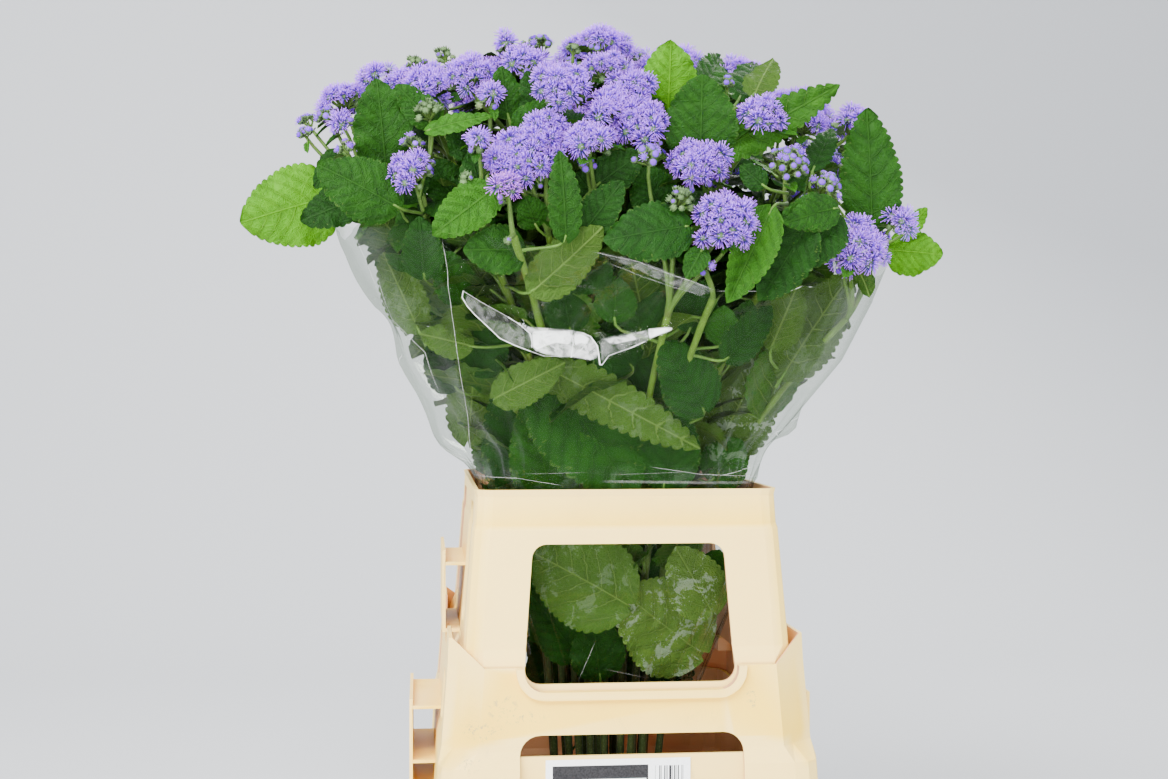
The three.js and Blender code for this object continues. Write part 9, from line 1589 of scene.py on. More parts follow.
def leaf_material():
    k = Nodes("ageratum_leaf")
    x, y, phase = k.split(k.attr("leaf"))
    av, u, seed = k.split(k.attr("kind"))
    side, wet, width = k.split(k.attr("face"))
    tone = k.attr("tone", "Color")
    where = k.join(x, y, k.math("MULTIPLY", seed, 97.0))
    ax = k.math("ABSOLUTE", x)
    # side veins, one at each whole number of the phase
    wob = k.noise(where, 0.13, 1.0)
    ph = k.math("ADD", phase, k.math("MULTIPLY", k.math("SUBTRACT", wob, 0.5), 0.35))
    d = k.math("ABSOLUTE", k.math("SUBTRACT", k.math("FRACT", k.math("ADD", ph, 0.5)), 0.5))
    vein = k.math("MULTIPLY", k.ramp(d, 0.015, 0.075, 1, 0), k.ramp(av, 0.35, 0.98, 1, 0.15))
    rib = k.ramp(ax, 0.35, 1.15, 1, 0)
    fine = k.ramp(k.voronoi(where, 0.40), 0.02, 0.16, 1, 0)
    mesh = k.ramp(k.voronoi(where, 0.17), 0.02, 0.12, 1, 0)
    net = k.math("MAXIMUM", k.math("MULTIPLY", fine, 0.4), k.math("MULTIPLY", mesh, 0.5))
    lines = k.math("MAXIMUM", net, k.math("MAXIMUM", vein, rib))
    mottle = k.noise(where, 0.06, 3.0, 0.6)
    speck = k.noise(where, 0.9, 2.0, 0.6)
    value = k.math("ADD", k.ramp(mottle, 0.3, 0.7, 0.84, 1.16), k.ramp(speck, 0.3, 0.7, -0.08, 0.08))
    value = k.math("MULTIPLY", value, k.ramp(seed, 0, 1, 0.86, 1.16, False))
    # painted shade and light: darker in the valleys by the side veins, lighter on the raised blade between them
    value = k.math("MULTIPLY", value, k.ramp(d, 0.0, 0.34, 0.76, 1.1))
    value = k.math("MULTIPLY", value, k.ramp(av, 0.0, 0.3, 0.82, 1.02))
    body = k.mix(1.0, tone, k.join(value, value, value), "MULTIPLY")
    body = k.mix(k.ramp(mottle, 0.45, 0.75, 0, 0.4), body, k.mix(1.0, tone, (1.35, 1.12, 0.55), "MULTIPLY"))
    pale = k.mix(1.0, tone, (2.1, 1.6, 1.9), "MULTIPLY")
    upper = k.mix(k.math("MULTIPLY", lines, 0.42), body, pale)
    upper = k.mix(k.ramp(av, 0.9, 1.0, 0, 0.3), upper, pale)
    under = k.mix(0.5, body, (0.054, 0.12, 0.018))
    strong = k.math("MAXIMUM", k.math("MULTIPLY", net, 0.4), k.math("MAXIMUM", vein, rib))
    under = k.mix(k.math("MULTIPLY", strong, 0.52), under, (0.15, 0.25, 0.055))
    colour = k.mix(side, under, upper)
    # wet patches and drops: smoother, and paler, a painted sheen of the water
    wide = k.noise(where, 0.06, 4.0, 0.7, dist=0.6)
    drops = k.ramp(k.voronoi(where, 0.55, "F1"), 0.30, 0.18)
    water_and_sheen = k.math("MAXIMUM", k.ramp(wide, 0.56, 0.60), k.math("MULTIPLY", drops, k.ramp(wide, 0.46, 0.54)))
    water_and_sheen = k.math("MULTIPLY", water_and_sheen, wet)
    colour = k.mix(k.math("MULTIPLY", water_and_sheen, 0.5), colour, (0.36, 0.44, 0.36))
    # raised between the veins above, and the other way round below
    grain = k.noise(where, 1.6, 2.0, 0.6)
    h = k.math("ADD", k.math("MULTIPLY", lines, -1.0), k.math("MULTIPLY", grain, 0.35))
    h = k.math("MULTIPLY", h, k.ramp(side, 0, 1, -1.3, 1.0, False))
    nor = k.bump(h, 0.85, 0.0011)
    rough = k.math("SUBTRACT", k.ramp(grain, 0.3, 0.7, 0.45, 0.62), k.math("MULTIPLY", water_and_sheen, 0.3))
    p = k.bsdf(Base_Color=colour, Roughness=rough, Normal=nor, Specular_IOR_Level=0.13)
    tr = k.node("BsdfTranslucent")
    lit = k.mix(1.0, colour, (1.5, 1.55, 0.7), "MULTIPLY")
    k.put(tr.inputs["Color"], lit)
    k.put(tr.inputs["Normal"], nor)
    return k.surface(k.shade(0.3, p.outputs[0], tr.outputs[0]))


def stalk_material():
    k = Nodes("ageratum_stalk")
    tone = k.attr("tone", "Color")
    co = k.node("TexCoord").outputs["Object"]
    n1 = k.noise(co, 60.0, 3.0)
    n2 = k.noise(co, 900.0, 2.0, 0.7)
    v = k.ramp(n1, 0.3, 0.7, 0.72, 1.25)
    c = k.mix(1.0, tone, k.join(v, v, v), "MULTIPLY")
    c = k.mix(k.ramp(n1, 0.58, 0.75, 0, 0.3), c, (0.16, 0.08, 0.06))
    c = k.mix(k.ramp(n2, 0.55, 0.7, 0, 0.22), c, (0.28, 0.36, 0.16))
    p = k.bsdf(Base_Color=c, Roughness=0.6, Normal=k.bump(n2, 0.5, 0.0004), Sheen_Weight=0.04, Sheen_Roughness=0.4,
               Specular_IOR_Level=0.2)
    return k.surface(p.outputs[0])


def thread_material():
    k = Nodes("ageratum_threads")
    along, bin_, _ = k.split(k.attr("thread"))
    tone = k.attr("tone", "Color")
    c = k.curve(along, [(0.0, (0.085, 0.014, 0.42)), (0.35, (0.23, 0.055, 0.86)), (0.72, (0.44, 0.145, 1.0)), (1.0, (0.66, 0.30, 1.0))])
    j = k.math("FRACT", k.math("MULTIPLY", bin_, 0.618))
    c = k.mix(k.ramp(j, 0.0, 1.0, 0.0, 0.28, False), c, (0.52, 0.20, 0.94))
    v = k.ramp(k.math("FRACT", k.math("MULTIPLY", bin_, 0.377)), 0, 1, 0.82, 1.2, False)
    c = k.mix(1.0, c, k.join(v, v, v), "MULTIPLY")
    c = k.mix(1.0, c, tone, "MULTIPLY")
    p = k.bsdf(Base_Color=c, Roughness=0.6, Specular_IOR_Level=0.08)
    tr = k.node("BsdfTranslucent")
    k.put(tr.inputs["Color"], c)
    return k.surface(k.shade(0.45, p.outputs[0], tr.outputs[0]))


# ---------------------------------------------------------------- camera, light and ground
# The camera as a place, a direction and a focal length in widths of a 36 mm frame.
EYE = Vector((-0.152, -1.356, 0.478))
AHEAD = Vector((0.0993, 0.9951, 0.0)).normalized()
RIGHT = AHEAD.cross(Vector((0, 0, 1)))


def camera():
    cam = bpy.data.cameras.new("camera")
    cam.sensor_width, cam.lens = 36.0, 50.0
    cam.clip_start, cam.clip_end = 0.05, 50
    ob = bpy.data.objects.new("camera", cam)
    ob.matrix_world = Matrix.Translation(EYE) @ Matrix((RIGHT, Vector((0, 0, 1)), -AHEAD)).transposed().to_4x4()
    bpy.context.scene.collection.objects.link(ob)
    bpy.context.scene.camera = ob


def area(name, at, to, size, power, colour=(1, 1, 1)):
    li = bpy.data.lights.new(name, "AREA")
    li.shape, li.size, li.size_y = "RECTANGLE", size[0], size[1]
    li.energy, li.color = power, colour
    ob = bpy.data.objects.new(name, li)
    ob.location = at
    ob.rotation_euler = (Vector(to) - Vector(at)).to_track_quat("-Z", "Y").to_euler()
    bpy.context.scene.collection.objects.link(ob)


def studio():
    w = bpy.data.worlds.new("studio")
    bpy.context.scene.world = w
    w.use_nodes = True
    bg = w.node_tree.nodes["Background"]
    bg.inputs[0].default_value = (0.86, 0.92, 1.0, 1)
    bg.inputs[1].default_value = 1.3
    area("key", (-1.5, -1.5, 2.3), (0, 0, 0.45), (1.5, 1.5), 170, (1, 0.985, 0.96))
    area("back", (0.9, 1.9, 2.2), (0, 0, 0.6), (1.4, 1.0), 80, (1, 0.99, 0.95))
    area("front", (-0.35, -1.75, 1.85), (0, -0.2, 0.5), (0.5, 0.4), 46, (1, 0.99, 0.97))
    area("low", (-0.5, -2.0, 0.35), (0, 0, 0.22), (1.6, 0.5), 62, (1, 0.97, 0.92))
    area("side", (2.1, -0.7, 1.2), (0, 0, 0.5), (1.0, 1.6), 30)
    area("wall", (-1.7, 1.0, 2.6), (-1.3, 2.8, 1.5), (1.0, 1.0), 26)
    # floor and wall in one sweep
    n, half = 24, 6.0
    prof = [(-6.0, 0.0), (1.4, 0.0)]
    prof += [(1.4 + 1.4 * math.sin(a), 1.4 - 1.4 * math.cos(a)) for a in np.linspace(0, math.pi / 2, n)[1:]]
    prof += [(2.8, 5.5)]
    v = [(s * half, y, z - 0.0005) for y, z in prof for s in (-1, 1)]
    f = [(2 * i, 2 * i + 1, 2 * i + 3, 2 * i + 2) for i in range(len(prof) - 1)]
    me = bpy.data.meshes.new("floor")
    me.from_pydata(v, [], f)
    me.shade_smooth()
    k = Nodes("floor")
    k.surface(k.bsdf(Base_Color=(0.50, 0.51, 0.53, 1), Roughness=0.8).outputs[0])
    me.materials.append(k.mat)
    ob = bpy.data.objects.new("floor", me)
    bpy.context.scene.collection.objects.link(ob)


# ---------------------------------------------------------------- plants
TUBE_TILE = np.array([0.005, 0.972, 0.995, 0.998])
# Leaf tones. Besides real differences between leaves, 'bright' is painted light on leaves lit through from behind,
# 'pale' is painted light on leaves seen in the collar's window, lit from the front, and 'dark' is in part painted
# shade, as on the shaded half of a cupped leaf.
TONES = {
    "bright": (0.058, 0.225, 0.003),
    "light": (0.021, 0.098, 0.005),
    "mid": (0.0108, 0.060, 0.0035),
    "dark": (0.0068, 0.042, 0.003),
    "under": (0.034, 0.086, 0.006),
    "deep": (0.0085, 0.050, 0.003),
    "pale": (0.10, 0.19, 0.03),
}


def tiles(count):
    """Two places on the texture for each of count leaves."""
    n = max(2, 2 * count)
    cols = int(math.ceil(math.sqrt(n * 1.6)))
    rows = int(math.ceil(n / cols))
    out = []
    for i in range(n):
        c, r = i % cols, i // cols
        out.append(np.array([(c + 0.03) / cols, 0.965 * (r + 0.03) / rows, (c + 0.97) / cols, 0.965 * (r + 0.97) / rows]))
    return [(out[2 * i], out[2 * i + 1]) for i in range(n // 2)]


def plants():
    global POMS, POMS_FAR, POMS_SHUT
    rng = np.random.default_rng(11)
    POMS = [pompom(rng, 76, 108 + 4 * (i % 3), 6.9 + 0.25 * (i % 4), bent=0.0) for i in range(6)]
    POMS_FAR = [pompom(rng, 37, 108 + 4 * (i % 3), 6.5 + 0.25 * (i % 4), bent=0.0) for i in range(6)]
    POMS_SHUT = [pompom(rng, 22, 62, 5.0) for i in range(4)]
    leaf_m, stalk_m, thread_m = leaf_material(), stalk_material(), thread_material()
    for i, stem in enumerate(STEMS):
        rng = np.random.default_rng(500 + i)
        green, bloom = Soup(), Soup()
        own = [l for l in LEAVES + EXTRA if l[0] == i]
        small = []
        heads = [[*h[:6], h[6] * (1.13 if h[8] in "om" else 1.0), *h[7:]] for h in HEADS[i] + [h[1] for h in MORE_HEADS if h[0] == i]]
        for row in heads:
            if row[8] in "omp":
                c, n, R, h = vec(*row[:3]), vec(*row[3:6]), row[6], row[7]
                u = unit(np.cross(n, rng.normal(size=3)))
                w = np.cross(n, u)
                for k in range(int(np.clip(R / 6, 1, 3)) if c[1] < 20 else 1):
                    a = rng.uniform(0, 6.3)
                    e = u * math.cos(a) + w * math.sin(a)
                    small.append((c - n * h * 0.5 + e * R * 0.3, unit(e + n * rng.uniform(-0.1, 0.5)), rng.uniform(0.5, 0.95) * R + 4))
        spots = tiles(len(own) + len(small))
        stem_part(green, stem, TUBE_TILE, rng)
        for l in own:
            name, tone, row = l[1], l[2], list(l[3:19])
            wet = l[19] if len(l) > 19 else 0.0
            front = name == 1
            leaf_part(green, row, TONES[tone], spots.pop(), rng, fine=1.0 if front else 0.5 if name == 0 else 0.3, flat=1.7 if row[5] > 590 else 1.0, wet=wet)
        for at, out, size in small:
            small_leaf(green, at, out, size, TONES[["light", "mid", "light"][rng.integers(0, 3)]], rng, spots.pop())
        for row in heads:
            cluster_part(green, bloom, stem, row, row[8], rng)
        bloom_tone = BLOOM_TONES.get(i, (1.0, 1.0, 1.0))
        bloom.attr["tone"] = [(0, np.tile([*bloom_tone, 1.0], (bloom.n, 1)))]
        name = "%02d" % (i + 1)
        g = green.build("foliage_" + name, [stalk_m, leaf_m])
        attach(g, "root")
        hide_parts("stem_" + name, "flower_head_" + name)
        b = bloom.build("bloom_" + name, [thread_m, thread_m])
        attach(b, "root")
        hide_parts("flower_head_" + name)


# ---------------------------------------------------------------- holder
def plastic(name, tone, dark, grime=1.0):
    """Satin moulded polypropylene that has been used: cloudy, scuffed, smudged, with rubbed places low on its front.
    """
    k = Nodes(name)
    co = k.node("TexCoord").outputs["Object"]
    geo = k.node("NewGeometry")
    cloud = k.noise(co, 9.0, 4.0, 0.6)
    blot = k.noise(co, 38.0, 4.0, 0.65, dist=0.6)
    grain = k.noise(co, 1400.0, 2.0, 0.6)
    x, y, z = k.split(co)
    # scratches: thin lines of a noise that is stretched two ways
    def scratch(a, b, c, lo, hi):
        n = k.noise(k.join(k.math("MULTIPLY", x, a), k.math("MULTIPLY", y, b), k.math("MULTIPLY", z, c)), 1.0, 5.0, 0.75)
        return k.ramp(k.math("ABSOLUTE", k.math("SUBTRACT", n, 0.5)), lo, hi, 1, 0)
    s1 = k.math("MULTIPLY", scratch(30, 30, 420, 0.0, 0.006), k.ramp(cloud, 0.52, 0.62))
    s2 = k.math("MULTIPLY", scratch(260, 260, 60, 0.0, 0.005), k.ramp(blot, 0.55, 0.66))
    marks = k.math("MAXIMUM", s1, s2)
    smudge = k.math("MULTIPLY", k.ramp(blot, 0.6, 0.74), k.ramp(cloud, 0.5, 0.64))
    edge = k.ramp(geo.outputs["Pointiness"], 0.5, 0.56)
    c = k.mix(k.ramp(cloud, 0.35, 0.65, 0, 1), tone, tuple(v * s for v, s in zip(tone, (0.965, 0.95, 0.92))))
    c = k.mix(k.math("MULTIPLY", smudge, 0.5 * grime), c, dark)
    c = k.mix(k.math("MULTIPLY", marks, 0.45 * grime), c, dark)
    c = k.mix(k.math("MULTIPLY", edge, 0.25), c, (0.95, 0.86, 0.66))
    # rubbed places on the front of the lower tier
    dirt = k.math("MULTIPLY", k.ramp(k.noise(co, 210.0, 4.0, 0.8, dist=0.5), 0.54, 0.62), k.math("LESS_THAN", y, -0.1))
    spots = None
    for sx, sz, rx, rz in ((-0.094, 0.248, 0.012, 0.010), (-0.080, 0.240, 0.017, 0.006), (-0.107, 0.231, 0.017, 0.007), (0.088, 0.251, 0.004, 0.009), (-0.118, 0.208, 0.010, 0.006)):
        e = k.math("ADD", k.math("POWER", k.math("MULTIPLY", k.math("SUBTRACT", x, sx), 1 / rx), 2.0), k.math("POWER", k.math("MULTIPLY", k.math("SUBTRACT", z, sz), 1 / rz), 2.0))
        e = k.ramp(e, 0.3, 1.2, 1, 0)
        spots = e if spots is None else k.math("MAXIMUM", spots, e)
    dirt = k.math("MULTIPLY", dirt, spots)
    c = k.mix(k.math("MULTIPLY", dirt, 0.75), c, (0.30, 0.24, 0.16))
    # painted shade: faces turned inwards, the shaded insides of the collars and bucket, are darker and browner
    nx, ny, nz = k.split(k.node("TexCoord").outputs["Normal"])
    turned = k.math("ADD", k.math("MULTIPLY", nx, x), k.math("MULTIPLY", ny, y))
    c = k.mix(k.ramp(turned, 0.0, -0.03), c, (0.66, 0.36, 0.19))
    h = k.math("ADD", k.math("MULTIPLY", marks, -1.0), k.math("MULTIPLY", grain, 0.45))
    rough = k.math("ADD", k.ramp(cloud, 0.3, 0.7, 0.36, 0.5), k.math("MULTIPLY", marks, 0.2))
    p = k.bsdf(Base_Color=c, Roughness=rough, Normal=k.bump(h, 0.35, 0.0003), Subsurface_Weight=0.12,
               Subsurface_Radius=(0.006, 0.004, 0.002), Subsurface_Scale=1.0, Specular_IOR_Level=0.12)
    return k.surface(p.outputs[0])


def card_material():
    """White card with a dark block, a row of bars and a frame line, and no writing."""
    k = Nodes("label_card")
    co = k.node("TexCoord").outputs["Object"]
    x, y, z = k.split(co)
    mx = k.math("MULTIPLY", x, 1000.0)
    mz = k.math("MULTIPLY", z, 1000.0)

    def inside(v, lo, hi):
        return k.math("MULTIPLY", k.math("GREATER_THAN", v, lo), k.math("LESS_THAN", v, hi))
    block = k.math("MULTIPLY", inside(mx, -58.0, 12.0), inside(mz, 176.0, 205.0))
    light = k.math("MULTIPLY", inside(mx, -56.5, 10.5), inside(mz, 177.5, 195.0))
    bars = k.noise(k.join(mx, 0.0, 0.0), 1.1, 0.0)
    bar = k.math("MULTIPLY", k.math("MULTIPLY", inside(mx, 17.0, 38.0), inside(mz, 186.0, 204.0)), k.math("GREATER_THAN", bars, 0.5))
    fibre = k.noise(co, 700.0, 3.0, 0.7)
    paper = k.mix(k.ramp(fibre, 0.3, 0.7), (0.80, 0.83, 0.86), (0.90, 0.92, 0.93))
    ink = k.mix(k.ramp(fibre, 0.3, 0.7), (0.012, 0.012, 0.014), (0.03, 0.03, 0.033))
    dark = k.math("MAXIMUM", k.math("MULTIPLY", block, k.math("SUBTRACT", 1.0, light)), bar, clamp=True)
    c = k.mix(dark, paper, ink)
    p = k.bsdf(Base_Color=c, Roughness=0.5, Specular_IOR_Level=0.12, Normal=k.bump(fibre, 0.2, 0.0001))
    return k.surface(p.outputs[0])


def soften():
    """A node group that shades smooth across shallow edges."""
    g = bpy.data.node_groups.new("soften", "GeometryNodeTree")
    g.interface.new_socket("Geometry", in_out="INPUT", socket_type="NodeSocketGeometry")
    g.interface.new_socket("Geometry", in_out="OUTPUT", socket_type="NodeSocketGeometry")
    i, o = g.nodes.new("NodeGroupInput"), g.nodes.new("NodeGroupOutput")
    face, edge = g.nodes.new("GeometryNodeSetShadeSmooth"), g.nodes.new("GeometryNodeSetShadeSmooth")
    edge.domain = "EDGE"
    edge.inputs["Shade Smooth"].default_value = False
    angle, over = g.nodes.new("GeometryNodeInputMeshEdgeAngle"), g.nodes.new("FunctionNodeCompare")
    over.operation = "GREATER_THAN"
    over.inputs[1].default_value = math.radians(38)
    g.links.new(angle.outputs[0], over.inputs[0])
    g.links.new(over.outputs[0], edge.inputs["Selection"])
    g.links.new(i.outputs[0], face.inputs[0])
    g.links.new(face.outputs[0], edge.inputs[0])
    g.links.new(edge.outputs[0], o.inputs[0])
    return g


def holder():
    smooth = soften()
    cream = plastic("crate_cream", (0.975, 0.635, 0.07), (0.30, 0.20, 0.11))
    cream2 = plastic("crate_cream_low", (0.965, 0.63, 0.075), (0.28, 0.19, 0.11), 1.3)
    card = card_material()
    for name, mat, width in (("bucket", cream2, 0.9), ("lower_collar", cream2, 1.0), ("upper_collar", cream, 1.1)):
        ob = bpy.data.objects[name]
        ob.material_slots[0].material = mat
        d = ob.modifiers.new("flat", "DECIMATE")
        d.decimate_type, d.angle_limit = "DISSOLVE", math.radians(1.5)
        b = ob.modifiers.new("round", "BEVEL")
        b.width, b.segments, b.limit_method, b.angle_limit = width * 0.001, 2, "ANGLE", math.radians(40)
        b.use_clamp_overlap = True
        s = ob.modifiers.new("soften", "NODES")
        s.node_group = smooth
    bpy.data.objects["label_card"].material_slots[0].material = card


# ---------------------------------------------------------------- film
SLEEVE = np.array([
    [216, 69, 88, 3], [262, 84, 114, 3.4], [330, 103, 148, 5], [404, 107.5, 157.5, 6], [430, 119, 164, 5],
    [456, 142, 176, 4.6], [500, 178, 204, 4.2], [545, 201, 226, 3.9], [592, 217, 240, 3.7], [645, 226, 248, 3.7],
])
SLEEVE_EDGE = [(-180, 608), (-140, 594), (-116, 588), (-100, 581), (-92, 574), (-84, 551), (-75, 548), (-66, 555), (-40, 562), (0, 590), (40, 628),
               (90, 612), (140, 640), (180, 606)]


def sleeve_edge(deg):
    a = np.array([p[0] for p in SLEEVE_EDGE], float)
    z = np.array([p[1] for p in SLEEVE_EDGE], float)
    i = np.clip(np.searchsorted(a, deg) - 1, 0, len(a) - 2)
    t = (deg - a[i]) / (a[i + 1] - a[i])
    t = t * t * (3 - 2 * t)
    return z[i] + (z[i + 1] - z[i]) * t


def sleeve_point(deg, z, inset=0.0):
    hx, hy, n = (np.interp(z, SLEEVE[:, 0], SLEEVE[:, c]) for c in (1, 2, 3))
    c, s = np.cos(np.radians(deg)), np.sin(np.radians(deg))
    return np.stack([np.sign(c) * np.abs(c) ** (2 / n) * (hx - inset), np.sign(s) * np.abs(s) ** (2 / n) * (hy - inset), z], -1)


def seen_at(p):
    """Where a point lies in the camera's picture, in 1168ths of its width."""
    q = p - np.array(EYE) * 1000
    d, r = np.array(AHEAD), np.array(RIGHT)
    t = q @ d
    return 584 + 1622 * (q @ r) / t, 389.5 - 1622 * q[..., 2] / t


def wave(rng, count, lo, hi):
    """A smooth periodic function of an angle in degrees, made of count waves."""
    ks = rng.integers(lo, hi, count)
    ph, am = rng.uniform(0, 6.3, count), rng.uniform(0.4, 1.0, count)
    am /= am.sum()
    return lambda a: sum(m * np.sin(np.radians(a) * k + p) for k, p, m in zip(ks, ph, am))


def ridge(x):
    """Sharp crests, round hollows, 0 to 1."""
    return 1 - np.abs(np.sin(x))


# Painted highlights where the film glares, and last one faint hazy band, as outlines in the picture: solid, half and
# faint.
GLARE_AND_HAZE = [
    (0, [(532, 331), (545, 330), (570, 331), (572, 338), (570, 345), (556, 343), (546, 346), (538, 350), (533, 349)]),
    (0, [(648, 329), (672, 327), (672, 330), (656, 336), (649, 339)]),
    (0, [(573, 333), (583, 334), (591, 340), (586, 345), (580, 343), (575, 347)]),
    (1, [(509, 318), (530, 327), (545, 328), (570, 330), (585, 333), (593, 340), (598, 348), (600, 362), (585, 359), (572, 357),
         (560, 357), (545, 354), (532, 350), (533, 343), (528, 333)]),
    (1, [(604, 339), (626, 335), (648, 330), (648, 337), (630, 341), (612, 345)]),
    (2, [(463, 291), (480, 301), (508, 318), (530, 334), (532, 350), (515, 345), (500, 337), (490, 328), (475, 314), (467, 305)]),
    (2, [(600, 339), (620, 334), (649, 330), (649, 340), (630, 348), (608, 358), (602, 365)]),
    (2, [(590, 249), (640, 261), (716, 290), (700, 296), (650, 276)]),
]


def depth_in(x, y, shape):
    """How far points lie inside an outline; negative outside it."""
    s = np.array(shape, float)
    best = np.full(x.shape, 1e9)
    hit = np.zeros(x.shape, bool)
    for i in range(len(s)):
        (x0, y0), (x1, y1) = s[i - 1], s[i]
        ex, ey = x1 - x0, y1 - y0
        f = np.clip(((x - x0) * ex + (y - y0) * ey) / (ex * ex + ey * ey), 0, 1)
        best = np.minimum(best, np.hypot(x - x0 - f * ex, y - y0 - f * ey))
        if y0 != y1:
            hit ^= ((y0 > y) != (y1 > y)) & (x < ex * (y - y0) / ey + x0)
    return np.where(hit, best, -best)


def film():
    rng = np.random.default_rng(4)
    cols, rows = 340, 88
    # columns along the girth, closer together across the front, and rows closer together near the lip
    a = np.linspace(-180, 180, 4001)
    g = sleeve_point(a, np.full_like(a, 520.0))
    dense = 1 + 1.6 * smooth(-126, -112, a) * smooth(-52, -66, a)
    s = np.concatenate([[0], np.cumsum(np.linalg.norm(np.diff(g, axis=0), axis=1) * dense[1:])])
    ang = np.interp(np.linspace(0, s[-1], cols + 1)[:-1], s, a)
    top = sleeve_edge(ang)
    f = np.concatenate([np.linspace(0, 0.8, rows - 42, endpoint=False), np.linspace(0.8, 1, 42)])[:, None]
    A = ang[None] + 0 * f
    z0 = 216 + 3 * np.sin(np.radians(ang) * 7)
    Z = z0 + (top - z0) * f
    P = sleeve_point(A, Z)
    dA = sleeve_point(A + 0.5, Z) - sleeve_point(A - 0.5, Z)
    dZ = sleeve_point(A, Z + 1) - sleeve_point(A, Z - 1)
    N = np.cross(dA, dZ)
    N /= np.linalg.norm(N, axis=2, keepdims=True)
    PX, PY = seen_at(P)
    front = P[..., 1] < 40
    # pleats gathered at the mouth of the collar, running out upwards
    w1, w2, w3 = wave(rng, 6, 9, 26), wave(rng, 7, 30, 70), wave(rng, 5, 3, 9)
    gather = np.exp(-np.abs(Z - 410) / 34)
    low = smooth(395, 330, Z)
    D = w1(A + 0.03 * (Z - 400)) * (2.0 * gather + 1.6 * smooth(600, 470, Z) + 2.4 * low)
    D += w2(A - 0.02 * (Z - 400)) * (1.3 * gather + 0.35 + 0.9 * low)
    D += w3(A + 0.05 * (Z - 400)) * 3.0 * smooth(430, 520, Z) * smooth(260, 300, Z)
    # slack: broad facets with sharp crests between them
    for k in range(7):
        dx, dz = rng.normal(0, 1), rng.normal(0, 1)
        q = (np.radians(A) * 190 * dx + (Z - 400) * dz) / rng.uniform(34, 70) + rng.uniform(0, 6)
        D += ridge(q) ** 3 * rng.uniform(0.5, 1.4) * (smooth(420, 470, Z) + 0.8 * low)
    # calmer at its two sides, and fuller low down on the left
    D *= 1 - 0.8 * smooth(405, 425, Z) * smooth(58, 34, np.abs(A)) - 0.85 * smooth(405, 425, Z) * smooth(122, 146, np.abs(A))
    D += 14 * np.exp(-((Z - 441) / 19) ** 2) * smooth(40, 15, np.abs(np.abs(A) - 172))
    D -= 13 * np.exp(-((Z - 526) / 28) ** 2) * smooth(34, 12, np.abs(np.abs(A) - 176))
    # the lip turns out a little and waves
    D += smooth(-26, 0, Z - top) * (1.4 + 2.2 * w1(A * 1.0 + 40)) * 1.1
    # a long fold down the front, left of its middle
    t = np.clip((PY - 236) / 236, 0, 1)
    line = 441 + 36 * t
    off = (PX - line)
    fold = np.where(front & (PY > 225) & (PY < 486), 1.0, 0.0) * smooth(486, 450, PY)
    D += fold * (3.2 * np.exp(-np.abs(off) / 5) - 1.6 * np.exp(-((off - 26) / 22) ** 2) - 1.1 * np.exp(-((off + 22) / 18) ** 2))
    # the slack front hangs in a shallow pocket: a ledge under it faces up
    cx = np.array([440, 455, 470, 500, 530, 560, 598, 622, 645, 660, 672, 684])
    cy = np.array([276, 292, 309, 334, 348, 357, 363, 359, 348, 338, 329, 322])
    amp = np.interp(PX, [438, 455, 480, 530, 598, 640, 672, 690], [0, 9, 15, 19, 20, 15, 8, 0])
    wid = np.interp(PX, [440, 480, 540, 600, 640, 685], [9, 13, 19, 23, 16, 9])
    above = np.interp(PX, cx, cy) - PY
    pocket = smooth(0, 1, above / wid) * (1 - smooth(wid + 14, wid + 110, above))
    crumple = 1 + 0.05 * np.sin(PX / 3.4 + 1.7 * np.sin(PY / 6.0)) + 0.12 * np.sin(PX / 8.3 + PY / 9.0)
    D -= np.where(front, pocket * amp * crumple, 0)
    # creases that run to the ends of the pocket
    for (x0, y0, x1, y1, d) in ((690, 320, 800, 290, 1.6), (590, 250, 700, 292, 1.4), (455, 292, 395, 250, 1.2), (600, 365, 640, 470, 1.5),
                                (560, 360, 520, 478, 1.2), (700, 330, 770, 440, 1.5), (500, 340, 470, 470, 1.0), (370, 260, 450, 470, 1.5),
                                (392, 262, 452, 440, 1.1)):
        ux, uy = x1 - x0, y1 - y0
        ln = math.hypot(ux, uy)
        ux, uy = ux / ln, uy / ln
        along = (PX - x0) * ux + (PY - y0) * uy
        across = -(PX - x0) * uy + (PY - y0) * ux
        D += np.where(front, d * np.exp(-np.abs(across) / 4) * smooth(-6, 12, along) * smooth(ln + 6, ln - 20, along), 0)
    # a corner of the film that sticks out at the right
    tipz, tipa = 452.0, -6.0
    rz, ra = (Z - tipz) / 22, (A - tipa) / 11
    D += 15 * np.clip(1 - np.sqrt(rz**2 + ra**2), 0, 1) ** 1.3
    inset = 1.4
    # never outwards through the collar
    lim = np.where(Z < 406, -0.8, 40.0)
    D = np.minimum(D - inset, lim)
    Q = P + N * D[..., None]
    # painted highlights where the film glares, with one faint hazy band, and the two ends of each crease on the film
    SX, SY = seen_at(Q)
    mark = np.full((*SX.shape, 3), -9.0)
    for k, shape in GLARE_AND_HAZE:
        mark[..., k] = np.maximum(mark[..., k], np.where(front, depth_in(SX, SY, shape), -9.0))
    fq, fx, fy = Q[front], SX[front], SY[front]

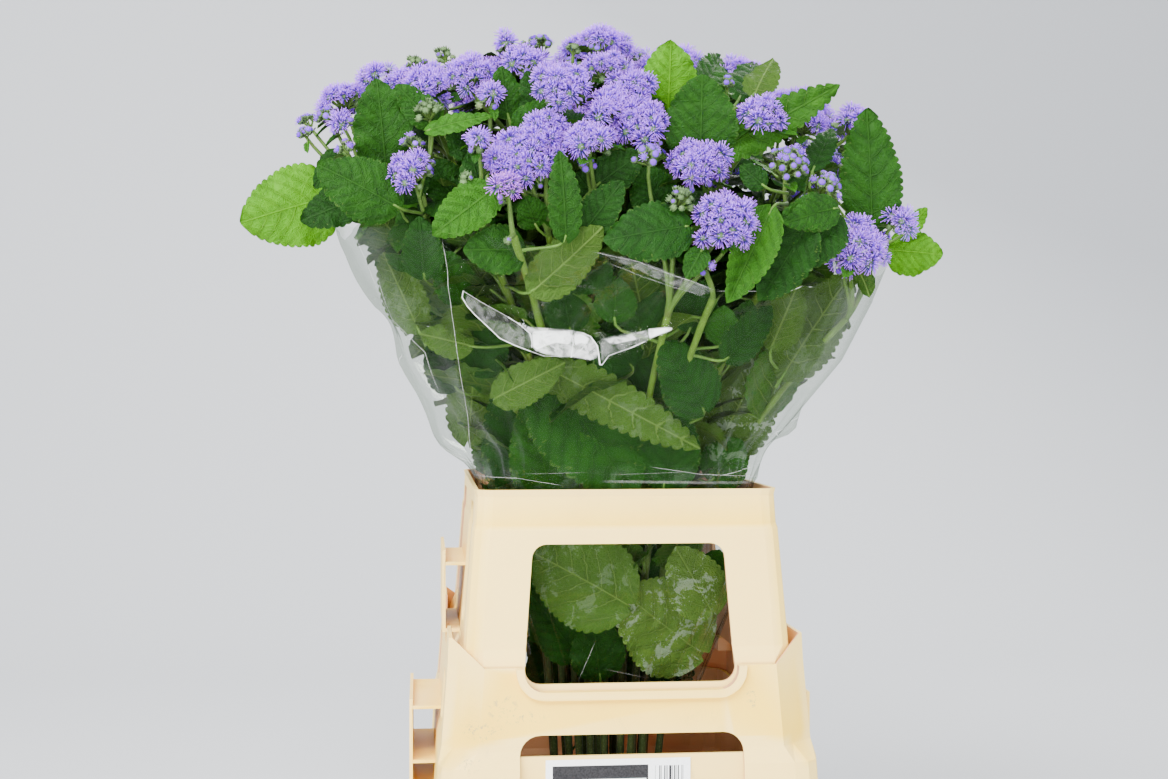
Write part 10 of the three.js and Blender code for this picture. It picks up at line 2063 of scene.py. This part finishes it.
    def film_at(x, y):
        d = (fx - x) ** 2 + (fy - y) ** 2
        near = np.argsort(d)[:4]
        w = 1 / (d[near] + 0.05)
        return (fq[near] * w[:, None]).sum(axis=0) / w.sum()
    ends = [(r[0], r[1]) for r in CREASES] + [(r[2], r[3]) for r in CREASES]
    creases = [(film_at(*r[:2]), film_at(*r[2:4]), r[4], r[5], ends.count((r[0], r[1])) > 1, ends.count((r[2], r[3])) > 1) for r in CREASES]
    soup = Soup()
    uvx, uvy = np.meshgrid(np.arange(cols) / cols, f[:, 0])
    quad = grid_quads(rows, cols, True)
    U = np.stack([uvx, uvy], -1).reshape(-1, 2)
    qu = U[quad].copy()
    qu[..., 0] = np.where((qu[..., 0] < 0.001) & (quad % cols == 0)[..., :] & (qu[..., 0].max(axis=1, keepdims=True) > 0.9), 1.0, qu[..., 0])
    soup.add(Q.reshape(-1, 3), quad=quad, mat=0, uv=(np.zeros((0, 2)), qu.reshape(-1, 2)), mark=mark.reshape(-1, 3))
    ob = soup.build("film_sleeve", [film_material(creases)])
    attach(ob, "root")
    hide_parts("sleeve")


def film_material(creases):
    k = Nodes("clear_film")
    co = k.node("TexCoord").outputs["Object"]
    x, y, z = k.split(co)
    streak = k.noise(k.join(k.math("MULTIPLY", x, 150.0), k.math("MULTIPLY", y, 150.0), k.math("MULTIPLY", z, 14.0)), 1.0, 4.0, 0.7)
    fine = k.noise(co, 55.0, 3.0, 0.6, dist=0.4)
    bump = k.bump(k.math("ADD", k.math("MULTIPLY", streak, 0.5), fine), 0.35, 0.0016)
    gl = k.node("BsdfGlossy")
    k.put(gl.inputs["Color"], (1.0, 1.0, 1.0, 1))
    k.put(gl.inputs["Roughness"], 0.09)
    k.put(gl.inputs["Normal"], bump)
    fr = k.node("Fresnel")
    fr.inputs["IOR"].default_value = 1.42
    k.put(fr.inputs["Normal"], bump)
    tp = k.node("BsdfTransparent")
    # seen edge on, the film takes more of the light
    k.put(tp.inputs["Color"], k.mix(k.ramp(fr.outputs[0], 0.06, 0.5), (0.935, 0.955, 0.93), (0.66, 0.70, 0.65)))
    white_diffuse = k.node("BsdfDiffuse")
    k.put(white_diffuse.inputs["Color"], (0.95, 0.97, 0.98, 1))
    # creases: white lines on its face, each through two points; whitened folds, and painted highlights at a glint and
    # round the pocket's ledge
    p = k.scale(co, 1000.0)
    front = k.math("LESS_THAN", y, 0.02)
    whitening_and_glare = None
    for a, b, wide, much, joined_a, joined_b in creases:
        if np.linalg.norm(b - a) < 0.5:
            continue
        along = unit(b - a)
        out = vec((a + b)[0] * 0.35, (a + b)[1], 0)
        across = unit(np.cross(along, unit(out)))
        d = k.math("ABSOLUTE", k.math("SUBTRACT", k.dot(p, across), float(across @ a)))
        s = k.dot(p, along)
        s0, s1 = float(along @ a), float(along @ b)
        fade = min(12.0, 0.4 * (s1 - s0))
        fa, fb = (0.4 if joined_a else fade), (0.4 if joined_b else fade)
        m = k.math("MULTIPLY", k.ramp(d, 0.25 * wide, wide * 0.8, 1, 0), k.math("MULTIPLY", k.ramp(s, s0 - 0.4, s0 - 0.4 + fa), k.ramp(s, s1 + 0.4, s1 + 0.4 - fb)))
        m = k.math("MULTIPLY", m, much)
        whitening_and_glare = m if whitening_and_glare is None else k.math("MAXIMUM", whitening_and_glare, m)
    patchiness = k.ramp(k.noise(co, 260.0, 2.0, 0.6), 0.3, 0.6, 0.6, 1.0)
    whitening_and_glare = k.math("MULTIPLY", whitening_and_glare, patchiness)
    # painted highlights of the glaring film, and one faint hazy band, from the outlines given per vertex and broken up
    # by noise
    solid, half, faint = k.split(k.attr("mark"))
    crumple = k.noise(co, 120.0, 2.0, 0.6, dist=0.8)
    solid = k.math("MULTIPLY", k.ramp(solid, -0.9, 1.2), k.ramp(crumple, 0.3, 0.55, 0.62, 0.95))
    half = k.math("MULTIPLY", k.ramp(half, -0.7, 0.9), k.ramp(crumple, 0.35, 0.65, 0.14, 0.6))
    faint = k.math("MULTIPLY", k.ramp(faint, -0.7, 0.9), k.ramp(crumple, 0.35, 0.65, 0.02, 0.12))
    whitening_and_glare = k.math("MAXIMUM", k.math("MAXIMUM", whitening_and_glare, solid), k.math("MAXIMUM", half, faint))
    whitening_and_glare = k.math("MULTIPLY", whitening_and_glare, front)
    # cloudy where it is gathered at the mouth of the collar
    gather = k.math("MULTIPLY", k.ramp(k.math("ABSOLUTE", k.math("SUBTRACT", z, 0.411)), 0.0, 0.014, 1, 0), k.ramp(fine, 0.45, 0.6))
    cloud = k.math("MAXIMUM", k.ramp(streak, 0.6, 0.76, 0.0, 0.004), k.math("MULTIPLY", gather, 0.012))
    # the white lines and shapes, partly whitened film and partly painted highlight, take the white diffuse shader
    cloud = k.math("MAXIMUM", cloud, k.math("MULTIPLY", whitening_and_glare, 0.85))
    base = k.shade(cloud, tp.outputs[0], white_diffuse.outputs[0])
    f = k.math("MINIMUM", k.math("MULTIPLY_ADD", fr.outputs[0], 1.6, -0.046, clamp=True), 0.08)
    return k.surface(k.shade(f, base, gl.outputs[0]))


camera()
studio()
plants()
holder()
film()
